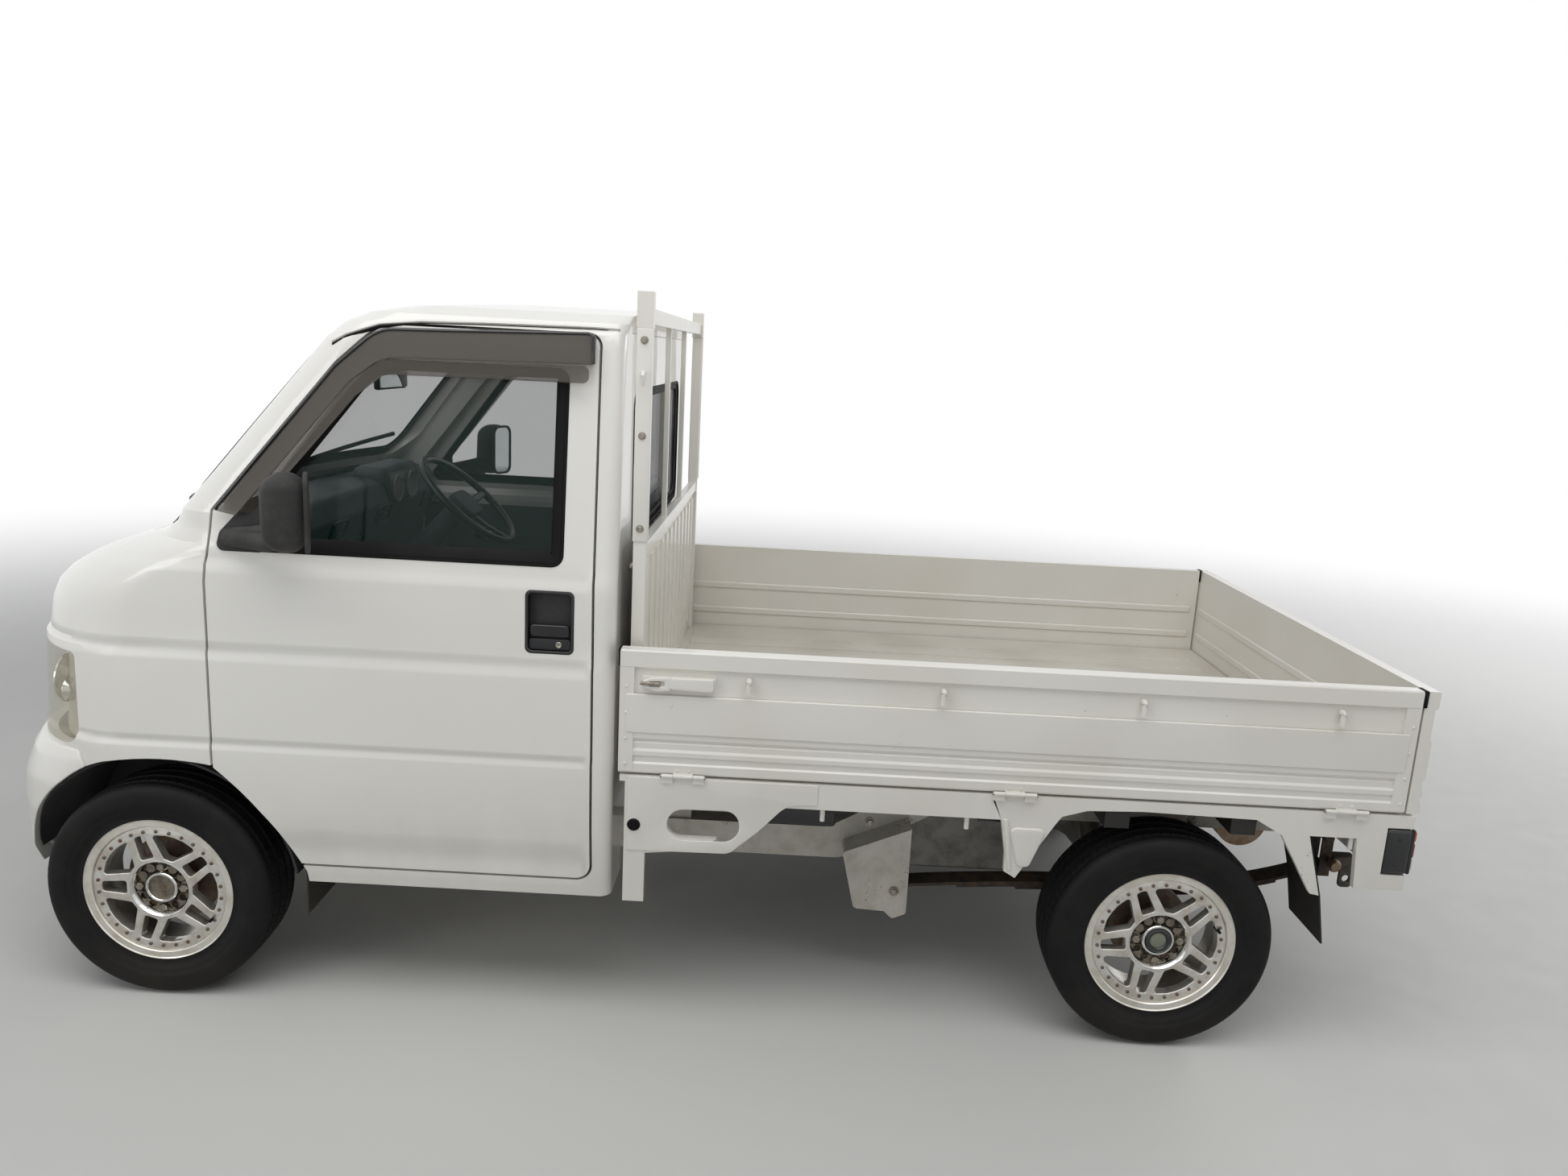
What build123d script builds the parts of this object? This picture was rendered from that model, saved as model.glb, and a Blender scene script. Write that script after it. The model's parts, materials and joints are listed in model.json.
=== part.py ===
from build123d import *
from collections import namedtuple
from math import cos, radians, sin, sqrt
import os

os.makedirs("parts", exist_ok=True)

# Frame: +X forward, +Y the vehicle's left, +Z up, ground at z = 0, origin under the middle of the whole truck.
# All sizes are in millimetres.

# Overall sizes
LENGTH = 3395
WIDTH = 1475
HEIGHT = 1735
WHEELBASE = 2420
FRONT_OVERHANG = 410
TRACK = 1290

FRONT_END = LENGTH / 2
REAR_END = -LENGTH / 2
FRONT_AXLE = FRONT_END - FRONT_OVERHANG
REAR_AXLE = FRONT_AXLE - WHEELBASE
HALF_WIDTH = WIDTH / 2
WHEEL_Y = TRACK / 2

# Clearances
PANEL_GAP = 6
SEAT_GAP = 0.3
RUN_GAP = 0.3

# Wheels and tyres
TYRE_R = 272.5
TYRE_W = 165
BEAD_R = 168
RIM_FLANGE_R = 182
RIM_W = 146
RIM_WALL = 7
WELL_R = 150
HUB_R = 62
HUB_BACK = 18
HUB_PLATE = 8
HAT_T = 34
DRUM_R = 100
DRUM_T = 34
LIP_R = 162
WINDOW_R = 139
RIM_FACE = 65
DISH_R = 70
DISH_DEEP = 15
DISH_WALL = 12
SPOKE_PAIRS = 5
SPOKE_T = 26
SPOKE_TURN = 15
SPOKE_INNER_R = 72
SPOKE_INNER_TURN = 13
SPOKE_INNER_W = 18
SPOKE_OUTER_R = 146
SPOKE_OUTER_TURN = 28
SPOKE_OUTER_W = 15
STUB_R = 16
BRAKE_R = 112
BRAKE_T = 15
AXLE_Z = TYRE_R

# Steering
KINGPIN_Y = 600
KINGPIN_R = 22
KNUCKLE_LOW = 208
KNUCKLE_HIGH = 338
STEER_ARM = 105

# Front wheel arch, as offsets from the wheel centre: rear foot, rear shoulder, crown and front edge of the lip
ARCH_REAR_FOOT = (-364, 72)
ARCH_REAR_MID = (-258, 234)
ARCH_REAR_TOP = (-154, 336)
ARCH_CROWN = (-30, 345)
ARCH_FRONT_TOP = (100, 330)
ARCH_FRONT_MID = (238, 237)
ARCH_FRONT_FOOT = (295, 58)

# Cab
CAB_REAR = 197
CAB_WALL = 25
DOOR_FRONT = 1127
DOOR_REAR_LOW = 246
DOOR_REAR_HIGH = 255
DOOR_LOW = 366
DOOR_TOP = 1634
DOOR_T = 60
DOOR_FRAME_T = 35
JAMB_T = 20
JAMB_LAP = 25
BELT = 1104
SILL_LOW = 318
GLASS_T = 5
GLASS_IN = 12
LINER_R = 335
LINER_T = 6
LINER_IN = 384
NOSE_T = 22
FLOOR_Z = 415
FLOOR_T = 20
BULKHEAD_X = 1330
LID_REAR = 1385
LID_HALF = 470
LID_LOW = 888
LID_T = 16
LID_GAP = 8
LID_PIN_X = LID_REAR - 3
LID_PIN_Z = 1120
LID_HINGE_Y = 260
LID_HINGE_R = 5
LID_HINGE_W = 30
LAMP_REAR = 1450
LAMP_LOW = 632
LAMP_HIGH = 856
LAMP_IN_Y = 430
LAMP_DEEP = 60
BUMPER_TOP = 622
BUMPER_T = 24

WHEELHOUSE_T = 10
POST_Y = 560
COWL_Z = 1200
ROOF_SEAM = 1645
HEADER_LOW = 1560
REAR_WINDOW_Z = 1325
REAR_WINDOW_W = 1000
REAR_WINDOW_H = 370
GRILLE_Z = 725
GRILLE_W = 560
GRILLE_H = 66
GRILLE_SLOTS = 4
SLOT_R = 18
GRILLE_BAR = 7
INTAKE_Z = 445
INTAKE_W = 640
INTAKE_H = 90

# Cab furniture
SEAT_Y = 335
SEAT_W = 470
SEAT_FRONT = 800
SEAT_LOW = 575
SEAT_HIGH = 700
SEAT_BOX_FRONT = 770
HEADREST_TOP = 1370
STEERING_X = 835
STEERING_Y = -330
STEERING_Z = 1111
STEERING_R = 180
STEERING_RIM_R = 13
STEERING_TILT = 42.5
COLUMN_R = 36

# Side views: x, z and corner radius
DOOR_OUTLINE = (
    (DOOR_FRONT, DOOR_LOW, 0),
    (DOOR_FRONT, BELT - 60, 0),
    (DOOR_FRONT - 17, 1206, 0),
    (838, 1545, 60),
    (742, DOOR_TOP, 90),
    (DOOR_REAR_HIGH, DOOR_TOP, 26),
    (DOOR_REAR_LOW, DOOR_LOW, 34),
)
WINDOW_OUTLINE = (
    (1066, 1122, 22),
    (1066, 1150, 12),
    (798, 1500, 40),
    (744, 1556, 60),
    (322, 1556, 24),
    (322, 1122, 24),
)
VISOR_OUTLINE = (
    (1100, 1210, 4),
    (838, 1541, 60),
    (742, 1628, 90),
    (264, 1640, 12),
    (264, 1570, 6),
    (730, 1562, 80),
    (800, 1510, 60),
    (1050, 1200, 4),
)
LAMP_OUTLINE = (
    (LAMP_REAR, LAMP_LOW, 45),
    (LAMP_REAR, LAMP_HIGH, 14),
    (1800, LAMP_HIGH + 14, 0),
    (1800, LAMP_LOW, 0),
)
BUMPER_OUTLINE = (
    (1422, 560, 0),
    (LAMP_REAR, BUMPER_TOP, 0),
    (1800, BUMPER_TOP, 0),
    (1800, 150, 0),
    (1422, 150, 0),
)
DASH_OUTLINE = (
    (BULKHEAD_X, 1120, 0),
    (1290, 1172, 20),
    (1120, 1186, 30),
    (1058, 1172, 24),
    (1040, 1110, 20),
    (1078, 1000, 20),
    (1108, 860, 30),
    (1200, 800, 30),
    (BULKHEAD_X, 800, 0),
)
SCREEN_OUTLINE = ((-640, 1216, 70), (640, 1216, 70), (585, 1588, 55), (-585, 1588, 55))
SEAT_BACK_OUTLINE = (
    (425, SEAT_HIGH + SEAT_GAP, 30),
    (306, 1215, 40),
    (240, 1215, 30),
    (234, 1080, 20),
    (322, SEAT_HIGH + SEAT_GAP, 30),
)

# Load bed
BED_FRONT = 182
GATE_LOW = 645
GATE_HIGH = 941.5
GATE_T = 30
BED_TOP = 655
BED_T = 18
TAIL_T = 30
SKIRT_Y = 735
SKIRT_T = 16
SKIRT_TOP = 639
GATE_PIN_OUT = 8
LINER_LOW = 330
HANDLE_X = 346
HANDLE_Z = 992
HANDLE_W = 112
HANDLE_H = 148
HANDLE_DEEP = 34
HANDLE_OUT = 723.5
MIRROR_X = 890
MIRROR_Y = 830
MIRROR_Z = 1229
MIRROR_W = 118
MIRROR_H = 174
MIRROR_T = 62
MIRROR_ARM_LOW = 1134
MIRROR_ARM_H = 40
# plan view of the mirror's arm, from the head to the foot on the door
MIRROR_ARM = ((900, 850), (960, 850), (1108, 724), (1108, 690), (1070, 690), (1070, 716), (960, 806), (900, 806))
VISOR_OUT = 20
VISOR_T = 3
GUARD_X = 153
GUARD_Y = 660
GUARD_POST = 30
GUARD_CAP = 80
GUARD_BAR_LOW = 1665
GUARD_BAR_HIGH = 1700
GUARD_SHEET_TOP = 1170
GUARD_BAR_Y = 200
GUARD_RIBS = 6
GUARD_RIB_PITCH = 106
GUARD_RIB_W = 44
GUARD_RIB_T = 16
TAIL_OUT = 12
TAIL_PIN_OUT = 5
TAIL_HINGE_R = 6.5
TAIL_HINGES = (-520, 0, 520)
END_CHANNEL = 33
HINGE_R = 5
HINGE_GATE_W = 46
HINGE_SIDE_W = 26
HINGE_PLACES = (30, -743, -1514)
HOOK_PLACES = (-114, -559, -1017, -1470)
LATCH_FRONT = 130
LATCH_REAR = -37
LATCH_Z = 868
RIB_COUNT = 11
RIB_PITCH = 112
RIB_W = 56
RIB_H = 6
BED_MEMBERS = (60, -330, -700, -1000, -1300, -1590)
MEMBER_W = 60
MEMBER_H = 82
SKIRT_VIEW = (
    (165, SKIRT_TOP),
    (165, 321),
    (115, 321),
    (115, 446),
    (0, 458),
    (-61, 494),
    (-138, 556),
    (-190, 577),
    (-655, 577),
    (-712, 490),
    (-737, 448),
    (-754, 432),
    (-830, 572),
    (-859, 592),
    (-917, 610),
    (-1048, 615),
    (-1313, 610),
    (-1376, 575),
    (-1462, 432),
    (-1484, 428),
    (-1441, 577),
    (-1552, 577),
    (-1562, 451),
    (-1679, 451),
    (-1679, SKIRT_TOP),
)
OVAL_X = -20
OVAL_Z = 527
OVAL_W = 171
OVAL_H = 75
REAR_PANEL_LOW = 560
TAIL_LAMP_LOW = 489
TAIL_LAMP_HIGH = 607
TAIL_LAMP_FRONT = -1620
TAIL_LAMP_Y = 640

# Chassis frame and running gear
RAIL_Y = 430
RAIL_W = 60
RAIL_LOW = 330
RAIL_H = 85
KICK_LOW = 468
FRONT_RAIL_Y = 345
FRAME_FRONT = 1600
RAIL_OUTLINE = (
    (860, RAIL_LOW, 0),
    (860, RAIL_LOW + RAIL_H, 0),
    (-330, RAIL_LOW + RAIL_H, 60),
    (-570, KICK_LOW + RAIL_H, 60),
    (-1655, KICK_LOW + RAIL_H, 0),
    (-1655, KICK_LOW, 0),
    (-605, KICK_LOW, 60),
    (-366, RAIL_LOW, 60),
)
# place and underside of each cross member
CROSS_MEMBERS = ((820, 345), (100, 345), (-300, 345), (-990, 485), (-1480, 485), (-1625, 485))
CROSS_W = 60
ENGINE_X = -700
ENGINE_L = 450
ENGINE_W = 500
ENGINE_LOW = 215
ENGINE_H = 320
TANK_REAR = -330
TANK_FRONT = 60
TANK_W = 170
TANK_LOW = 345
TANK_HIGH = 545
EXHAUST_X = -1480
EXHAUST_R = 70
EXHAUST_L = 560
PIPE_Y = -150
PIPE_R = 20
BEAM_R = 30
BEAM_HALF = 575
SPRING_Y = 500
SPRING_SEAT = AXLE_Z + BEAM_R + 6
SPRING_FRONT = -504
SPRING_FRONT_Z = 284
SPRING_REAR = -1593
SPRING_REAR_Z = 400
SPRING_FLAT = 50
LEAF_W = 60
LEAF_T = 8
LEAF_PITCH = 6.5
LEAF_SHARES = (1.0, 0.72, 0.46)
EYE_R = 16
EYE_LAP = 3
SHACKLE_W = 28
SHACKLE_T = 6
SHACKLE_PIN_Z = 490
HANGER_T = 5
# side view of the pressed hanger at the spring's front eye: x, z and corner radius
HANGER_OUTLINE = (
    (-366, 382, 12),
    (-538, 454, 0),
    (-539, 222, 10),
    (-504, 206, 10),
    (-482, 226, 6),
    (-403, 230, 12),
)
STRUT_Y = 515
STRUT_R = 17
ARM_T = 18
ARM_ROOT_Y = 400
RACK_Z = 235
RACK_R = 18
RACK_HALF = 470
FLAP_T = 4
FLAP_FRONT_X = FRONT_AXLE + ARCH_REAR_FOOT[0] + SEAT_GAP + FLAP_T
FLAP_REAR_VIEW = ((-1442.5, 572), (-1484, 428), (-1507, 304), (-1511, 304), (-1488, 428), (-1446.5, 572))

CabRow = namedtuple("CabRow", "z half_width front sag corner")

# Horizontal sections of the cab: height, half width, front centre, how far the front sweeps back at the side, corner.
CAB_ROWS = (
    CabRow(318, 716, 1662, 40, 300),
    CabRow(375, 723, 1664, 40, 300),
    CabRow(500, 735, 1666, 40, 305),
    CabRow(655, 737.5, 1668, 40, 310),
    CabRow(668, 733.5, 1664, 40, 310),
    CabRow(878, 732.5, 1652, 40, 310),
    CabRow(892, 728, 1644, 40, 310),
    CabRow(960, 727.5, 1632, 40, 308),
    CabRow(1000, 727.5, 1612, 40, 304),
    CabRow(1030, 727, 1582, 42, 300),
    CabRow(1062, 727, 1530, 46, 290),
    CabRow(1086, 726, 1478, 54, 270),
    CabRow(1106, 719, 1424, 66, 250),
    CabRow(1130, 717, 1352, 82, 215),
    CabRow(1165, 712, 1312, 92, 160),
    CabRow(1200, 708, 1290, 94, 110),
    CabRow(1600, 658, 957, 84, 92),
    CabRow(1636, 645, 915, 80, 92),
    CabRow(1662, 622, 862, 76, 96),
    CabRow(1682, 572, 770, 70, 100),
    CabRow(1700, 380, 600, 50, 100),
)

# Horizontal sections of the front bumper, in the same columns.
BUMPER_ROWS = (
    CabRow(283, 728, 1672, 20, 235),
    CabRow(344, 734, 1692, 20, 240),
    CabRow(470, 737.5, FRONT_END, 20, 245),
    CabRow(535, 736, 1693, 20, 245),
    CabRow(600, 733, 1676, 22, 262),
    CabRow(622, 731, 1668, 26, 280),
)


PlanPoints = namedtuple("PlanPoints", "half corner_x mid_x mid_y meet_x meet_y front back_r")


def plan_points(row, side_in, front_in, rear_r):
    """Meeting points of the side, corner and front arcs of one horizontal section."""
    half = row.half_width - side_in
    front = row.front - front_in
    corner = max(row.corner - side_in, 30)
    bow_r = (half**2 + row.sag**2) / (2 * row.sag)
    bow_x = front - bow_r
    corner_y = half - corner
    corner_x = bow_x + sqrt((bow_r - corner) ** 2 - corner_y**2)
    reach = bow_r / (bow_r - corner)
    meet_x = bow_x + (corner_x - bow_x) * reach
    meet_y = corner_y * reach
    turn = Vector(meet_x - corner_x, meet_y - corner_y).normalized() + Vector(0, 1)
    mid = Vector(corner_x, corner_y) + turn.normalized() * corner
    return PlanPoints(half, corner_x, mid.X, mid.Y, meet_x, meet_y, front, max(rear_r - side_in, 4))


def body_form(rows, low_in=0, high_in=0, front_in=0, top_in=0, rear=CAB_REAR, rear_r=30):
    """Solid through the horizontal sections, inset below the belt, above it, at the front and at the top."""
    with BuildPart() as form:
        for row in rows:
            side_in = low_in if row.z < BELT else high_in
            lift = top_in if row.z > DOOR_TOP - JAMB_LAP else 0
            p = plan_points(row, side_in, front_in, rear_r)
            back = p.back_r * (1 - sqrt(0.5))
            with BuildSketch(Plane.XY.offset(row.z - lift)):
                with BuildLine():
                    Line((rear, -p.half + p.back_r), (rear, p.half - p.back_r))
                    ThreePointArc((rear, p.half - p.back_r), (rear + back, p.half - back), (rear + p.back_r, p.half))
                    Line((rear + p.back_r, p.half), (p.corner_x, p.half))
                    ThreePointArc((p.corner_x, p.half), (p.mid_x, p.mid_y), (p.meet_x, p.meet_y))
                    ThreePointArc((p.meet_x, p.meet_y), (p.front, 0), (p.meet_x, -p.meet_y))
                    ThreePointArc((p.meet_x, -p.meet_y), (p.mid_x, -p.mid_y), (p.corner_x, -p.half))
                    Line((p.corner_x, -p.half), (rear + p.back_r, -p.half))
                    ThreePointArc((rear + p.back_r, -p.half), (rear + back, -p.half + back), (rear, -p.half + p.back_r))
                make_face()
        loft(ruled=True)
    return form.part


def side_prism(outline, y_low, y_high):
    """Solid between two widths whose side view is the given sketch."""
    with BuildPart() as prism:
        with BuildSketch(Plane.XZ.offset(-y_high)):
            add(outline)
        extrude(amount=y_high - y_low)
    return prism.part


def blocks(*rows):
    """Blocks given by their low and high x, y and z, joined into one cutter."""
    with BuildPart() as made:
        for x0, x1, y0, y1, z0, z1 in rows:
            with Locations(((x0 + x1) / 2, (y0 + y1) / 2, (z0 + z1) / 2)):
                Box(x1 - x0, y1 - y0, z1 - z0)
    return made.part


def arc_view(points):
    """Side view from offsets about the front wheel: three arcs, closed below."""
    foot, mid, top, crown, front_top, front_mid, front_foot = [(FRONT_AXLE + x, AXLE_Z + z) for x, z in points]
    with BuildSketch() as view:
        with BuildLine():
            ThreePointArc(foot, mid, top)
            ThreePointArc(top, crown, front_top)
            ThreePointArc(front_top, front_mid, front_foot)
            Polyline(front_foot, (front_foot[0] + 3, 100), (foot[0] - 30, 100), foot)
        make_face()
    return view.sketch


def rounded(rows, grow=0):
    """Outline from rows of two coordinates and a corner radius, grown or shrunk evenly."""
    with BuildSketch() as view:
        with BuildLine():
            FilletPolyline(*[(u, v) for u, v, _ in rows], radius=[r for _, _, r in rows], close=True)
        make_face()
        if grow:
            offset(amount=grow)
    return view.sketch


# Side prisms that cut the wheel arch, the liner's pocket and the door out of the cab
arch_cut = side_prism(arc_view((ARCH_REAR_FOOT, ARCH_REAR_MID, ARCH_REAR_TOP, ARCH_CROWN,
                                ARCH_FRONT_TOP, ARCH_FRONT_MID, ARCH_FRONT_FOOT)), 600, 800)


def round_pocket(radius, y_in, y_out):
    """Round space about the front axle between two widths."""
    with BuildPart() as pocket:
        with BuildSketch(Plane.XZ.offset(-y_out)):
            with Locations((FRONT_AXLE, AXLE_Z)):
                Circle(radius)
        extrude(amount=y_out - y_in)
    return pocket.part


# Cutting forms of the cab
POCKET_R = LINER_R + LINER_T + SEAT_GAP
HOUSE_R = POCKET_R + WHEELHOUSE_T
pocket = round_pocket(POCKET_R, LINER_IN - LINER_T - SEAT_GAP, 800)
house_pocket = round_pocket(HOUSE_R + SEAT_GAP, LINER_IN - LINER_T - SEAT_GAP - WHEELHOUSE_T, 706)
outer = body_form(CAB_ROWS)
door_inner = body_form(CAB_ROWS, DOOR_T, DOOR_FRAME_T, rear=CAB_REAR - 60)
room_inner = body_form(CAB_ROWS, DOOR_T + PANEL_GAP, DOOR_FRAME_T + PANEL_GAP, rear=CAB_REAR - 60)
side_inner = body_form(CAB_ROWS, DOOR_T + PANEL_GAP + JAMB_T, DOOR_FRAME_T + PANEL_GAP + JAMB_T,
                       front_in=NOSE_T + 8, top_in=CAB_WALL, rear=CAB_REAR + CAB_WALL, rear_r=40)
nose_inner = body_form(CAB_ROWS, NOSE_T, NOSE_T, front_in=NOSE_T, rear=CAB_REAR + CAB_WALL)
NOSE_REAR = DOOR_FRONT - JAMB_LAP
back_zone = blocks((0, CAB_REAR + CAB_WALL, -POST_Y, POST_Y, FLOOR_Z, ROOF_SEAM))
roof_zone = blocks((0, 1800, -800, 800, ROOF_SEAM, 1800), (600, 1300, -POST_Y, POST_Y, HEADER_LOW, ROOF_SEAM))
side_zone = blocks((CAB_REAR, NOSE_REAR, POST_Y, 800, SILL_LOW, COWL_Z),
                   (CAB_REAR, 1400, POST_Y, 800, COWL_Z, ROOF_SEAM))
nose_zone = blocks((NOSE_REAR, 1800, 0, 800, SILL_LOW, COWL_Z), (1100, 1400, 0, POST_Y, COWL_Z, 1250))

with BuildPart() as shell:
    add(outer)
    add(side_inner, mode=Mode.SUBTRACT)

with BuildPart() as screen_cut:
    with BuildSketch(Plane.YZ.offset(850)):
        add(rounded(SCREEN_OUTLINE))
    extrude(amount=550)

with BuildPart() as door_room:
    add(side_prism(rounded(DOOR_OUTLINE, PANEL_GAP), 300, 800))
    add(room_inner, mode=Mode.SUBTRACT)

# Roof with its windscreen header
with BuildPart() as roof:
    add(shell.part)
    add(roof_zone, mode=Mode.INTERSECT)
    add(screen_cut.part, mode=Mode.SUBTRACT)
roof.part.label = "cab_roof"
export_step(roof.part, "parts/cab_roof.step")

# Rear wall with its window opening
with BuildPart() as back:
    add(shell.part)
    add(back_zone, mode=Mode.INTERSECT)
    with BuildSketch(Plane.YZ.offset(CAB_REAR - 10)):
        with Locations((0, REAR_WINDOW_Z)):
            RectangleRounded(REAR_WINDOW_W, REAR_WINDOW_H, 45)
    extrude(amount=CAB_WALL + 20, mode=Mode.SUBTRACT)
back.part.label = "cab_back"
export_step(back.part, "parts/cab_back.step")

# Side frames: windscreen pillar, roof rail, rear post, sill and the flanges behind the door
with BuildPart() as sides:
    add(shell.part)
    add(side_zone, mode=Mode.INTERSECT)
    add(back_zone, mode=Mode.SUBTRACT)
    add(door_room.part, mode=Mode.SUBTRACT)
    add(side_prism(rounded(DOOR_OUTLINE, -JAMB_LAP), 300, 800), mode=Mode.SUBTRACT)
    add(screen_cut.part, mode=Mode.SUBTRACT)
    add(pocket, mode=Mode.SUBTRACT)
    add(house_pocket, mode=Mode.SUBTRACT)
    add(arch_cut, mode=Mode.SUBTRACT)
    mirror(about=Plane.XZ)
sides.part.label = "cab_sides"
export_step(sides.part, "parts/cab_sides.step")

def lid_barrel(place, width, reach):
    """Barrel of a lid hinge with the leaf that joins it to the panel behind it or ahead of it."""
    with BuildPart() as barrel:
        with Locations((LID_PIN_X, place, LID_PIN_Z)):
            Cylinder(LID_HINGE_R, width, rotation=(90, 0, 0))
        add(blocks((LID_PIN_X + min(reach, 0), LID_PIN_X + max(reach, 0), place - width / 2, place + width / 2,
                    LID_PIN_Z - 8.5, LID_PIN_Z - 2)))
    return barrel.part


with BuildPart() as hinge_space:
    with Locations((LID_PIN_X, LID_HINGE_Y, LID_PIN_Z)):
        Cylinder(LID_HINGE_R + 1.5, 2 * LID_HINGE_W + 4, rotation=(90, 0, 0))
hinge_room = hinge_space.part

# Nose: front wings, front panel, cowl, the jambs ahead of the doors and the bulkhead
lamp_space = side_prism(rounded(LAMP_OUTLINE), LAMP_IN_Y, 800)
bumper_space = side_prism(rounded(BUMPER_OUTLINE), 0, 800)
with BuildPart() as jamb:
    add(outer)
    add(side_inner, mode=Mode.SUBTRACT)
    add(blocks((NOSE_REAR, DOOR_FRONT + PANEL_GAP + JAMB_T, POST_Y, 800, SILL_LOW, COWL_Z)), mode=Mode.INTERSECT)
    add(door_room.part, mode=Mode.SUBTRACT)
    add(side_prism(rounded(DOOR_OUTLINE, -JAMB_LAP), 300, 800), mode=Mode.SUBTRACT)
with BuildPart() as bulkhead:
    add(nose_inner)
    add(blocks((BULKHEAD_X, BULKHEAD_X + FLOOR_T, 0, 800, FLOOR_Z, COWL_Z)), mode=Mode.INTERSECT)
with BuildPart() as lid_ledge:
    add(nose_inner)
    add(body_form(CAB_ROWS, NOSE_T + 8, NOSE_T + 8, front_in=NOSE_T + 8), mode=Mode.SUBTRACT)
    add(blocks((LID_REAR - 30, 1800, 0, LID_HALF + 30, LID_LOW - 30, COWL_Z)), mode=Mode.INTERSECT)
    add(blocks((LID_REAR + 25, 1800, 0, LID_HALF - 25, LID_LOW + 25, COWL_Z)), mode=Mode.SUBTRACT)
with BuildPart() as nose:
    add(outer)
    add(nose_inner, mode=Mode.SUBTRACT)
    add(nose_zone, mode=Mode.INTERSECT)
    add(door_room.part, mode=Mode.SUBTRACT)
    add(blocks((LID_REAR - LID_GAP, 1800, 0, LID_HALF + PANEL_GAP, LID_LOW - PANEL_GAP, COWL_Z)), mode=Mode.SUBTRACT)
    add(jamb.part)
    add(bulkhead.part)
    add(lid_ledge.part)
    add(bumper_space, mode=Mode.SUBTRACT)
    add(lamp_space, mode=Mode.SUBTRACT)
    add(arch_cut, mode=Mode.SUBTRACT)
    add(pocket, mode=Mode.SUBTRACT)
    add(house_pocket, mode=Mode.SUBTRACT)
    add(screen_cut.part, mode=Mode.SUBTRACT)
    with BuildSketch(Plane.YZ.offset(1500)):
        with Locations((0, GRILLE_Z)):
            RectangleRounded(GRILLE_W, GRILLE_H, SLOT_R)
    extrude(amount=300, mode=Mode.SUBTRACT)
    add(hinge_room, mode=Mode.SUBTRACT)
    add(blocks((LID_PIN_X - 3, LID_PIN_X + 25, LID_HINGE_Y - LID_HINGE_W / 2 - 2, LID_HINGE_Y + LID_HINGE_W / 2 + 2,
                LID_PIN_Z - 30, LID_PIN_Z + 10)), mode=Mode.SUBTRACT)
    for shift in (-1, 1):
        add(lid_barrel(LID_HINGE_Y + shift * (LID_HINGE_W + 1) * 0.75, LID_HINGE_W / 2, -12))
    mirror(about=Plane.XZ)
nose.part.label = "cab_nose"
export_step(nose.part, "parts/cab_nose.step")

# Slatted panels of the nose slot and the bumper intake
def slats(form, inner_form, z, width, height, count):
    """Slatted panel that follows the front of the given form."""
    pitch = (height - GRILLE_BAR) / count
    with BuildPart() as panel:
        add(form)
        add(inner_form, mode=Mode.SUBTRACT)
        with BuildSketch(Plane.YZ.offset(1500)):
            with Locations((0, z)):
                RectangleRounded(width - 2 * SEAT_GAP, height - 2 * SEAT_GAP, SLOT_R)
        extrude(amount=300, mode=Mode.INTERSECT)
        with BuildSketch(Plane.YZ.offset(1500)):
            with Locations((0, z)):
                with GridLocations(width / 2 - 10, pitch, 2, count):
                    Rectangle(width / 2 - 24, pitch - GRILLE_BAR)
        extrude(amount=300, mode=Mode.SUBTRACT)
    return panel.part


bumper_outer = body_form(BUMPER_ROWS, rear=1300, rear_r=4)
bumper_inner = body_form(BUMPER_ROWS, BUMPER_T, BUMPER_T, front_in=BUMPER_T, rear=1200, rear_r=4)
with BuildPart() as grilles:
    add(slats(body_form(CAB_ROWS, 6, 6, front_in=6), nose_inner, GRILLE_Z, GRILLE_W, GRILLE_H, GRILLE_SLOTS))
    add(slats(body_form(BUMPER_ROWS, 8, 8, front_in=8, rear=1300, rear_r=4), bumper_inner,
              INTAKE_Z, INTAKE_W, INTAKE_H, GRILLE_SLOTS))
grilles.part.label = "grilles"
export_step(grilles.part, "parts/grilles.step")

# Front bumper, wrapped round the corners to the wheel arches
with BuildPart() as bumper:
    add(bumper_outer)
    add(bumper_inner, mode=Mode.SUBTRACT)
    add(bumper_space, mode=Mode.INTERSECT)
    add(arch_cut, mode=Mode.SUBTRACT)
    add(pocket, mode=Mode.SUBTRACT)
    with BuildSketch(Plane.YZ.offset(1500)):
        with Locations((0, INTAKE_Z)):
            RectangleRounded(INTAKE_W, INTAKE_H, SLOT_R)
    extrude(amount=300, mode=Mode.SUBTRACT)
    mirror(about=Plane.XZ)
bumper.part.label = "front_bumper"
export_step(bumper.part, "parts/front_bumper.step")

# Headlamps that wrap the corners
with BuildPart() as lamps:
    add(outer)
    add(body_form(CAB_ROWS, LAMP_DEEP, LAMP_DEEP, front_in=LAMP_DEEP), mode=Mode.SUBTRACT)
    add(side_prism(rounded(LAMP_OUTLINE, -SEAT_GAP), LAMP_IN_Y + SEAT_GAP, 800), mode=Mode.INTERSECT)
    mirror(about=Plane.XZ)
lamps.part.label = "headlamps"
export_step(lamps.part, "parts/headlamps.step")

# Front service lid
with BuildPart() as lid:
    add(outer)
    add(body_form(CAB_ROWS, LID_T, LID_T, front_in=LID_T), mode=Mode.SUBTRACT)
    add(blocks((LID_REAR, 1800, 0, LID_HALF, LID_LOW, COWL_Z)), mode=Mode.INTERSECT)
    add(hinge_room, mode=Mode.SUBTRACT)
    add(lid_barrel(LID_HINGE_Y, LID_HINGE_W, 12))
    mirror(about=Plane.XZ)
lid.part.label = "front_lid"
export_step(lid.part, "parts/front_lid.step")

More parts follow.
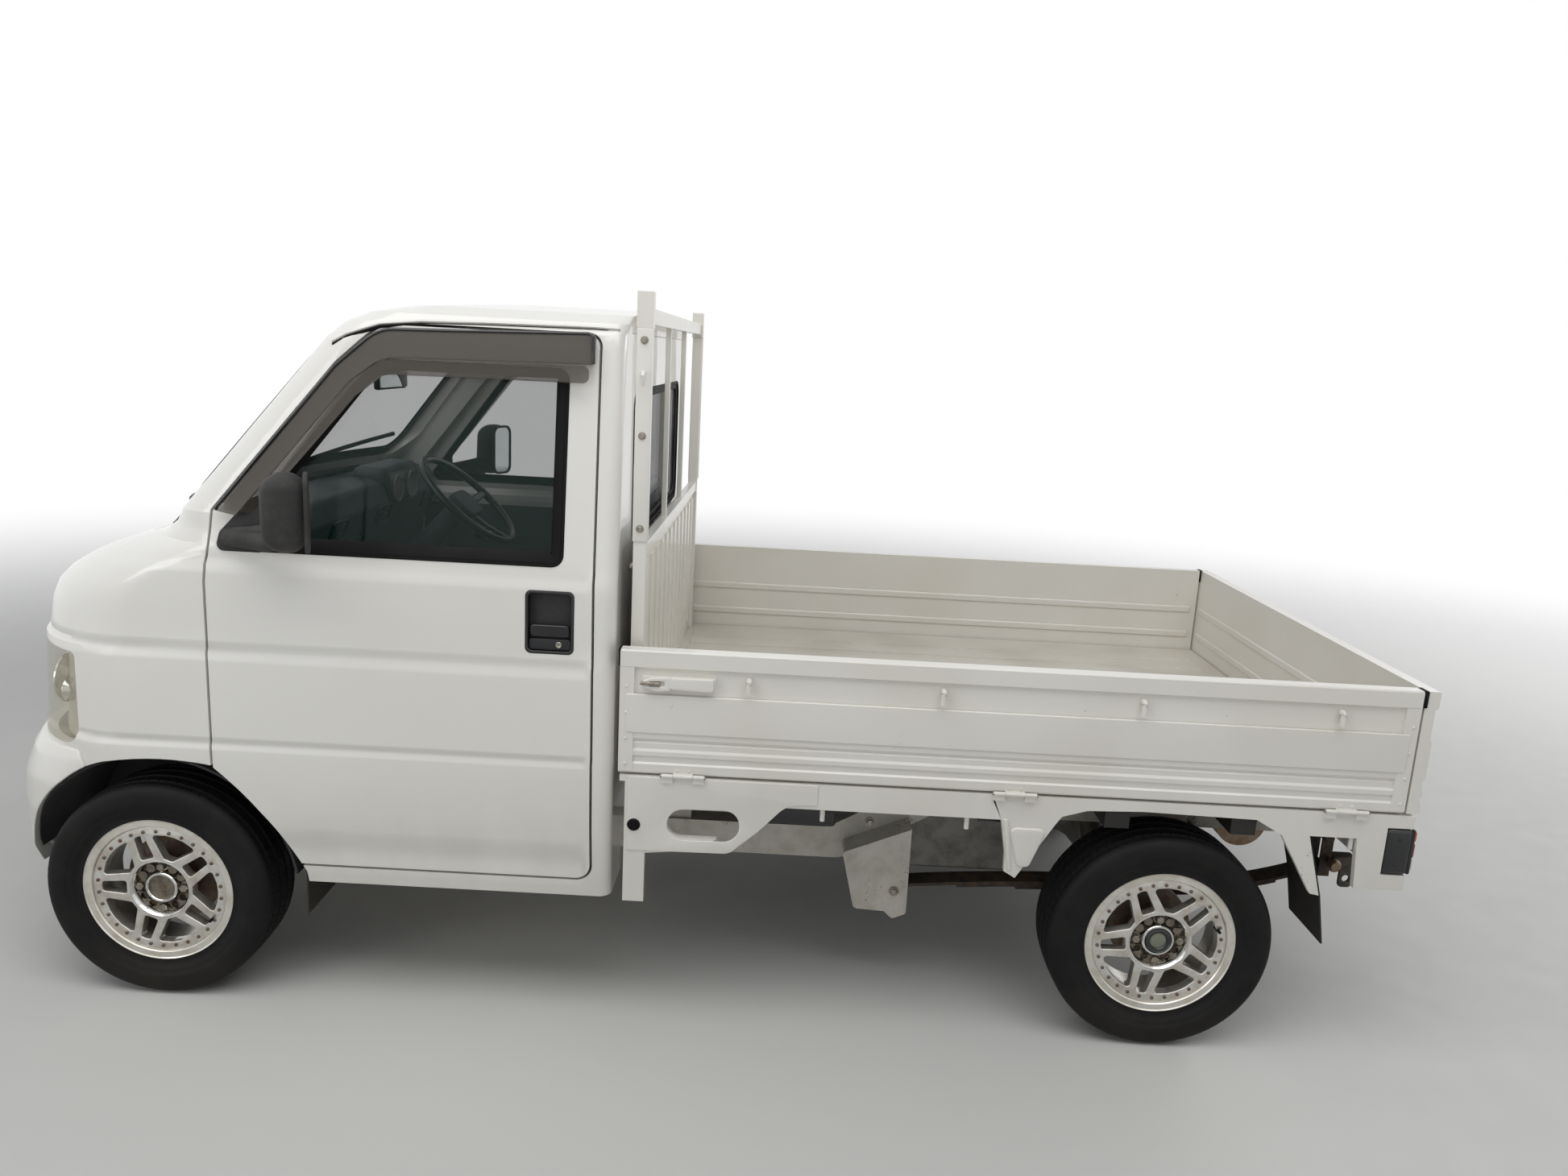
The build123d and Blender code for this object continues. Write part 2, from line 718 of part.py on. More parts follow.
# Floor with the wheelhouses and the seat box
with BuildPart() as wheelhouse:
    add(side_inner)
    add(round_pocket(HOUSE_R, LINER_IN - LINER_T - SEAT_GAP - WHEELHOUSE_T, 700), mode=Mode.INTERSECT)
    add(pocket, mode=Mode.SUBTRACT)
    add(blocks((0, BULKHEAD_X + 320, 0, 800, FLOOR_Z, 800)), mode=Mode.INTERSECT)
with BuildPart() as floor:
    add(side_inner)
    add(blocks((CAB_REAR, BULKHEAD_X - SEAT_GAP, 0, 800, FLOOR_Z, FLOOR_Z + FLOOR_T)), mode=Mode.INTERSECT)
    add(pocket, mode=Mode.SUBTRACT)
    add(wheelhouse.part)
    add(blocks((CAB_REAR + CAB_WALL, SEAT_BOX_FRONT, 0, SEAT_Y + SEAT_W / 2 + 30,
                FLOOR_Z + FLOOR_T, SEAT_LOW - SEAT_GAP)))
    mirror(about=Plane.XZ)
floor.part.label = "cab_floor"
export_step(floor.part, "parts/cab_floor.step")

# Dark liners inside the front arches
with BuildPart() as liners:
    add(round_pocket(LINER_R + LINER_T, LINER_IN - LINER_T, 706))
    add(round_pocket(LINER_R, LINER_IN, 706), mode=Mode.SUBTRACT)
    add(blocks((0, 1800, 0, 800, LINER_LOW, 800)), mode=Mode.INTERSECT)
    mirror(about=Plane.XZ)
liners.part.label = "arch_liners"
export_step(liners.part, "parts/arch_liners.step")

# Glass
with BuildPart() as screen:
    add(body_form(CAB_ROWS, high_in=GLASS_IN / 2, front_in=GLASS_IN / 2))
    add(body_form(CAB_ROWS, high_in=GLASS_IN / 2 + GLASS_T, front_in=GLASS_IN / 2 + GLASS_T * 1.3), mode=Mode.SUBTRACT)
    with BuildSketch(Plane.YZ.offset(850)):
        add(rounded(SCREEN_OUTLINE, -SEAT_GAP))
    extrude(amount=550, mode=Mode.INTERSECT)
screen.part.label = "windscreen"
export_step(screen.part, "parts/windscreen.step")

with BuildPart() as rear_glass:
    with BuildSketch(Plane.YZ.offset(CAB_REAR + 8)):
        with Locations((0, REAR_WINDOW_Z)):
            RectangleRounded(REAR_WINDOW_W - 2 * SEAT_GAP, REAR_WINDOW_H - 2 * SEAT_GAP, 45)
    extrude(amount=GLASS_T)
rear_glass.part.label = "rear_window"
export_step(rear_glass.part, "parts/rear_window.step")

# Dashboard with the steering column
steering_dir = (-sin(radians(STEERING_TILT)), 0, cos(radians(STEERING_TILT)))
steering_plane = Plane(origin=(STEERING_X, STEERING_Y, STEERING_Z), x_dir=(0, 1, 0), z_dir=steering_dir)
with BuildPart() as dash:
    add(side_prism(rounded(DASH_OUTLINE), -700, 700))
    add(body_form(CAB_ROWS, 90, 66, front_in=60), mode=Mode.INTERSECT)
    add(blocks((0, BULKHEAD_X - SEAT_GAP, -800, 800, 0, 1800)), mode=Mode.INTERSECT)
    with BuildSketch(steering_plane.offset(-50 - SEAT_GAP)):
        Circle(COLUMN_R)
    extrude(amount=-330)
dash.part.label = "dashboard"
export_step(dash.part, "parts/dashboard.step")

with BuildPart(steering_plane) as steering:
    Torus(STEERING_R, STEERING_RIM_R)
    with Locations((0, 0, -28)):
        Cylinder(58, 36)
    with PolarLocations(0, 3, start_angle=-90):
        with Locations((STEERING_R / 2, 0, -14)):
            Box(STEERING_R - 4, 30, 14)
    with Locations((0, 0, -48)):
        Cylinder(26, 4)
steering.part.label = "steering_wheel"
export_step(steering.part, "parts/steering_wheel.step")

# Seats
with BuildPart() as cushions:
    with BuildSketch(Plane.XY.offset(SEAT_LOW)):
        with Locations(((SEAT_FRONT + 345) / 2, SEAT_Y)):
            RectangleRounded(SEAT_FRONT - 345, SEAT_W, 50)
    extrude(amount=SEAT_HIGH - SEAT_LOW)
    fillet(cushions.faces().sort_by(Axis.Z)[-1].edges(), radius=30)
    mirror(about=Plane.XZ)
cushions.part.label = "seat_cushions"
export_step(cushions.part, "parts/seat_cushions.step")

with BuildPart() as backs:
    add(side_prism(rounded(SEAT_BACK_OUTLINE), SEAT_Y - SEAT_W / 2, SEAT_Y + SEAT_W / 2))
    with BuildSketch(Plane.YZ.offset(248)):
        with Locations((SEAT_Y, (1180 + HEADREST_TOP) / 2)):
            RectangleRounded(250, HEADREST_TOP - 1180, 60)
    extrude(amount=70)
    mirror(about=Plane.XZ)
backs.part.label = "seat_backs"
export_step(backs.part, "parts/seat_backs.step")

# Doors, each with its glass, visor, mirror and handle
with BuildPart() as door:
    add(outer)
    add(side_prism(rounded(DOOR_OUTLINE), 300, 800), mode=Mode.INTERSECT)
    add(door_inner, mode=Mode.SUBTRACT)
    add(arch_cut, mode=Mode.SUBTRACT)
    add(side_prism(rounded(WINDOW_OUTLINE), 300, 800), mode=Mode.SUBTRACT)
    with BuildSketch(Plane.XZ.offset(-800)):
        with Locations((HANDLE_X, HANDLE_Z)):
            RectangleRounded(HANDLE_W, HANDLE_H, 14)
    extrude(amount=800 - HALF_WIDTH + HANDLE_DEEP, mode=Mode.SUBTRACT)

with BuildPart() as door_glass:
    add(body_form(CAB_ROWS, high_in=GLASS_IN, rear=100))
    add(body_form(CAB_ROWS, high_in=GLASS_IN + GLASS_T, rear=50), mode=Mode.SUBTRACT)
    add(side_prism(rounded(WINDOW_OUTLINE, -SEAT_GAP), 300, 800), mode=Mode.INTERSECT)

seat_form = body_form(CAB_ROWS, -SEAT_GAP, -SEAT_GAP, rear=50)
with BuildPart() as visor:
    add(body_form(CAB_ROWS, high_in=-VISOR_OUT, rear=100))
    add(body_form(CAB_ROWS, high_in=VISOR_T - VISOR_OUT, rear=50), mode=Mode.SUBTRACT)
    add(side_prism(rounded(VISOR_OUTLINE), 300, 800), mode=Mode.INTERSECT)
with BuildPart() as visor_edge:
    add(body_form(CAB_ROWS, high_in=VISOR_T / 2 - VISOR_OUT, rear=100))
    add(seat_form, mode=Mode.SUBTRACT)
    add(side_prism(rounded(VISOR_OUTLINE), 300, 800), mode=Mode.INTERSECT)
    add(side_prism(rounded(VISOR_OUTLINE, -VISOR_T), 300, 800), mode=Mode.SUBTRACT)
    add(blocks((0, 1090, 300, 800, 1225, 1800)), mode=Mode.INTERSECT)

with BuildPart() as visor_whole:
    add(visor.part)
    add(visor_edge.part)

with BuildPart() as fittings:
    with BuildSketch(Plane.YZ.offset(MIRROR_X - MIRROR_T / 2)):
        with Locations((MIRROR_Y, MIRROR_Z)):
            RectangleRounded(MIRROR_W, MIRROR_H, 34)
    extrude(amount=MIRROR_T)
    with BuildSketch(Plane.XY.offset(MIRROR_ARM_LOW)):
        with BuildLine():
            Polyline(*MIRROR_ARM, close=True)
        make_face()
    extrude(amount=MIRROR_ARM_H)
    add(seat_form, mode=Mode.SUBTRACT)
    with BuildSketch(Plane.XZ.offset(-HANDLE_OUT)):
        with Locations((HANDLE_X, HANDLE_Z)):
            RectangleRounded(HANDLE_W - 2 * SEAT_GAP, HANDLE_H - 2 * SEAT_GAP, 14)
    extrude(amount=HANDLE_OUT - HALF_WIDTH + HANDLE_DEEP - SEAT_GAP)

SIDES = (("left", 1), ("right", -1))
for side_name, side_sign in SIDES:
    for piece_name, piece in (("door", door), ("door_glass", door_glass), ("door_visor", visor_whole), ("door_fittings", fittings)):
        with BuildPart() as hand:
            add(piece.part)
            if side_sign < 0:
                mirror(about=Plane.XZ, mode=Mode.REPLACE)
        hand.part.label = f"{piece_name}_{side_name}"
        export_step(hand.part, f"parts/{piece_name}_{side_name}.step")

# Gates: sections of the pressed side panels as y and z from the outer face and the bottom edge
GATE_SECTION = (
    (-GATE_T, 0),
    (-3, 0),
    (0, 4),
    (0, 23),
    (-4, 27),
    (-4, 39),
    (0, 44),
    (0, 54),
    (-4, 60),
    (-4, 73),
    (-7, 77),
    (-4, 81),
    (0, 86),
    (0, 172),
    (-5, 184),
    (-5, 252),
    (2.5, 257),
    (2.5, 293),
    (0, 296.5),
    (-GATE_T, 296.5),
)
GATE_REAR = REAR_END + TAIL_OUT + TAIL_T + PANEL_GAP
GATE_LENGTH = BED_FRONT - GATE_REAR
with BuildPart() as side_gate:
    with BuildSketch(Plane(origin=(GATE_REAR, SKIRT_Y, GATE_LOW), x_dir=(0, 1, 0), z_dir=(1, 0, 0))):
        with BuildLine():
            Polyline(*GATE_SECTION, close=True)
        make_face()
    extrude(amount=GATE_LENGTH)
    add(blocks((BED_FRONT - END_CHANNEL, BED_FRONT, SKIRT_Y - GATE_T, SKIRT_Y + 1.5, GATE_LOW + 5, GATE_HIGH - 40),
               (GATE_REAR, GATE_REAR + END_CHANNEL, SKIRT_Y - GATE_T, SKIRT_Y + 1.5, GATE_LOW + 5, GATE_HIGH - 40)))
    for place in HINGE_PLACES:
        with Locations((place, SKIRT_Y + GATE_PIN_OUT, GATE_LOW - 1)):
            Cylinder(HINGE_R, HINGE_GATE_W, rotation=(0, 90, 0))
        add(blocks((place - HINGE_GATE_W / 2, place + HINGE_GATE_W / 2, SKIRT_Y - 6, SKIRT_Y + GATE_PIN_OUT,
                    GATE_LOW, GATE_LOW + 4)))
    for place in HOOK_PLACES:
        add(blocks((place - 5, place + 5, SKIRT_Y - 6, SKIRT_Y + 12, GATE_LOW + 232, GATE_LOW + 240),
                   (place - 5, place + 5, SKIRT_Y + 6, SKIRT_Y + 12, GATE_LOW + 208, GATE_LOW + 240)))
    add(blocks((LATCH_REAR, LATCH_FRONT, SKIRT_Y - 6, SKIRT_Y + 9, LATCH_Z - 14, LATCH_Z + 14)))
for side_name, side_sign in SIDES:
    with BuildPart() as gate:
        add(side_gate.part)
        if side_sign < 0:
            mirror(about=Plane.XZ, mode=Mode.REPLACE)
    gate.part.label = f"gate_{side_name}"
    export_step(gate.part, f"parts/gate_{side_name}.step")

with BuildPart() as tailgate:
    with BuildSketch(Plane(origin=(REAR_END + TAIL_OUT, -SKIRT_Y, GATE_LOW), x_dir=(-1, 0, 0), z_dir=(0, 1, 0))):
        with BuildLine():
            Polyline(*GATE_SECTION, close=True)
        make_face()
    extrude(amount=2 * SKIRT_Y)
    for place in TAIL_HINGES:
        with Locations((REAR_END + TAIL_OUT - TAIL_PIN_OUT, place, GATE_LOW - 1)):
            Cylinder(TAIL_HINGE_R, HINGE_GATE_W, rotation=(90, 0, 0))
        add(blocks((REAR_END + TAIL_OUT - TAIL_PIN_OUT, REAR_END + TAIL_OUT + 6, place - HINGE_GATE_W / 2,
                    place + HINGE_GATE_W / 2, GATE_LOW, GATE_LOW + 5)))
tailgate.part.label = "tailgate"
export_step(tailgate.part, "parts/tailgate.step")

# Bed floor with its ribs and cross members
BED_REAR = GATE_REAR - 2
BED_HALF = SKIRT_Y - GATE_T - PANEL_GAP
with BuildPart() as bed:
    with Locations(((BED_FRONT + BED_REAR) / 2, 0, BED_TOP - BED_T / 2)):
        Box(BED_FRONT - BED_REAR, 2 * BED_HALF, BED_T)
    with Locations(((BED_FRONT + BED_REAR) / 2, 0, BED_TOP)):
        with GridLocations(0, RIB_PITCH, 1, RIB_COUNT):
            Box(BED_FRONT - BED_REAR - 120, RIB_W, RIB_H, align=(Align.CENTER, Align.CENTER, Align.MIN))
    for place in BED_MEMBERS:
        with Locations((place, 0, BED_TOP - BED_T)):
            Box(MEMBER_W, 2 * BED_HALF, MEMBER_H, align=(Align.CENTER, Align.CENTER, Align.MAX))
bed.part.label = "bed_floor"
export_step(bed.part, "parts/bed_floor.step")

# Skirts under the gates, with the front legs, the mudguard plates and the rear panel
with BuildPart() as skirts:
    with BuildSketch(Plane.XZ.offset(-SKIRT_Y)):
        with BuildLine():
            Polyline(*SKIRT_VIEW, close=True)
        make_face()
        with Locations((OVAL_X, OVAL_Z)):
            SlotOverall(OVAL_W, OVAL_H, mode=Mode.SUBTRACT)
    extrude(amount=SKIRT_T)
    add(blocks((BED_REAR, BED_FRONT - 4, BED_HALF, SKIRT_Y - 2, SKIRT_TOP - SKIRT_T, SKIRT_TOP)))
    add(blocks((REAR_END + 18, REAR_END + 18 + SKIRT_T, 0, SKIRT_Y, REAR_PANEL_LOW, SKIRT_TOP),
               (REAR_END + 18, BED_REAR, 0, SKIRT_Y - 2, SKIRT_TOP - SKIRT_T, SKIRT_TOP)))
    add(blocks((REAR_END - 1, TAIL_LAMP_FRONT + SEAT_GAP, TAIL_LAMP_Y - SEAT_GAP, 800,
                TAIL_LAMP_LOW - SEAT_GAP, TAIL_LAMP_HIGH + SEAT_GAP)), mode=Mode.SUBTRACT)
    for place in HINGE_PLACES:
        for shift in (-1, 1):
            middle = place + shift * (HINGE_GATE_W + HINGE_SIDE_W + 1) / 2
            with Locations((middle, SKIRT_Y + GATE_PIN_OUT, GATE_LOW - 1)):
                Cylinder(HINGE_R, HINGE_SIDE_W, rotation=(0, 90, 0))
            add(blocks((middle - HINGE_SIDE_W / 2, middle + HINGE_SIDE_W / 2, SKIRT_Y - 2, SKIRT_Y + GATE_PIN_OUT,
                        SKIRT_TOP - 12, SKIRT_TOP + 2)))
    for place in TAIL_HINGES:
        for shift in (-1, 1):
            middle = place + shift * (HINGE_GATE_W + HINGE_SIDE_W + 1) / 2
            if middle > 0:
                with Locations((REAR_END + TAIL_OUT - TAIL_PIN_OUT, middle, GATE_LOW - 1)):
                    Cylinder(TAIL_HINGE_R, HINGE_SIDE_W, rotation=(90, 0, 0))
                add(blocks((REAR_END + TAIL_OUT - TAIL_PIN_OUT, REAR_END + 20, middle - HINGE_SIDE_W / 2,
                            middle + HINGE_SIDE_W / 2, SKIRT_TOP - 12, SKIRT_TOP + 2)))
    mirror(about=Plane.XZ)
skirts.part.label = "bed_skirts"
export_step(skirts.part, "parts/bed_skirts.step")

with BuildPart() as tail_lamps:
    add(blocks((REAR_END, TAIL_LAMP_FRONT, TAIL_LAMP_Y, SKIRT_Y + 1, TAIL_LAMP_LOW, TAIL_LAMP_HIGH)))
    mirror(about=Plane.XZ)
tail_lamps.part.label = "tail_lamps"
export_step(tail_lamps.part, "parts/tail_lamps.step")

# Guard behind the cab
with BuildPart() as guard:
    with Locations((GUARD_X, GUARD_Y, BED_TOP)):
        Box(GUARD_POST, GUARD_POST, HEIGHT - BED_TOP, align=(Align.CENTER, Align.CENTER, Align.MIN))
    with Locations((GUARD_X, GUARD_Y, HEIGHT)):
        Box(GUARD_POST + 6, GUARD_POST + 6, GUARD_CAP, align=(Align.CENTER, Align.CENTER, Align.MAX))
    add(blocks((GUARD_X - 12, GUARD_X + 12, 0, GUARD_Y, GUARD_BAR_LOW, GUARD_BAR_HIGH),
               (GUARD_X - 12, GUARD_X + 12, 0, GUARD_Y, GUARD_SHEET_TOP - 30, GUARD_SHEET_TOP),
               (GUARD_X - 3, GUARD_X + 3, 0, GUARD_Y, BED_TOP, GUARD_SHEET_TOP),
               (GUARD_X - 7, GUARD_X + 7, GUARD_BAR_Y - 7, GUARD_BAR_Y + 7, GUARD_SHEET_TOP, GUARD_BAR_LOW)))
    for rib in range(GUARD_RIBS):
        with Locations((GUARD_X, (rib + 0.5) * GUARD_RIB_PITCH, BED_TOP + 40)):
            Box(GUARD_RIB_T, GUARD_RIB_W, GUARD_SHEET_TOP - BED_TOP - 90, align=(Align.CENTER, Align.CENTER, Align.MIN))
    mirror(about=Plane.XZ)
guard.part.label = "bed_guard"
export_step(guard.part, "parts/bed_guard.step")

# Chassis frame: two rear rails that rise over the axle, two narrower front rails, and cross members
with BuildPart() as frame:
    with BuildSketch(Plane.XZ.offset(-(RAIL_Y + RAIL_W / 2))):
        add(rounded(RAIL_OUTLINE))
    extrude(amount=RAIL_W)
    add(blocks((760, FRAME_FRONT, FRONT_RAIL_Y - RAIL_W / 2, FRONT_RAIL_Y + RAIL_W / 2, RAIL_LOW, RAIL_LOW + RAIL_H)))
    for place, low in CROSS_MEMBERS:
        add(blocks((place - CROSS_W / 2, place + CROSS_W / 2, 0, RAIL_Y, low, low + CROSS_W)))
    add(blocks((60 - CROSS_W / 2, 60 + CROSS_W / 2, RAIL_Y - 20, RAIL_Y + 20, RAIL_LOW + RAIL_H,
                BED_TOP - BED_T - MEMBER_H)))
    hanger_in = SPRING_Y - LEAF_W / 2 - HANGER_T
    hanger_out = SPRING_Y + LEAF_W / 2 + HANGER_T
    add(side_prism(rounded(HANGER_OUTLINE), RAIL_Y + RAIL_W / 2 - HANGER_T, hanger_out + HANGER_T))
    add(side_prism(rounded(HANGER_OUTLINE, -HANGER_T), hanger_in, hanger_out), mode=Mode.SUBTRACT)
    add(blocks((SPRING_FRONT - 60, SPRING_FRONT - 20, hanger_in, hanger_out, SPRING_FRONT_Z - 2 * EYE_R,
                SPRING_FRONT_Z + 3 * EYE_R)), mode=Mode.SUBTRACT)
    mirror(about=Plane.XZ)
frame.part.label = "frame"
export_step(frame.part, "parts/frame.step")

with BuildPart() as engine:
    with Locations((ENGINE_X, 0, ENGINE_LOW)):
        Box(ENGINE_L, ENGINE_W, ENGINE_H, align=(Align.CENTER, Align.CENTER, Align.MIN))
    chamfer(engine.edges().filter_by(Axis.Z), length=40)
    add(blocks((ENGINE_X - 30, ENGINE_X + 30, -RAIL_Y + RAIL_W / 2, RAIL_Y - RAIL_W / 2, KICK_LOW + 10, KICK_LOW + 40)))
engine.part.label = "engine"
export_step(engine.part, "parts/engine.step")

with BuildPart() as tank:
    add(blocks((TANK_REAR, TANK_FRONT, -RAIL_Y - RAIL_W / 2 - TANK_W, -RAIL_Y - RAIL_W / 2, TANK_LOW, TANK_HIGH)))
    fillet(tank.edges().filter_by(Axis.X), radius=24)
tank.part.label = "fuel_tank"
export_step(tank.part, "parts/fuel_tank.step")

with BuildPart() as exhaust:
    exhaust_z = CROSS_MEMBERS[4][1] - EXHAUST_R - SEAT_GAP
    engine_back = ENGINE_X - ENGINE_L / 2 - SEAT_GAP
    with Locations((EXHAUST_X, 0, exhaust_z)):
        Cylinder(EXHAUST_R, EXHAUST_L, rotation=(90, 0, 0))
    with Locations(((EXHAUST_X + engine_back) / 2, PIPE_Y, exhaust_z)):
        Cylinder(PIPE_R, engine_back - EXHAUST_X, rotation=(0, 90, 0))
    with Locations((EXHAUST_X - 100, 2 * PIPE_Y / 3 * 2, exhaust_z)):
        Cylinder(PIPE_R - 3, 200, rotation=(0, 90, 0))
exhaust.part.label = "exhaust"
export_step(exhaust.part, "parts/exhaust.step")

# Rear axle beam with its stub axles and spring seats
with BuildPart() as axle:
    with Locations((REAR_AXLE, 0, AXLE_Z)):
        Cylinder(BEAM_R, 2 * BEAM_HALF, rotation=(90, 0, 0))
        Cylinder(STUB_R, 2 * (WHEEL_Y + 45), rotation=(90, 0, 0))
    for side_sign in (1, -1):
        add(blocks((REAR_AXLE - 50, REAR_AXLE + 50, side_sign * SPRING_Y - 35, side_sign * SPRING_Y + 35,
                    AXLE_Z - 10, SPRING_SEAT)))
axle.part.label = "rear_axle"
export_step(axle.part, "parts/rear_axle.step")

# Leaf springs from the eye in the front hanger to the shackle at the rear
def leaf_edge(low, share, lift):
    """One edge of a leaf: flat on the axle, bending down to the front eye and up to the rear one."""
    front_flat = (REAR_AXLE + SPRING_FLAT, low + lift)
    rear_flat = (REAR_AXLE - SPRING_FLAT, low + lift)
    seat = SPRING_SEAT + SEAT_GAP + LEAF_PITCH * (len(LEAF_SHARES) - 1)
    front_drop = (SPRING_FRONT_Z + EYE_R - EYE_LAP - LEAF_T - seat) * share**2
    rear_rise = (SPRING_REAR_Z + EYE_R - EYE_LAP - LEAF_T - seat) * share**2
    front = (front_flat[0] + (SPRING_FRONT - front_flat[0]) * share, low + lift + front_drop)
    rear = (rear_flat[0] + (SPRING_REAR - rear_flat[0]) * share, low + lift + rear_rise)
    return front, front_flat, rear_flat, rear


with BuildPart() as springs:
    with BuildSketch(Plane.XZ.offset(-(SPRING_Y + LEAF_W / 2))):
        for leaf, share in enumerate(LEAF_SHARES):
            low = SPRING_SEAT + SEAT_GAP + LEAF_PITCH * (len(LEAF_SHARES) - 1 - leaf)
            under = leaf_edge(low, share, 0)
            over = leaf_edge(low, share, LEAF_T)
            with BuildLine():
                TangentArc(under[1], under[0], tangent=(1, 0))
                Line(under[1], under[2])
                TangentArc(under[2], under[3], tangent=(-1, 0))
                Line(under[3], over[3])
                TangentArc(over[2], over[3], tangent=(-1, 0))
                Line(over[2], over[1])
                TangentArc(over[1], over[0], tangent=(1, 0))
                Line(over[0], under[0])
            make_face()
        with Locations((SPRING_FRONT, SPRING_FRONT_Z), (SPRING_REAR, SPRING_REAR_Z)):
            Circle(EYE_R)
    extrude(amount=LEAF_W)
    shackle_half = LEAF_W / 2 + SHACKLE_T
    add(blocks((SPRING_REAR - SHACKLE_W / 2, SPRING_REAR + SHACKLE_W / 2, SPRING_Y - shackle_half,
                SPRING_Y - LEAF_W / 2, SPRING_REAR_Z - 14, SHACKLE_PIN_Z + 14),
               (SPRING_REAR - SHACKLE_W / 2, SPRING_REAR + SHACKLE_W / 2, SPRING_Y + LEAF_W / 2,
                SPRING_Y + shackle_half, SPRING_REAR_Z - 14, SHACKLE_PIN_Z + 14)))
    pin_in = RAIL_Y + RAIL_W / 2
    pin_out = SPRING_Y + shackle_half + 6
    with Locations((SPRING_REAR, (pin_in + pin_out) / 2, SHACKLE_PIN_Z)):
        Cylinder(SHACKLE_W / 2 - 2, pin_out - pin_in, rotation=(90, 0, 0))
    mirror(about=Plane.XZ)
springs.part.label = "leaf_springs"
export_step(springs.part, "parts/leaf_springs.step")

# Front suspension: strut tubes with their king pin feet, lower arms and the steering rack
with BuildPart() as front_suspension:
    strut_top = AXLE_Z + sqrt(LINER_R**2 - STRUT_R**2) - SEAT_GAP
    with Locations((FRONT_AXLE, STRUT_Y, KNUCKLE_HIGH + SEAT_GAP)):
        Cylinder(STRUT_R, strut_top - KNUCKLE_HIGH - SEAT_GAP, align=(Align.CENTER, Align.CENTER, Align.MIN))
    add(blocks((FRONT_AXLE - STRUT_R, FRONT_AXLE + STRUT_R, STRUT_Y, KINGPIN_Y,
                KNUCKLE_HIGH + SEAT_GAP, KNUCKLE_HIGH + SEAT_GAP + ARM_T)))
    with Locations((FRONT_AXLE, KINGPIN_Y, KNUCKLE_HIGH + SEAT_GAP)):
        Cylinder(STRUT_R, ARM_T, align=(Align.CENTER, Align.CENTER, Align.MIN))
    with BuildSketch(Plane.XY.offset(KNUCKLE_LOW - SEAT_GAP)):
        with BuildLine():
            Polyline((FRONT_AXLE - 18, KINGPIN_Y), (FRONT_AXLE + 18, KINGPIN_Y), (FRONT_AXLE + 22, 470),
                     (FRONT_AXLE + 130, ARM_ROOT_Y), (FRONT_AXLE + 130, FRONT_RAIL_Y), (FRONT_AXLE - 130, FRONT_RAIL_Y),
                     (FRONT_AXLE - 130, ARM_ROOT_Y), (FRONT_AXLE - 22, 470),
                     close=True)
        make_face()
        with Locations((FRONT_AXLE, KINGPIN_Y)):
            Circle(STRUT_R + 1)
        with Locations((FRONT_AXLE, 400)):
            RectangleRounded(110, 40, 10, mode=Mode.SUBTRACT)
    extrude(amount=-ARM_T)
    with Locations((FRONT_AXLE - 40, 0, RACK_Z)):
        Cylinder(RACK_R, 2 * RACK_HALF, rotation=(90, 0, 0))
    add(blocks((FRONT_AXLE - 140, FRONT_AXLE + 140, FRONT_RAIL_Y - 30, FRONT_RAIL_Y + 30, KNUCKLE_LOW - ARM_T, RAIL_LOW)))
    mirror(about=Plane.XZ)
front_suspension.part.label = "front_suspension"
export_step(front_suspension.part, "parts/front_suspension.step")

with BuildPart() as flaps:
    add(blocks((FLAP_FRONT_X - FLAP_T, FLAP_FRONT_X, 560, 715, 232, 345)))
    with BuildSketch(Plane.XZ.offset(-(SKIRT_Y - 1))):
        with BuildLine():
            Polyline(*[(x - SEAT_GAP, z) for x, z in FLAP_REAR_VIEW], close=True)
        make_face()
    extrude(amount=SKIRT_Y - 561)
    mirror(about=Plane.XZ)
flaps.part.label = "mud_flaps"
export_step(flaps.part, "parts/mud_flaps.step")

# Knuckles: king pin boss, stub axle and steering arm
for side_name, side_sign in SIDES:
    with BuildPart() as knuckle:
        with Locations((FRONT_AXLE, KINGPIN_Y, KNUCKLE_LOW)):
            Cylinder(KINGPIN_R, KNUCKLE_HIGH - KNUCKLE_LOW, align=(Align.CENTER, Align.CENTER, Align.MIN))
        with Locations(Location((FRONT_AXLE, KINGPIN_Y, AXLE_Z), (-90, 0, 0))):
            Cylinder(STUB_R, WHEEL_Y + 45 - KINGPIN_Y, align=(Align.CENTER, Align.CENTER, Align.MIN))
        add(blocks((FRONT_AXLE - STEER_ARM, FRONT_AXLE, KINGPIN_Y - 12, KINGPIN_Y + 8, 226, 244)))
        if side_sign < 0:
            mirror(about=Plane.XZ, mode=Mode.REPLACE)
    knuckle.part.label = f"knuckle_{side_name}"
    export_step(knuckle.part, f"parts/knuckle_{side_name}.step")

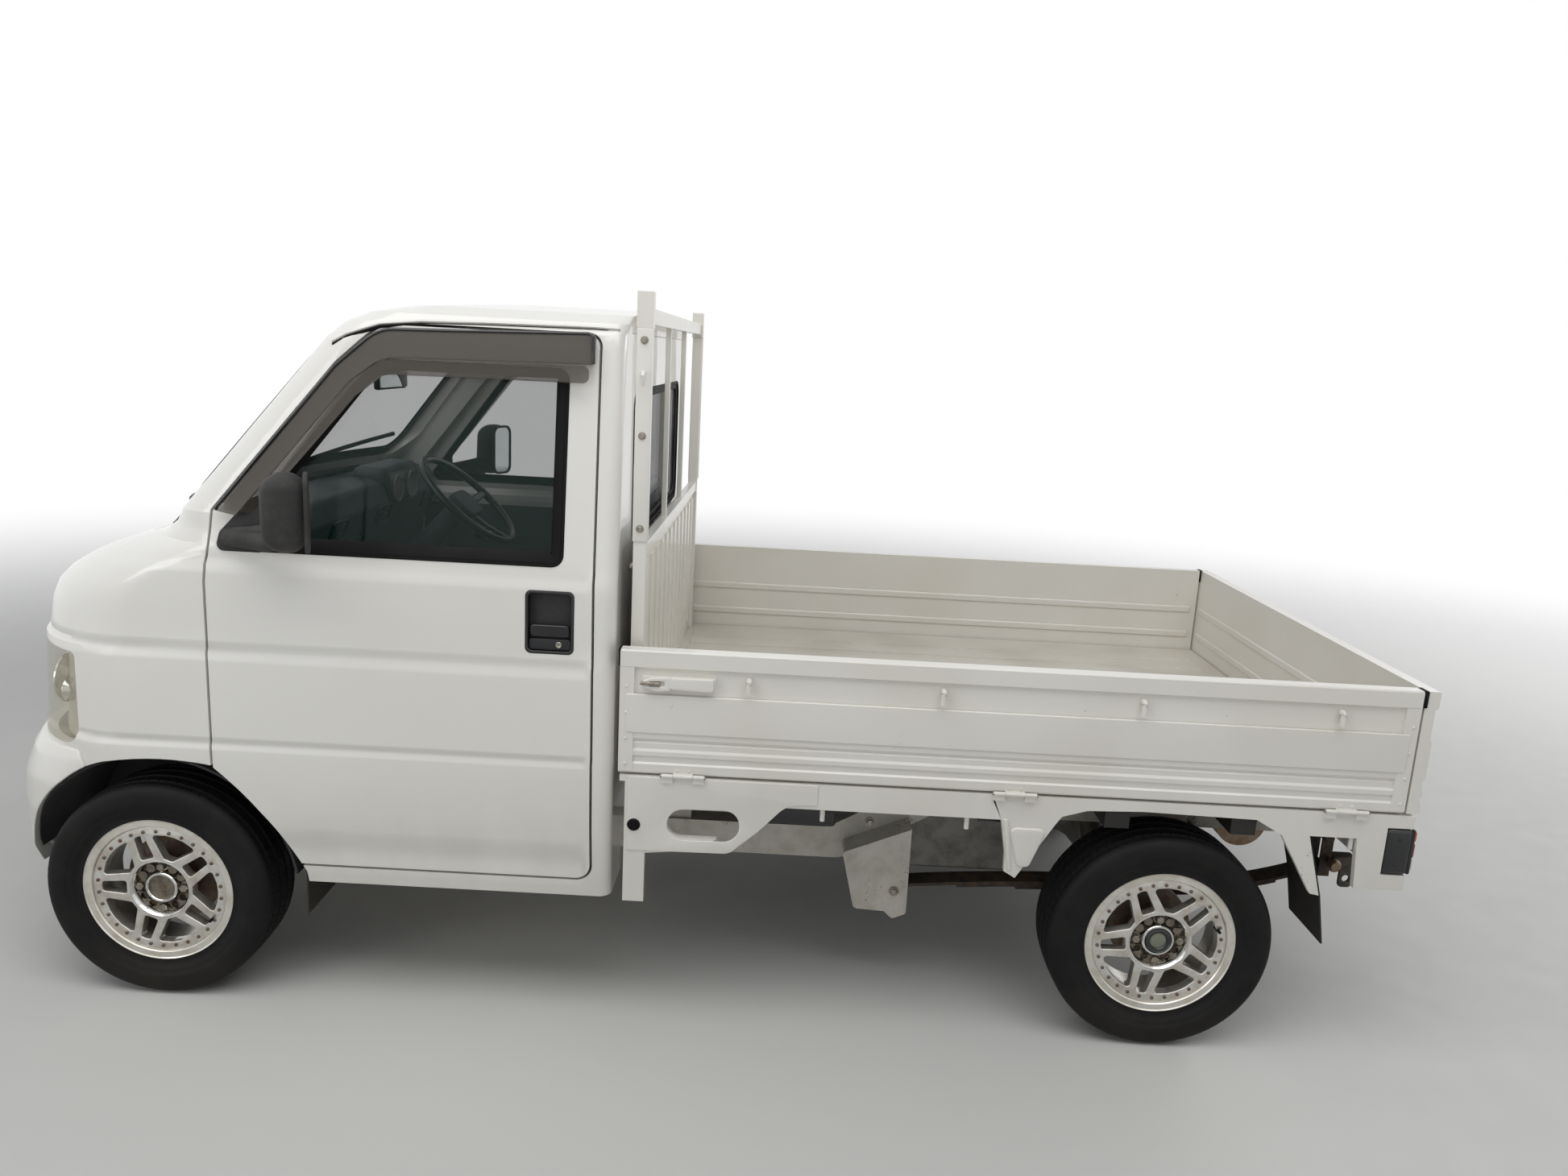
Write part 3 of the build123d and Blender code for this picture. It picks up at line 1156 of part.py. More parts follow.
# Wheels: tyre and rim sections as radius and distance outwards from the wheel's middle plane
TYRE_SECTION = (
    (BEAD_R + SEAT_GAP, 60),
    (TYRE_R - 20, TYRE_W / 2),
    (TYRE_R, TYRE_W / 2 - 18),
    (TYRE_R, 18 - TYRE_W / 2),
    (TYRE_R - 20, -TYRE_W / 2),
    (BEAD_R + SEAT_GAP, -60),
)
RIM_SECTION = (
    (RIM_FLANGE_R, RIM_W / 2),
    (RIM_FLANGE_R, RIM_W / 2 - 6),
    (BEAD_R, RIM_W / 2 - 12),
    (BEAD_R, RIM_W / 2 - 26),
    (WELL_R, RIM_W / 2 - 38),
    (WELL_R, -RIM_W / 2 + 42),
    (BEAD_R, -RIM_W / 2 + 28),
    (BEAD_R, -RIM_W / 2 + 12),
    (RIM_FLANGE_R, -RIM_W / 2 + 6),
    (RIM_FLANGE_R, -RIM_W / 2),
    (RIM_FLANGE_R - RIM_WALL, -RIM_W / 2),
    (BEAD_R - RIM_WALL, -RIM_W / 2 + 14),
    (BEAD_R - RIM_WALL, -RIM_W / 2 + 28),
    (WELL_R - RIM_WALL, -RIM_W / 2 + 42),
    (WELL_R - RIM_WALL, RIM_FACE - SPOKE_T),
    (WINDOW_R, RIM_FACE - SPOKE_T),
    (WINDOW_R, RIM_FACE),
    (LIP_R, RIM_FACE),
    (LIP_R + 2, RIM_W / 2 - 2),
)


def spoke_bar(side):
    """One bar of a split spoke, from the hub's ring to the rim, as the corners of a tapered strip."""
    start = Vector(SPOKE_INNER_R, 0).rotate(Axis.Z, side * SPOKE_INNER_TURN)
    end = Vector(SPOKE_OUTER_R, 0).rotate(Axis.Z, side * SPOKE_OUTER_TURN)
    across = (end - start).normalized().rotate(Axis.Z, 90)
    wide = across * (SPOKE_INNER_W / 2)
    narrow = across * (SPOKE_OUTER_W / 2)
    return [(corner.X, corner.Y) for corner in (start - wide, end - narrow, end + narrow, start + wide)]


SPOKE_BARS = (spoke_bar(1), spoke_bar(-1))
WHEELS = (
    ("fl", FRONT_AXLE, 1),
    ("fr", FRONT_AXLE, -1),
    ("rl", REAR_AXLE, 1),
    ("rr", REAR_AXLE, -1),
)
for wheel_name, wheel_x, side_sign in WHEELS:
    wheel_plane = Plane(origin=(wheel_x, side_sign * WHEEL_Y, AXLE_Z), x_dir=(1, 0, 0), z_dir=(0, side_sign, 0))
    section_plane = Plane(origin=wheel_plane.origin, x_dir=(1, 0, 0), z_dir=(0, 0, side_sign))
    spin = Axis(wheel_plane.origin, (0, side_sign, 0))
    with BuildPart() as tyre:
        with BuildSketch(section_plane):
            with BuildLine():
                Polyline(*TYRE_SECTION, close=True)
            make_face()
        revolve(axis=spin)
    tyre.part.label = f"tyre_{wheel_name}"
    export_step(tyre.part, f"parts/tyre_{wheel_name}.step")

    with BuildPart() as rim:
        with BuildSketch(section_plane):
            with BuildLine():
                Polyline(*RIM_SECTION, close=True)
            make_face()
        revolve(axis=spin)
        with BuildSketch(wheel_plane.offset(HUB_BACK)):
            Circle(HUB_R)
        extrude(amount=RIM_FACE - DISH_DEEP - HUB_BACK)
        with BuildSketch(wheel_plane.offset(RIM_FACE - DISH_DEEP - HUB_PLATE)):
            Circle(DISH_R + DISH_WALL / 2)
        extrude(amount=HUB_PLATE)
        with BuildSketch(wheel_plane.offset(RIM_FACE - SPOKE_T)):
            Circle(DISH_R + DISH_WALL)
            with PolarLocations(0, SPOKE_PAIRS, start_angle=-side_sign * (90 + SPOKE_TURN)):
                Polygon(*SPOKE_BARS[0], align=None)
                Polygon(*SPOKE_BARS[1], align=None)
            Circle(DISH_R, mode=Mode.SUBTRACT)
        extrude(amount=SPOKE_T)
        with BuildSketch(wheel_plane):
            Circle(STUB_R + RUN_GAP)
        extrude(amount=RIM_W, mode=Mode.SUBTRACT)
    rim.part.label = f"rim_{wheel_name}"
    export_step(rim.part, f"parts/rim_{wheel_name}.step")

    with BuildPart() as brake:
        with BuildSketch(wheel_plane.offset(HUB_BACK - SEAT_GAP)):
            Circle(HUB_R)
            Circle(STUB_R + RUN_GAP, mode=Mode.SUBTRACT)
        extrude(amount=-HAT_T)
        with BuildSketch(wheel_plane.offset(HUB_BACK - SEAT_GAP - HAT_T)):
            Circle(BRAKE_R if wheel_x == FRONT_AXLE else DRUM_R)
            Circle(STUB_R + RUN_GAP, mode=Mode.SUBTRACT)
        extrude(amount=BRAKE_T if wheel_x == FRONT_AXLE else -DRUM_T)
    brake.part.label = f"brake_{wheel_name}"
    export_step(brake.part, f"parts/brake_{wheel_name}.step")
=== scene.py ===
"""Kei truck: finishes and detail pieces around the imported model, with its stage, lights and camera."""

import json
import logging
import math
from collections.abc import Callable, Iterable, Sequence
from dataclasses import dataclass, field
from enum import Enum

import bmesh
import bpy
from mathutils import Matrix, Vector
from mathutils.bvhtree import BVHTree

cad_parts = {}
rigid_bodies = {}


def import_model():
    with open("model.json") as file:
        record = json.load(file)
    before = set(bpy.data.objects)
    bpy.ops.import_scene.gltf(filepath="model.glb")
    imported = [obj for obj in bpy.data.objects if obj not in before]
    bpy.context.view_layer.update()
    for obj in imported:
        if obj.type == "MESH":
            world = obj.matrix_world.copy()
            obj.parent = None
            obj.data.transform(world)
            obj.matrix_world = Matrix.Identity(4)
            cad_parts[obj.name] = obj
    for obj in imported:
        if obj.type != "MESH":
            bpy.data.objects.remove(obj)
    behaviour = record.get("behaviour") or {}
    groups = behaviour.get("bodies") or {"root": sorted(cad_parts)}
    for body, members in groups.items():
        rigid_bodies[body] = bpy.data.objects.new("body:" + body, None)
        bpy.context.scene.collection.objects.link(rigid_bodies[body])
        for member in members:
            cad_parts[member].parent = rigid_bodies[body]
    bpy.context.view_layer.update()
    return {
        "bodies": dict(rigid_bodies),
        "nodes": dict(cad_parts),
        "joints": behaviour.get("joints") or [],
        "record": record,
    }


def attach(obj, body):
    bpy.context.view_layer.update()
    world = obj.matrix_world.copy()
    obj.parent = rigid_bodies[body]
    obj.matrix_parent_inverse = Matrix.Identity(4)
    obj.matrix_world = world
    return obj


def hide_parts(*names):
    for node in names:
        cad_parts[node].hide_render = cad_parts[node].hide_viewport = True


LOG = logging.getLogger("kei_truck")
MM = 0.001
Point2 = tuple[float, float]
Point3 = tuple[float, float, float]
Piece = bpy.types.Object
Tree = bpy.types.NodeTree
Node = bpy.types.Node
Socket = bpy.types.NodeSocket

# Main places, in millimetres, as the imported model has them
FRONT_AXLE = 1287.5
REAR_AXLE = -1132.5
WHEEL_Y = 645.0
AXLE_Z = 272.5


class Side(Enum):
    """The two sides of the truck, with the sign of their Y."""

    LEFT = 1
    RIGHT = -1

    @property
    def word(self) -> str:
        """The side's name in node names."""
        return self.name.lower()


def srgb(hex_colour: str, alpha: float = 1.0) -> tuple[float, float, float, float]:
    """Turns an sRGB hex colour into the linear values that a shader takes.

    Args:
        hex_colour: A colour such as "#a0b0c0".
        alpha: Its opacity.

    Returns:
        Linear red, green and blue, and the opacity.
    """
    channels = [int(hex_colour[start : start + 2], 16) / 255 for start in (1, 3, 5)]
    linear = [c / 12.92 if c <= 0.04045 else ((c + 0.055) / 1.055) ** 2.4 for c in channels]
    return (linear[0], linear[1], linear[2], alpha)


def put(tree: Tree, kind: str, settings: dict | None = None, feeds: dict | None = None) -> Node:
    """Adds one node with its settings, and feeds its inputs.

    Args:
        tree: The node tree that gets it.
        kind: The node's type name.
        settings: Its properties by name.
        feeds: For each input, by name or index, the socket or the plain value that feeds it.

    Returns:
        The new node.
    """
    node = tree.nodes.new(kind)
    for name, value in (settings or {}).items():
        setattr(node, name, value)
    for key, value in (feeds or {}).items():
        socket = node.inputs[key]
        if isinstance(value, Socket):
            tree.links.new(value, socket)
        else:
            socket.default_value = value
    return node


# The spans of the noise that turn into mottle and into the darker tone low down (road grime, and painted shade under
# the bed floor), the size under which a mottle is drawn finely, and how far a chip covers the paint
MOTTLE_SPAN = (0.38, 0.72)
DIRT_AND_SHADE_SPAN = (0.3, 0.75)
FINE_MOTTLE_MM = 150
CHIP_COVER = 0.85


class Grain(Enum):
    """How a surface's fine relief looks."""

    NONE = "none"
    ORANGE_PEEL = "orange peel"
    LEATHER = "leather grain"
    CAST = "cast skin"
    WEAVE = "woven"
    BRUSHED = "brushed"


@dataclass(frozen=True)
class Finish:
    """A surface: its colour and gloss, a mottle, a darker tone low down and its fine relief.

    Sizes are in millimetres. The darker tone is road grime, and painted shade under the bed floor; it lies below its
    given top height and is thickest at its given foot height.
    """

    name: str
    colour: str
    roughness: float = 0.5
    metallic: float = 0.0
    coat: float = 0.0
    coat_roughness: float = 0.05
    ior: float = 1.5
    alpha: float = 1.0
    mottle: str = ""
    mottle_mm: float = 200.0
    mottle_share: float = 0.3
    dirt: str = "#6f6454"
    dirt_share: float = 0.0
    dirt_foot: float = 0.0
    dirt_top: float = 1000.0
    chip: str = ""
    chip_mm: float = 6.0
    chip_share: float = 0.3
    grain: Grain = Grain.NONE
    grain_mm: float = 1.0
    relief: float = 0.1
    # Height, depth and half width of each groove pressed along the sides, and where they end
    pressed: tuple[Point3, ...] = ()
    pressed_from: Point2 = (0.0, 0.0)

    def material(self) -> bpy.types.Material:
        """Builds the material, once for each finish."""
        known = bpy.data.materials.get(self.name)
        if known:
            return known
        made = bpy.data.materials.new(self.name)
        made.use_nodes = True
        tree = made.node_tree
        shader = tree.nodes["Principled BSDF"]
        for socket, value in (
            ("Base Color", srgb(self.colour)),
            ("Roughness", self.roughness),
            ("Metallic", self.metallic),
            ("IOR", self.ior),
            ("Alpha", self.alpha),
            ("Coat Weight", self.coat),
            ("Coat Roughness", self.coat_roughness),
        ):
            shader.inputs[socket].default_value = value
        place = put(tree, "ShaderNodeTexCoord").outputs["Object"]
        colour = self.tint(tree, place)
        if colour:
            tree.links.new(colour, shader.inputs["Base Color"])
        self.gloss(tree, shader, place)
        self.texture(tree, shader, place)
        return made

    def tint(self, tree: Tree, place: Socket) -> Socket | None:
        """Mixes the mottle, the chips and the darker tone low down into the colour: road grime, and painted shade under
        the bed floor.

        Args:
            tree: The material's tree.
            place: The surface's own coordinates.

        Returns:
            The colour, or None where it is even.
        """
        layers: list[tuple[Node, str]] = []
        if self.mottle:
            cloud = put(tree, "ShaderNodeTexNoise", None,
                        {"Vector": place, "Scale": 1 / (self.mottle_mm * MM),
                         "Detail": 5.0 if self.mottle_mm < FINE_MOTTLE_MM else 0.5, "Roughness": 0.62})
            layers.append((put(tree, "ShaderNodeMapRange", {"interpolation_type": "SMOOTHSTEP"},
                               {0: cloud.outputs[0], 1: MOTTLE_SPAN[0], 2: MOTTLE_SPAN[1], 3: 0.0,
                                4: self.mottle_share}), self.mottle))
        if self.chip:
            spots = put(tree, "ShaderNodeTexNoise", None,
                        {"Vector": place, "Scale": 1 / (self.chip_mm * MM), "Detail": 8.0, "Roughness": 0.7})
            zones = put(tree, "ShaderNodeTexNoise", None,
                        {"Vector": place, "Scale": 0.06 / (self.chip_mm * MM), "Detail": 3.0})
            both = put(tree, "ShaderNodeMath", {"operation": "MULTIPLY"}, {0: spots.outputs[0], 1: zones.outputs[0]})
            limit = 0.46 - 0.12 * self.chip_share
            layers.append((put(tree, "ShaderNodeMapRange", None,
                               {0: both.outputs[0], 1: limit, 2: limit + 0.02, 3: 0.0, 4: CHIP_COVER}), self.chip))
        # The darker tone low down: road grime on most finishes, painted shade on the bed floor's underside
        if self.dirt_share:
            height = put(tree, "ShaderNodeSeparateXYZ", None, {0: place}).outputs["Z"]
            fall = put(tree, "ShaderNodeMapRange", None,
                       {0: height, 1: self.dirt_top * MM, 2: self.dirt_foot * MM, 3: 0.0, 4: self.dirt_share})
            run = put(tree, "ShaderNodeMapping", None, {0: place, "Scale": (1.0, 1.0, 0.45)})
            patches = put(tree, "ShaderNodeTexNoise", None,
                          {"Vector": run.outputs[0], "Scale": 9.0, "Detail": 4.0, "Roughness": 0.55})
            cover = put(tree, "ShaderNodeMapRange", None,
                        {0: patches.outputs[0], 1: DIRT_AND_SHADE_SPAN[0], 2: DIRT_AND_SHADE_SPAN[1], 3: 0.25, 4: 1.0})
            layers.append((put(tree, "ShaderNodeMath", {"operation": "MULTIPLY"},
                               {0: fall.outputs[0], 1: cover.outputs[0]}), self.dirt))
        colour: object = srgb(self.colour)
        for share, tone in layers:
            colour = put(tree, "ShaderNodeMix", {"data_type": "RGBA"},
                         {0: share.outputs[0], 6: colour, 7: srgb(tone)}).outputs[2]
        return colour if layers else None

    def gloss(self, tree: Tree, shader: Node, place: Socket) -> None:
        """Varies the roughness a little, as handling and weather do.

        Args:
            tree: The material's tree.
            shader: Its surface shader.
            place: The surface's own coordinates.
        """
        if self.alpha < 1:
            return
        cloud = put(tree, "ShaderNodeTexNoise", None, {"Vector": place, "Scale": 9.0, "Detail": 1.0})
        low = max(self.roughness - 0.05, 0.02)
        span = put(tree, "ShaderNodeMapRange", None,
                   {0: cloud.outputs[0], 1: 0.3, 2: 0.7, 3: low, 4: min(self.roughness + 0.05, 1.0)})
        tree.links.new(span.outputs[0], shader.inputs["Roughness"])

    def grooves(self, tree: Tree, shader: Node, place: Socket) -> None:
        """Shades the grooves that are pressed along the side panels.

        Args:
            tree: The material's tree.
            shader: Its surface shader.
            place: The surface's own coordinates.
        """
        x, y, z = put(tree, "ShaderNodeSeparateXYZ", None, {0: place}).outputs
        least_x, least_y = (value * MM for value in self.pressed_from)
        out = put(tree, "ShaderNodeMath", {"operation": "ABSOLUTE"}, {0: y}).outputs[0]
        total = None
        for height, depth, half in self.pressed:
            off = put(tree, "ShaderNodeMath", {"operation": "SUBTRACT"}, {0: z, 1: height * MM})
            size = put(tree, "ShaderNodeMath", {"operation": "ABSOLUTE"}, {0: off.outputs[0]})
            fall = put(tree, "ShaderNodeMapRange", {"interpolation_type": "SMOOTHSTEP"},
                       {0: size.outputs[0], 1: 0.0, 2: half * MM, 3: -depth * MM, 4: 0.0}).outputs[0]
            total = put(tree, "ShaderNodeMath", {"operation": "ADD"}, {0: total, 1: fall}).outputs[0] if total else fall
        for value, least in ((x, least_x), (out, least_y)):
            share = put(tree, "ShaderNodeMapRange", {"interpolation_type": "SMOOTHSTEP"},
                        {0: value, 1: least, 2: least + 0.02, 3: 0.0, 4: 1.0})
            total = put(tree, "ShaderNodeMath", {"operation": "MULTIPLY"}, {0: total, 1: share.outputs[0]}).outputs[0]
        bump = put(tree, "ShaderNodeBump", None, {"Height": total, "Strength": 1.0, "Distance": 1.0})
        tree.links.new(bump.outputs[0], shader.inputs["Normal"])

    def texture(self, tree: Tree, shader: Node, place: Socket) -> None:
        """Adds the fine relief.

        Args:
            tree: The material's tree.
            shader: Its surface shader.
            place: The surface's own coordinates.
        """
        if self.pressed:
            self.grooves(tree, shader, place)
        if self.grain is Grain.NONE:
            return
        density = 1 / (self.grain_mm * MM)
        if self.grain is Grain.WEAVE:
            height = None
            for axis in "XYZ":
                wave = put(tree, "ShaderNodeTexWave", {"bands_direction": axis},
                           {"Vector": place, "Scale": density / 6}).outputs[1]
                height = (put(tree, "ShaderNodeMath", {"operation": "ADD"}, {0: height, 1: wave}).outputs[0]
                          if height else wave)
        elif self.grain is Grain.LEATHER:
            height = put(tree, "ShaderNodeTexVoronoi", {"feature": "SMOOTH_F1"},
                         {"Vector": place, "Scale": density}).outputs[0]
        else:
            height = put(tree, "ShaderNodeTexNoise", None,
                         {"Vector": place, "Scale": density, "Detail": 3.0}).outputs[0]
        bump = put(tree, "ShaderNodeBump", None,
                   {"Height": height, "Strength": self.relief, "Distance": self.grain_mm * MM})
        tree.links.new(bump.outputs[0], shader.inputs["Normal"])


# Baked alkyd enamel sprayed on pressed steel: an even gloss, with road film low down
BODY_ENAMEL = Finish("white-enamel", "#e6e4de", roughness=0.33, coat=0.7, coat_roughness=0.04, mottle="#dcd8ce",
                     mottle_mm=700, mottle_share=0.3, dirt="#9b917f", dirt_share=0.3, dirt_foot=260, dirt_top=640,
                     pressed=((1090, 3, 26), (884, 5, 26), (662, 4, 17), (402, 8, 62)), pressed_from=(250, 600))
# The same enamel on the load bed, dulled, chipped and lightly rusted where loads rub it
BED_ENAMEL = Finish("worn-white-enamel", "#e4e1d9", roughness=0.36, coat=0.4, coat_roughness=0.12, mottle="#d3cdc0",
                    mottle_mm=260, mottle_share=0.3, dirt="#8f8878", dirt_share=0.2, dirt_foot=380, dirt_top=860,
                    chip="#7a5a41", chip_mm=7, chip_share=0.2)
# The bed floor with its underside: pale paint with random darker patches, near-black below about 620 mm as painted
# shade under the bed
SHADE_PAINTED_UNDERSIDE = Finish("dirty-underside", "#cfcabf", roughness=0.6, mottle="#b3ab9d", mottle_mm=220, mottle_share=0.35,
                   dirt="#1d1b18", dirt_share=3.5, dirt_foot=620, dirt_top=646)
# Satin chassis paint under road dirt: dull, with rust at its chips
CHASSIS_ENAMEL = Finish("chassis-enamel", "#d8d4ca", roughness=0.45, mottle="#a79d8c", mottle_mm=60, mottle_share=0.5,
                        dirt="#6c6152", dirt_share=0.65, dirt_foot=180, dirt_top=620, chip="#6b4a33", chip_mm=9,
                        chip_share=0.5, grain=Grain.CAST, grain_mm=3, relief=0.08)
# Black oxide and thin black paint on forged and rolled steel, dusty and rusted in patches
BLACK_STEEL = Finish("black-steel", "#26241f", roughness=0.6, mottle="#57483a", mottle_mm=30, mottle_share=0.6,
                     dirt="#6a5f50", dirt_share=0.5, dirt_foot=150, dirt_top=560, chip="#6e4227", chip_mm=8,
                     chip_share=0.7, grain=Grain.CAST, grain_mm=2, relief=0.15)
# Rolled spring steel under mill scale and rust
SPRING_STEEL = Finish("spring-steel", "#2b2723", roughness=0.65, metallic=0.3, mottle="#5f4631", mottle_mm=24,
                      mottle_share=0.7, grain=Grain.CAST, grain_mm=2, relief=0.2)
# Sand-cast aluminium: grey, matt, slightly granular
CAST_ALLOY = Finish("cast-aluminium", "#8b8a85", roughness=0.55, metallic=0.8, mottle="#5d5850", mottle_mm=40,
                    mottle_share=0.6, grain=Grain.CAST, grain_mm=1.6, relief=0.2)
# Aluminised sheet of the exhaust, browned by heat
MUFFLER_STEEL = Finish("muffler-steel", "#8c7d6b", roughness=0.5, metallic=0.7, mottle="#6a452a", mottle_mm=50,
                       mottle_share=0.8, grain=Grain.CAST, grain_mm=2, relief=0.1)
# Machined grey iron with a brown film of rust
BRAKE_IRON = Finish("brake-iron", "#6d655c", roughness=0.5, metallic=0.8, mottle="#6a3f22", mottle_mm=14,
                    mottle_share=0.75, grain=Grain.BRUSHED, grain_mm=1.2, relief=0.12)
# Silver-painted cast alloy wheel, with brake dust in its corners
SILVER_ALLOY = Finish("silver-alloy", "#d3d1cb", roughness=0.34, metallic=0.85, coat=0.3, mottle="#9c8e7a",
                      mottle_mm=45, mottle_share=0.55, grain=Grain.ORANGE_PEEL, grain_mm=2, relief=0.03)
# Turned and polished rim lip: a brighter metal with fine turning marks
TURNED_ALLOY = Finish("turned-alloy", "#dcd9d2", roughness=0.34, metallic=0.9, mottle="#b0a591", mottle_mm=60,
                      mottle_share=0.5, grain=Grain.BRUSHED, grain_mm=1.0, relief=0.03)
# Zinc-plated steel of nuts, screws and rivets: a bright grey that turns brown
ZINC_STEEL = Finish("zinc-steel", "#9b968c", roughness=0.35, metallic=1.0, mottle="#5c4c3c", mottle_mm=9,
                    mottle_share=0.6)
# Chrome plate with brake dust in its corners
BRIGHT_CHROME = Finish("bright-chrome", "#d8d8d6", roughness=0.12, metallic=1.0, mottle="#8d8477", mottle_mm=25,
                       mottle_share=0.45)
# Carbon-black rubber, greyed by dust and light
TYRE_RUBBER = Finish("tyre-rubber", "#0b0b0c", roughness=0.66, ior=1.3, mottle="#1d1c1a", mottle_mm=90,
                     mottle_share=0.5, dirt="#4a443b", dirt_share=0.3, dirt_foot=0, dirt_top=160,
                     grain=Grain.CAST, grain_mm=1.5, relief=0.08)
# Extruded rubber of the window seals: deep black and matt. It also draws the painted shadow under the drip rails
SEAL_RUBBER_AND_SHADOW = Finish("seal-rubber", "#070707", roughness=0.6, ior=1.25)
# Injection-moulded polypropylene with a pebbled grain, chalked grey by the sun
WEATHERED_PLASTIC = Finish("weathered-plastic", "#333231", roughness=0.66, ior=1.35, mottle="#4a4847", mottle_mm=60,
                           mottle_share=0.7, grain=Grain.LEATHER, grain_mm=1.6, relief=0.35)
# Dull moulded liner with dried dirt in its grain
LINER_PLASTIC = Finish("liner-plastic", "#1b1c1f", roughness=0.7, mottle="#3a3731", mottle_mm=80, mottle_share=0.5,
                       grain=Grain.CAST, grain_mm=2.5, relief=0.15)
# Smooth black moulding that keeps some of its shine
GLOSS_BLACK = Finish("black-moulding", "#101113", roughness=0.35, coat=0.3, mottle="#1d1e21", mottle_mm=50)
# Grained dashboard moulding in two greys
DASH_PLASTIC = Finish("dash-plastic", "#4a4f52", roughness=0.6, mottle="#414649", mottle_mm=90,
                      grain=Grain.LEATHER, grain_mm=1.5, relief=0.3)
TRIM_PLASTIC = Finish("trim-plastic", "#2a2c2e", roughness=0.6, mottle="#36383a", mottle_mm=70,
                      grain=Grain.LEATHER, grain_mm=1.5, relief=0.3)
# Green-tinted float glass: see-through, a little dark and green inside, with sharp reflections
TINTED_GLASS = Finish("tinted-glass", "#17302a", roughness=0.02, ior=1.45, alpha=0.24)
# Grey-brown cast acrylic: half clear and glossy
SMOKED_ACRYLIC = Finish("smoked-acrylic", "#5b554d", roughness=0.1, ior=1.5, alpha=0.55)
# Polycarbonate lens, yellowed and hazed by the sun
HAZED_LENS = Finish("hazed-lens", "#d6d0bb", roughness=0.12, ior=1.5, alpha=0.34, mottle="#b7ad90", mottle_mm=50,
                    mottle_share=0.6)
# Moulded acrylic lamp lenses in red, amber and clear
RED_LENS = Finish("red-lens", "#8e0f12", roughness=0.12, coat=0.8, mottle="#6a090c", mottle_mm=30)
AMBER_LENS = Finish("amber-lens", "#d2661a", roughness=0.15, coat=0.6, mottle="#b24f10", mottle_mm=30)
CLEAR_LENS = Finish("clear-lens", "#d9d8d0", roughness=0.1, ior=1.7, alpha=0.45)
# Aluminised bowl behind the lens, dulled
LAMP_BOWL = Finish("lamp-bowl", "#c9c5b6", roughness=0.4, metallic=0.3, mottle="#a69e86", mottle_mm=40)
# Silvered back of the mirror glass
MIRROR_SILVER = Finish("mirror-silver", "#dfe3e4", roughness=0.03, metallic=1.0)
# Woven polyester seat cover: matt, its weave drawn as coarse as 3.2 mm so that it shows
SEAT_CLOTH = Finish("seat-cloth", "#55585c", roughness=0.9, mottle="#494c50", mottle_mm=40, mottle_share=0.6,
                    grain=Grain.WEAVE, grain_mm=3.2, relief=0.35)
# Reinforced rubber sheet of the rear flaps, splashed with road dirt
FLAP_RUBBER = Finish("flap-rubber", "#161617", roughness=0.65, ior=1.35, mottle="#262521", mottle_mm=60,
                     mottle_share=0.6, dirt="#6d6455", dirt_share=0.2, dirt_foot=230, dirt_top=500,
                     grain=Grain.CAST, grain_mm=2, relief=0.1)
# Cast alloy of the hub under brake dust
HUB_ALLOY = Finish("dusty-hub-alloy", "#7d766a", roughness=0.42, metallic=0.75, mottle="#4b4238", mottle_mm=18,
                   mottle_share=0.7)
# Painted disc in the rear hub's cap
GUN_GREY = Finish("grey-green-disc", "#7d8272", roughness=0.45, metallic=0.3, mottle="#656a5b", mottle_mm=10)


def linked(name: str, data: bpy.types.ID) -> Piece:
    """Makes an object that holds some data, and links it to the scene."""
    made = bpy.data.objects.new(name, data)
    bpy.context.scene.collection.objects.link(made)
    return made


def mesh_object(name: str, points: Sequence[Sequence[float]], faces: Sequence[Sequence[int]],
                finish: Finish | None = None) -> Piece:
    """Makes an object from points and faces.

    Args:
        name: The piece's name.
        points: Corner points in metres.
        faces: Corner numbers of each face.
        finish: Its surface, where it has one already.

    Returns:
        The object, linked to the scene, with its faces as given.
    """
    mesh = bpy.data.meshes.new(name)
    mesh.from_pydata([tuple(p) for p in points], [], [tuple(f) for f in faces])
    if finish:
        mesh.materials.append(finish.material())
    return linked(name, mesh)


def tidy(piece: Piece, merge: float = 0.00002, smooth: float = 35.0) -> Piece:
    """Merges doubles, points the faces outwards and smooths all but the sharp edges.

    Args:
        piece: The mesh object.
        merge: Points nearer than this, in metres, become one.
        smooth: Edges that turn by less than this, in degrees, are smoothed.

    Returns:
        The same object.
    """
    work = bmesh.new()
    work.from_mesh(piece.data)
    bmesh.ops.remove_doubles(work, verts=work.verts, dist=merge)
    bmesh.ops.recalc_face_normals(work, faces=work.faces)
    limit = math.radians(smooth)
    for face in work.faces:
        face.smooth = True
    for edge in work.edges:
        if len(edge.link_faces) == 2:
            edge.smooth = edge.calc_face_angle(0.0) < limit
    work.to_mesh(piece.data)
    work.free()
    piece.data.update()
    return piece


def applied(piece: Piece) -> Piece:
    """Turns a piece with modifiers, or a curve, into a plain mesh at the origin.

    Args:
        piece: The object to bake.

    Returns:
        The object that holds the plain mesh.
    """
    bpy.context.view_layer.update()
    graph = bpy.context.evaluated_depsgraph_get()
    mesh = bpy.data.meshes.new_from_object(piece.evaluated_get(graph), depsgraph=graph)
    mesh.transform(piece.matrix_world)
    name = piece.name
    bpy.data.objects.remove(piece)
    mesh.name = name
    return linked(name, mesh)


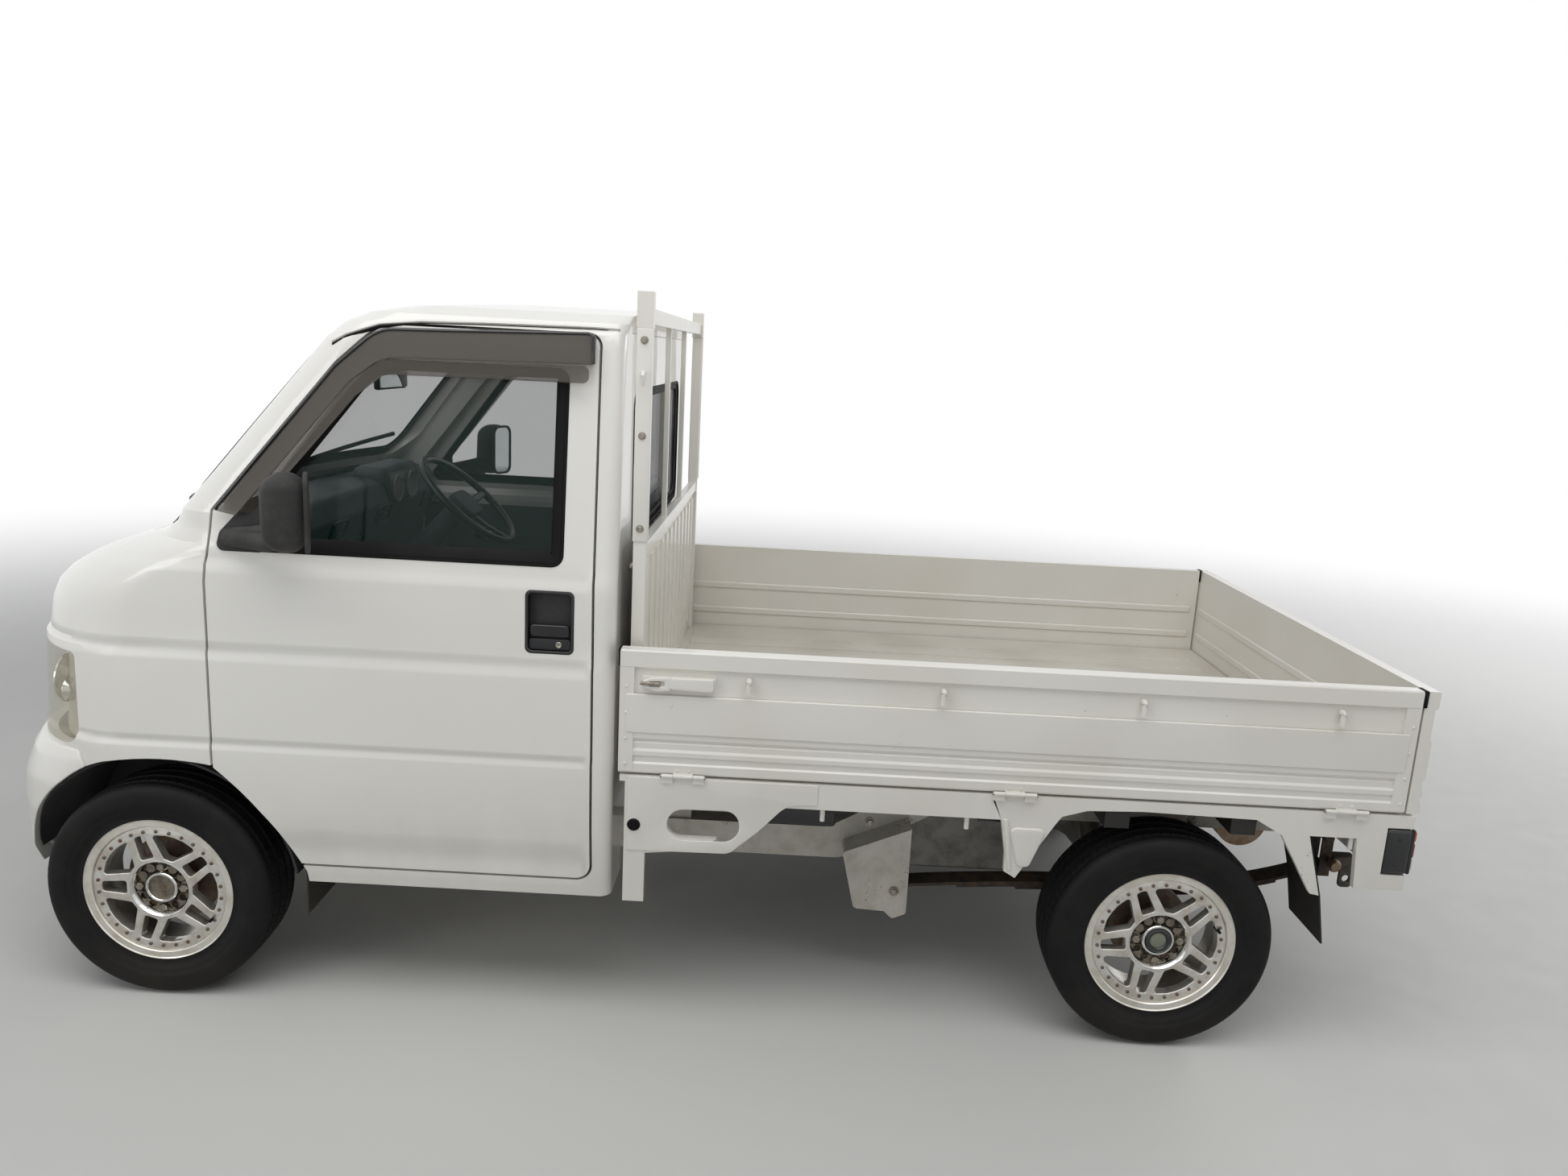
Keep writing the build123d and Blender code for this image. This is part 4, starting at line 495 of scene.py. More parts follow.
def joined(name: str, pieces: Sequence[Piece]) -> Piece:
    """Joins meshes into one object that keeps each one's finish.

    Args:
        name: The new piece's name.
        pieces: The meshes, which are used up.

    Returns:
        The joined object.
    """
    work = bmesh.new()
    finishes: list[bpy.types.Material] = []
    for piece in pieces:
        start = len(work.faces)
        work.from_mesh(piece.data)
        work.faces.ensure_lookup_table()
        slots = list(piece.data.materials)
        for face in work.faces[start:]:
            material = slots[face.material_index] if slots else None
            if material not in finishes:
                finishes.append(material)
            face.material_index = finishes.index(material)
    mesh = bpy.data.meshes.new(name)
    work.to_mesh(mesh)
    work.free()
    for material in finishes:
        mesh.materials.append(material)
    for piece in pieces:
        bpy.data.objects.remove(piece)
    return linked(name, mesh)


def placed(piece: Piece, matrix: Matrix) -> Piece:
    """Moves a piece by changing its mesh, so that its object stays at the origin."""
    piece.data.transform(matrix)
    piece.data.update()
    return piece


def copied(piece: Piece, name: str) -> Piece:
    """Copies a mesh piece under a new name."""
    return linked(name, piece.data.copy())


def baked(node: Piece, name: str) -> Piece:
    """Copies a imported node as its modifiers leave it."""
    graph = bpy.context.evaluated_depsgraph_get()
    return linked(name, bpy.data.meshes.new_from_object(node.evaluated_get(graph), depsgraph=graph))


def finished(piece: Piece, body: str, slot: str, *nodes: str) -> Piece:
    """Puts a finished piece on its body.

    Args:
        piece: The piece.
        body: The body that carries it.
        slot: The record's material slot; not used.
        nodes: The nodes that it stands for.

    Returns:
        The same piece.
    """
    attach(piece, body)
    if nodes:
        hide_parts(*nodes)
    LOG.info("%s rides on %s, %d faces", piece.name, body, len(piece.data.polygons))
    return piece


def lathe(name: str, profile: Sequence[Point2], finish: Finish, steps: int = 72,
          closed: bool = False) -> Piece:
    """Turns a profile about the local Z axis.

    Args:
        name: The piece's name.
        profile: Radius and height of each point, in millimetres.
        finish: Its surface.
        steps: Steps round the axis.
        closed: Whether the profile's last point joins its first.

    Returns:
        The turned piece.
    """
    points, rings = [], []
    for radius, height in profile:
        if radius < 0.01:
            rings.append([len(points)] * steps)
            points.append((0.0, 0.0, height * MM))
        else:
            rings.append(list(range(len(points), len(points) + steps)))
            for step in range(steps):
                turn = math.tau * step / steps
                points.append((radius * MM * math.cos(turn), radius * MM * math.sin(turn), height * MM))
    faces = []
    pairs = list(zip(rings, rings[1:])) + ([(rings[-1], rings[0])] if closed else [])
    for low, high in pairs:
        for step in range(steps):
            after = (step + 1) % steps
            corners = [low[step], low[after], high[after], high[step]]
            face = list(dict.fromkeys(corners))
            if len(face) > 2:
                faces.append(face)
    return tidy(mesh_object(name, points, faces, finish))


def softened(points: Sequence[Point2], radius: float | Sequence[float], steps: int = 4) -> list[Point2]:
    """Rounds the corners of a closed outline with arcs.

    Args:
        points: The outline's corners.
        radius: The corners' radius, or one for each corner.
        steps: Points on each rounded corner, less one.

    Returns:
        The rounded outline.
    """
    made: list[Point2] = []
    count = len(points)
    radii = [radius] * count if isinstance(radius, (int, float)) else radius
    for index in range(count):
        corner = Vector(points[index])
        back = Vector(points[index - 1]) - corner
        ahead = Vector(points[(index + 1) % count]) - corner
        half = back.angle(ahead, math.pi) / 2
        if half > math.radians(88) or not radii[index]:
            made.append(tuple(corner))
            continue
        reach = min(radii[index] / math.tan(half), back.length * 0.48, ahead.length * 0.48)
        start = corner + back.normalized() * reach
        end = corner + ahead.normalized() * reach
        centre = corner + (back.normalized() + ahead.normalized()).normalized() * (reach / math.cos(half))
        first, last = start - centre, end - centre
        turn = first.angle_signed(last)
        for step in range(steps + 1):
            angle = -turn * step / steps
            made.append((centre.x + first.x * math.cos(angle) - first.y * math.sin(angle),
                         centre.y + first.x * math.sin(angle) + first.y * math.cos(angle)))
    return made


def spaced(points: Sequence[Point2], step: float, closed: bool = True) -> list[Point2]:
    """Divides the long runs of an outline.

    Args:
        points: The outline.
        step: The longest run that stays, in millimetres.
        closed: Whether the last point joins the first.

    Returns:
        The outline with more points.
    """
    made: list[Point2] = []
    count = len(points)
    for index in range(count if closed else count - 1):
        start, end = Vector(points[index]), Vector(points[(index + 1) % count])
        parts = max(1, math.ceil((end - start).length / step))
        made.extend(tuple(start.lerp(end, part / parts)) for part in range(parts))
    if not closed:
        made.append(points[-1])
    return made


def outwards(points: Sequence[Point2]) -> list[Vector]:
    """The outward direction at each point of a closed outline."""
    area = sum(a[0] * b[1] - b[0] * a[1] for a, b in zip(points, [*points[1:], points[0]]))
    sign = 1 if area > 0 else -1
    count = len(points)
    ways = []
    for index in range(count):
        along = Vector(points[(index + 1) % count]) - Vector(points[index - 1])
        ways.append(Vector((along.y, -along.x)).normalized() * sign)
    return ways


def rectangle(left: float, low: float, right: float, high: float, radius: float, steps: int = 4) -> list[Point2]:
    """The outline of a rectangle with rounded corners."""
    return softened([(left, low), (right, low), (right, high), (left, high)], radius, steps)


def circle(radius: float, steps: int = 48, centre: Point2 = (0.0, 0.0)) -> list[Point2]:
    """Points round a circle."""
    return [(centre[0] + radius * math.cos(math.tau * step / steps),
             centre[1] + radius * math.sin(math.tau * step / steps)) for step in range(steps)]


def plate(name: str, loops: Sequence[Sequence[Point2]], thickness: float, bevel: float, finish: Finish,
          bevel_steps: int = 2) -> Piece:
    """Makes a flat plate with holes and rounded edges, lying in the local XY plane.

    Args:
        name: The piece's name.
        loops: The outline and then each hole, in millimetres.
        thickness: Its thickness in millimetres, about z = 0.
        bevel: The edges' radius in millimetres.
        finish: Its surface.
        bevel_steps: Steps on each rounded edge.

    Returns:
        The plate.
    """
    curve = bpy.data.curves.new(name, "CURVE")
    curve.dimensions = "2D"
    curve.fill_mode = "BOTH"
    curve.extrude = (thickness / 2 - bevel) * MM
    curve.bevel_depth = bevel * MM
    curve.bevel_resolution = bevel_steps
    curve.offset = -bevel * MM
    for loop in loops:
        spline = curve.splines.new("POLY")
        spline.points.add(len(loop) - 1)
        for point, (x, y) in zip(spline.points, loop):
            point.co = (x * MM, y * MM, 0.0, 1.0)
        spline.use_cyclic_u = True
    made = applied(linked(name, curve))
    made.data.materials.clear()
    made.data.materials.append(finish.material())
    return tidy(made)


def tube(name: str, route: Sequence[Point3], radius: float, finish: Finish, closed: bool = False,
         sides: int = 10, flat: float = 1.0) -> Piece:
    """Sweeps a round or oval section along a route.

    Args:
        name: The piece's name.
        route: Points of the route in millimetres.
        radius: The section's radius in millimetres.
        finish: Its surface.
        closed: Whether the route is a loop.
        sides: Sides of the section.
        flat: The section's height as a share of its width.

    Returns:
        The swept piece.
    """
    path = [Vector(p) * MM for p in route]
    count = len(path)
    points: list[Vector] = []
    faces: list[list[int]] = []
    up = Vector((0.0, 0.0, 1.0))
    for index, at in enumerate(path):
        before = path[index - 1] if closed or index else at
        after = path[(index + 1) % count] if closed or index < count - 1 else at
        along = (after - before).normalized()
        across = along.cross(up)
        if across.length < 0.05:
            across = along.cross(Vector((1.0, 0.0, 0.0)))
        across.normalize()
        lift = across.cross(along).normalized()
        for side in range(sides):
            turn = math.tau * side / sides
            points.append(at + across * (math.cos(turn) * radius * MM) + lift * (math.sin(turn) * radius * flat * MM))
    for index in range(count if closed else count - 1):
        start, end = index * sides, ((index + 1) % count) * sides
        for side in range(sides):
            after = (side + 1) % sides
            faces.append([start + side, start + after, end + after, end + side])
    if not closed:
        faces.append(list(range(sides)))
        faces.append([(count - 1) * sides + side for side in range(sides)])
    return tidy(mesh_object(name, points, faces, finish))


def rounded_box(name: str, low: Point3, high: Point3, radius: float, finish: Finish,
                steps: int = 3) -> Piece:
    """Makes a block with rounded edges.

    Args:
        name: The piece's name.
        low: Its lowest corner in millimetres.
        high: Its highest corner in millimetres.
        radius: The edges' radius in millimetres.
        finish: Its surface.
        steps: Steps on each rounded edge.

    Returns:
        The block.
    """
    work = bmesh.new()
    bmesh.ops.create_cube(work, size=1.0)
    for vertex in work.verts:
        for axis in range(3):
            vertex.co[axis] = (low[axis] if vertex.co[axis] < 0 else high[axis]) * MM
    if radius:
        bmesh.ops.bevel(work, geom=list(work.edges), offset=radius * MM, segments=steps, profile=0.5, affect="EDGES")
    mesh = bpy.data.meshes.new(name)
    work.to_mesh(mesh)
    work.free()
    mesh.materials.append(finish.material())
    return tidy(linked(name, mesh), smooth=50)


def blocks(*rows: tuple[Point3, Point3, float, Finish]) -> list[Piece]:
    """Makes rounded blocks from rows of low corner, high corner, edge radius and finish."""
    return [rounded_box("block", *row) for row in rows]


def moved(piece: Piece, *place: float) -> Piece:
    """Moves a piece by so many millimetres along X, Y and Z."""
    return placed(piece, Matrix.Translation(Vector(place) * MM))


def facing_piece(piece: Piece, place: Point3, way: Point3) -> Piece:
    """Turns a piece's Z to a direction and moves its origin to a place in millimetres."""
    turn = Vector(way).to_track_quat("Z", "Y").to_matrix().to_4x4()
    return placed(piece, Matrix.Translation(Vector(place) * MM) @ turn)


def turned(profile: Sequence[Point2], finish: Finish, steps: int, place: Point3, way: Point3) -> Piece:
    """Lathes a profile and sets it at a place, with its Z along a direction."""
    return facing_piece(lathe("turned", profile, finish, steps), place, way)


def flipped(piece: Piece) -> Piece:
    """Mirrors a left-hand piece to the right."""
    placed(piece, Matrix.Scale(-1, 4, (0, 1, 0)))
    piece.data.flip_normals()
    return piece


def sided(piece: Piece, side: Side) -> Piece:
    """Puts a piece that was made for the left on its own side."""
    return flipped(piece) if side is Side.RIGHT else piece


def both_sides(name: str, parts: Sequence[Piece]) -> Piece:
    """Joins left-hand parts with their mirror copies."""
    left = joined("left", parts)
    return joined(name, (left, flipped(copied(left, "right"))))


class Repeater:
    """Geometry node trees that repeat a small part round an axis, along a row or at given points."""

    def __init__(self) -> None:
        """Builds the trees once."""
        self.ring = self._ring_tree()
        self.spread = self._spread_tree()

    @staticmethod
    def _sockets(tree: Tree, inputs: Iterable[tuple[str, str]]) -> None:
        """Declares a tree's inputs and its one output.

        Args:
            tree: The tree.
            inputs: Name and socket type of each input.
        """
        tree.interface.new_socket(name="Geometry", in_out="INPUT", socket_type="NodeSocketGeometry")
        for name, kind in inputs:
            tree.interface.new_socket(name=name, in_out="INPUT", socket_type=kind)
        tree.interface.new_socket(name="Geometry", in_out="OUTPUT", socket_type="NodeSocketGeometry")

    @staticmethod
    def _closed(tree: Tree, many: Node, finish: Socket) -> Tree:
        """Makes the instances real, gives them their finish and sends them out.

        Args:
            tree: The tree.
            many: The node that gives the instances.
            finish: The socket that gives their material.

        Returns:
            The finished tree.
        """
        real = put(tree, "GeometryNodeRealizeInstances", None, {0: many.outputs[0]})
        dressed = put(tree, "GeometryNodeSetMaterial", None, {"Geometry": real.outputs[0], "Material": finish})
        put(tree, "NodeGroupOutput", None, {0: dressed.outputs[0]})
        return tree

    def _ring_tree(self) -> Tree:
        """A part repeated evenly round the Z axis."""
        tree = bpy.data.node_groups.new("repeat-round-axis", "GeometryNodeTree")
        self._sockets(tree, (("Part", "NodeSocketObject"), ("Count", "NodeSocketInt"), ("Radius", "NodeSocketFloat"),
                             ("Start", "NodeSocketFloat"), ("Finish", "NodeSocketMaterial")))
        given = put(tree, "NodeGroupInput").outputs
        ring = put(tree, "GeometryNodeMeshCircle", None, {"Vertices": given["Count"], "Radius": given["Radius"]})
        part = put(tree, "GeometryNodeObjectInfo", None, {"Object": given["Part"]})
        number = put(tree, "GeometryNodeInputIndex")
        share = put(tree, "ShaderNodeMath", {"operation": "DIVIDE"}, {0: number.outputs[0], 1: given["Count"]})
        turn = put(tree, "ShaderNodeMath", {"operation": "MULTIPLY"}, {0: share.outputs[0], 1: math.tau})
        axis = put(tree, "ShaderNodeCombineXYZ", None, {"Z": turn.outputs[0]})
        many = put(tree, "GeometryNodeInstanceOnPoints", None,
                   {"Points": ring.outputs["Mesh"], "Instance": part.outputs["Geometry"], "Rotation": axis.outputs[0]})
        start = put(tree, "ShaderNodeCombineXYZ", None, {"Z": given["Start"]})
        turned = put(tree, "GeometryNodeTransform", None, {"Geometry": many.outputs[0], "Rotation": start.outputs[0]})
        return self._closed(tree, turned, given["Finish"])

    def _spread_tree(self) -> Tree:
        """A part repeated at each point of the given mesh, turned so that its Z follows the point's normal."""
        tree = bpy.data.node_groups.new("repeat-at-points", "GeometryNodeTree")
        self._sockets(tree, (("Part", "NodeSocketObject"), ("Finish", "NodeSocketMaterial")))
        given = put(tree, "NodeGroupInput").outputs
        part = put(tree, "GeometryNodeObjectInfo", None, {"Object": given["Part"]})
        facing = put(tree, "GeometryNodeInputNamedAttribute", {"data_type": "FLOAT_VECTOR"}, {"Name": "facing"})
        turn = put(tree, "FunctionNodeAlignEulerToVector", {"axis": "Z"}, {"Vector": facing.outputs["Attribute"]})
        many = put(tree, "GeometryNodeInstanceOnPoints", None,
                   {"Points": given["Geometry"], "Instance": part.outputs["Geometry"], "Rotation": turn.outputs[0]})
        return self._closed(tree, many, given["Finish"])

    @staticmethod
    def _grown(carrier: Piece, tree: Tree, values: dict) -> Piece:
        """Runs a tree on a carrier and bakes what it makes.

        Args:
            carrier: The object that holds the modifier.
            tree: The node tree.
            values: The inputs' values by name.

        Returns:
            The baked mesh object.
        """
        modifier = carrier.modifiers.new("repeat", "NODES")
        modifier.node_group = tree
        for item in tree.interface.items_tree:
            if item.in_out == "INPUT" and item.name in values:
                modifier[item.identifier] = values[item.name]
        return applied(carrier)

    def round_axis(self, name: str, part: Piece, count: int, radius: float, finish: Finish,
                   start: float = 0.0) -> Piece:
        """Repeats a part round the Z axis.

        Args:
            name: The new piece's name.
            part: The part, at its place for a radius of 0, which is used up.
            count: How many.
            radius: How far from the axis, in millimetres.
            finish: The surface.
            start: The first one's turn, in degrees.

        Returns:
            The ring of parts as one mesh.
        """
        carrier = mesh_object(name, [(0.0, 0.0, 0.0)], [])
        made = self._grown(carrier, self.ring, {"Part": part, "Count": count, "Radius": radius * MM,
                                                "Start": math.radians(start), "Finish": finish.material()})
        bpy.data.objects.remove(part)
        return made

    def at_points(self, name: str, part: Piece, places: Sequence[tuple[Sequence[float], Sequence[float]]],
                  finish: Finish) -> Piece:
        """Repeats a part at given places.

        Args:
            name: The new piece's name.
            part: The part, with its Z outwards, which is used up.
            places: For each one, its place in millimetres and the way that it faces.
            finish: The surface.

        Returns:
            The parts as one mesh.
        """
        carrier = mesh_object(name, [Vector(place) * MM for place, _ in places], [])
        facing = carrier.data.attributes.new("facing", "FLOAT_VECTOR", "POINT")
        for index, (_, way) in enumerate(places):
            facing.data[index].vector = Vector(way).normalized()
        made = self._grown(carrier, self.spread, {"Part": part, "Finish": finish.material()})
        bpy.data.objects.remove(part)
        return made


def bolt_head(name: str, across: float, high: float, finish: Finish, washer: float = 1.5) -> Piece:
    """Makes a hexagonal head on a washer, with its Z outwards.

    Args:
        name: The piece's name.
        across: Its width over the flats in millimetres.
        high: Its height in millimetres.
        finish: Its surface.
        washer: The washer's thickness in millimetres.

    Returns:
        The bolt head.
    """
    radius = across / math.sqrt(3)
    head = lathe(name, ((0, high), (radius * 0.82, high), (radius, high * 0.8), (radius, washer), (0, washer)),
                 finish, steps=6)
    ring = lathe(name + "-washer", ((0, washer), (radius * 1.25, washer), (radius * 1.3, washer * 0.5),
                                    (radius * 1.3, -1.0), (0, -1.0)), finish, steps=20)
    return joined(name, (head, ring))


def screw_head(name: str, radius: float, high: float, finish: Finish) -> Piece:
    """Makes a pan screw head with its Z outwards."""
    profile = [(0, high * 0.7), (radius * 0.2, high * 0.72), (radius * 0.26, high), (radius * 0.6, high * 0.92),
               (radius * 0.9, high * 0.6), (radius, high * 0.1), (radius, -1.0), (0, -1.0)]
    return lathe(name, profile, finish, steps=14)


@dataclass
class Stage:
    """The pale floor, the soft lights and the camera where the photograph was taken."""

    eye: Point3 = (-0.1815, 3.176, 1.615)
    pitch: float = 11.85
    roll: float = 3.04
    focal_px: float = 1380.0
    picture_px: float = 1946.0
    sensor: float = 36.0
    floor_colour: str = "#cfceca"
    floor_half: float = 60.0
    floor_near: float = 3.0
    floor_far: float = 9.0
    sky: str = "#e9eff7"
    sky_level: float = 0.3
    # Name, place, target, size and power of each soft box
    lamps: tuple = (
        ("overhead", (0.3, 2.4, 5.2), (0.0, 0.3, 0.6), (8.0, 3.0), 178.0),
        ("key", (4.6, 4.6, 2.6), (0.2, 0.0, 0.8), (2.0, 2.0), 40.0),
        ("rim", (-5.5, -3.0, 3.2), (-0.4, 0.0, 0.7), (2.6, 2.6), 90.0),
    )

    def camera(self) -> None:
        """Sets up the camera, level with the eye that took the photograph."""
        data = bpy.data.cameras.new("camera")
        data.sensor_width = self.sensor
        data.lens = self.focal_px / self.picture_px * self.sensor
        made = linked("camera", data)
        turn = (Matrix.Rotation(math.pi, 4, "Z") @ Matrix.Rotation(math.radians(90 - self.pitch), 4, "X")
                @ Matrix.Rotation(math.radians(self.roll), 4, "Z"))
        made.matrix_world = Matrix.Translation(self.eye) @ turn
        bpy.context.scene.camera = made

    def floor(self) -> None:
        """Lays the floor: a smooth pale screed that fades to white away from the truck."""
        half = self.floor_half
        screed = Finish("pale-screed", self.floor_colour, roughness=0.75)
        made = mesh_object("floor", [(-half, -half, 0), (half, -half, 0), (half, half, 0), (-half, half, 0)],
                           [(0, 1, 2, 3)], screed)
        tree = screed.material().node_tree
        reach = put(tree, "ShaderNodeVectorMath", {"operation": "LENGTH"},
                    {0: put(tree, "ShaderNodeTexCoord").outputs["Object"]})
        share = put(tree, "ShaderNodeMapRange", {"interpolation_type": "SMOOTHSTEP"},
                    {0: reach.outputs["Value"], 1: self.floor_near, 2: self.floor_far, 3: 0.0, 4: 1.0})
        white = put(tree, "ShaderNodeEmission", None, {"Color": srgb("#ffffff"), "Strength": 1.0})
        mixed = put(tree, "ShaderNodeMixShader", None,
                    {0: share.outputs[0], 1: tree.nodes["Principled BSDF"].outputs[0], 2: white.outputs[0]})
        tree.links.new(mixed.outputs[0], tree.nodes["Material Output"].inputs["Surface"])

    def lights(self) -> None:
        """Hangs the soft boxes and sets a pale surround, white where the camera sees it."""
        world = bpy.data.worlds.new("surround")
        world.use_nodes = True
        tree = world.node_tree
        plain = tree.nodes["Background"]
        plain.inputs["Color"].default_value = srgb(self.sky)
        plain.inputs["Strength"].default_value = self.sky_level
        white = put(tree, "ShaderNodeBackground", None, {"Color": srgb("#ffffff"), "Strength": 1.0})
        seen = put(tree, "ShaderNodeLightPath").outputs
        first = put(tree, "ShaderNodeMath", {"operation": "MAXIMUM"},
                    {0: seen["Is Camera Ray"], 1: seen["Is Glossy Ray"]})
        share = put(tree, "ShaderNodeMath", {"operation": "MAXIMUM"},
                    {0: first.outputs[0], 1: seen["Is Transmission Ray"]})
        mixed = put(tree, "ShaderNodeMixShader", None, {0: share.outputs[0], 1: plain.outputs[0], 2: white.outputs[0]})
        tree.links.new(mixed.outputs[0], tree.nodes["World Output"].inputs["Surface"])
        bpy.context.scene.world = world
        for name, place, target, size, power in self.lamps:
            data = bpy.data.lights.new(name, "AREA")
            data.shape = "RECTANGLE"
            data.size, data.size_y = size
            data.energy = power
            lamp = linked(name, data)
            lamp.location = place
            lamp.rotation_mode = "QUATERNION"
            lamp.rotation_quaternion = (Vector(target) - Vector(place)).to_track_quat("-Z", "Y")

    def build(self) -> None:
        """Builds the stage."""
        self.camera()
        self.floor()
        self.lights()
        bpy.context.scene.view_settings.view_transform = "Standard"


@dataclass
class Dressing:
    """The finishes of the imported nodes, and the softening of their pressed edges."""

    nodes: dict[str, Piece]
    finishes: dict[str, Finish] = field(default_factory=lambda: {
        "body_paint": BODY_ENAMEL, "bed_paint": BED_ENAMEL, "frame_paint": CHASSIS_ENAMEL,
        "spring_steel": SPRING_STEEL, "black_steel": BLACK_STEEL, "cast_steel": BRAKE_IRON,
        "cast_alloy": CAST_ALLOY, "exhaust_steel": MUFFLER_STEEL, "dark_plastic": LINER_PLASTIC,
        "grey_plastic": DASH_PLASTIC, "seat_cloth": SEAT_CLOTH, "window_glass": TINTED_GLASS,
        "smoked_acrylic": SMOKED_ACRYLIC, "headlamp_lens": HAZED_LENS, "tail_lens": RED_LENS,
        "flap_rubber": FLAP_RUBBER, "tyre_rubber": TYRE_RUBBER, "alloy_rim": SILVER_ALLOY,
        "brake_iron": BRAKE_IRON,
    })
    # Radius of the pressed or folded edges of the main panels, in millimetres
    softened_edges: dict[str, float] = field(default_factory=lambda: {
        "cab_nose": 3.0, "cab_sides": 3.0, "cab_roof": 3.0, "cab_back": 3.0, "door_left": 3.0, "door_right": 3.0,
        "front_bumper": 4.0, "front_lid": 3.0, "gate_left": 1.6, "gate_right": 1.6, "tailgate": 1.6,
        "bed_skirts": 1.6, "bed_floor": 2.0, "bed_guard": 1.6, "frame": 3.0, "dashboard": 6.0, "exhaust": 4.0,
        "engine": 8.0,
    })

    def dress(self, slots: dict[str, str]) -> None:
        """Gives each node its finish.

        Args:
            slots: The material slot of each node.
        """
        for name, node in self.nodes.items():
            node.data.materials.clear()
            # The bed floor gets the finish whose underside is darkened as painted shade
            finish = SHADE_PAINTED_UNDERSIDE if name == "bed_floor" else self.finishes[slots[name]]
            node.data.materials.append(finish.material())

    def soften(self) -> None:
        """Rounds the edges of the pressed panels, as a press or a brake leaves them."""
        for name, radius in self.softened_edges.items():
            node = self.nodes[name]
            weld = node.modifiers.new("weld", "WELD")
            weld.merge_threshold = 0.00002
            bevel = node.modifiers.new("edge", "BEVEL")
            bevel.width = radius * MM
            bevel.segments = 2
            bevel.limit_method = "ANGLE"
            bevel.angle_limit = math.radians(24)
            node.modifiers.new("normals", "WEIGHTED_NORMAL")

    def build(self, slots: dict[str, str]) -> None:
        """Dresses and softens the nodes."""
        self.dress(slots)
        self.soften()


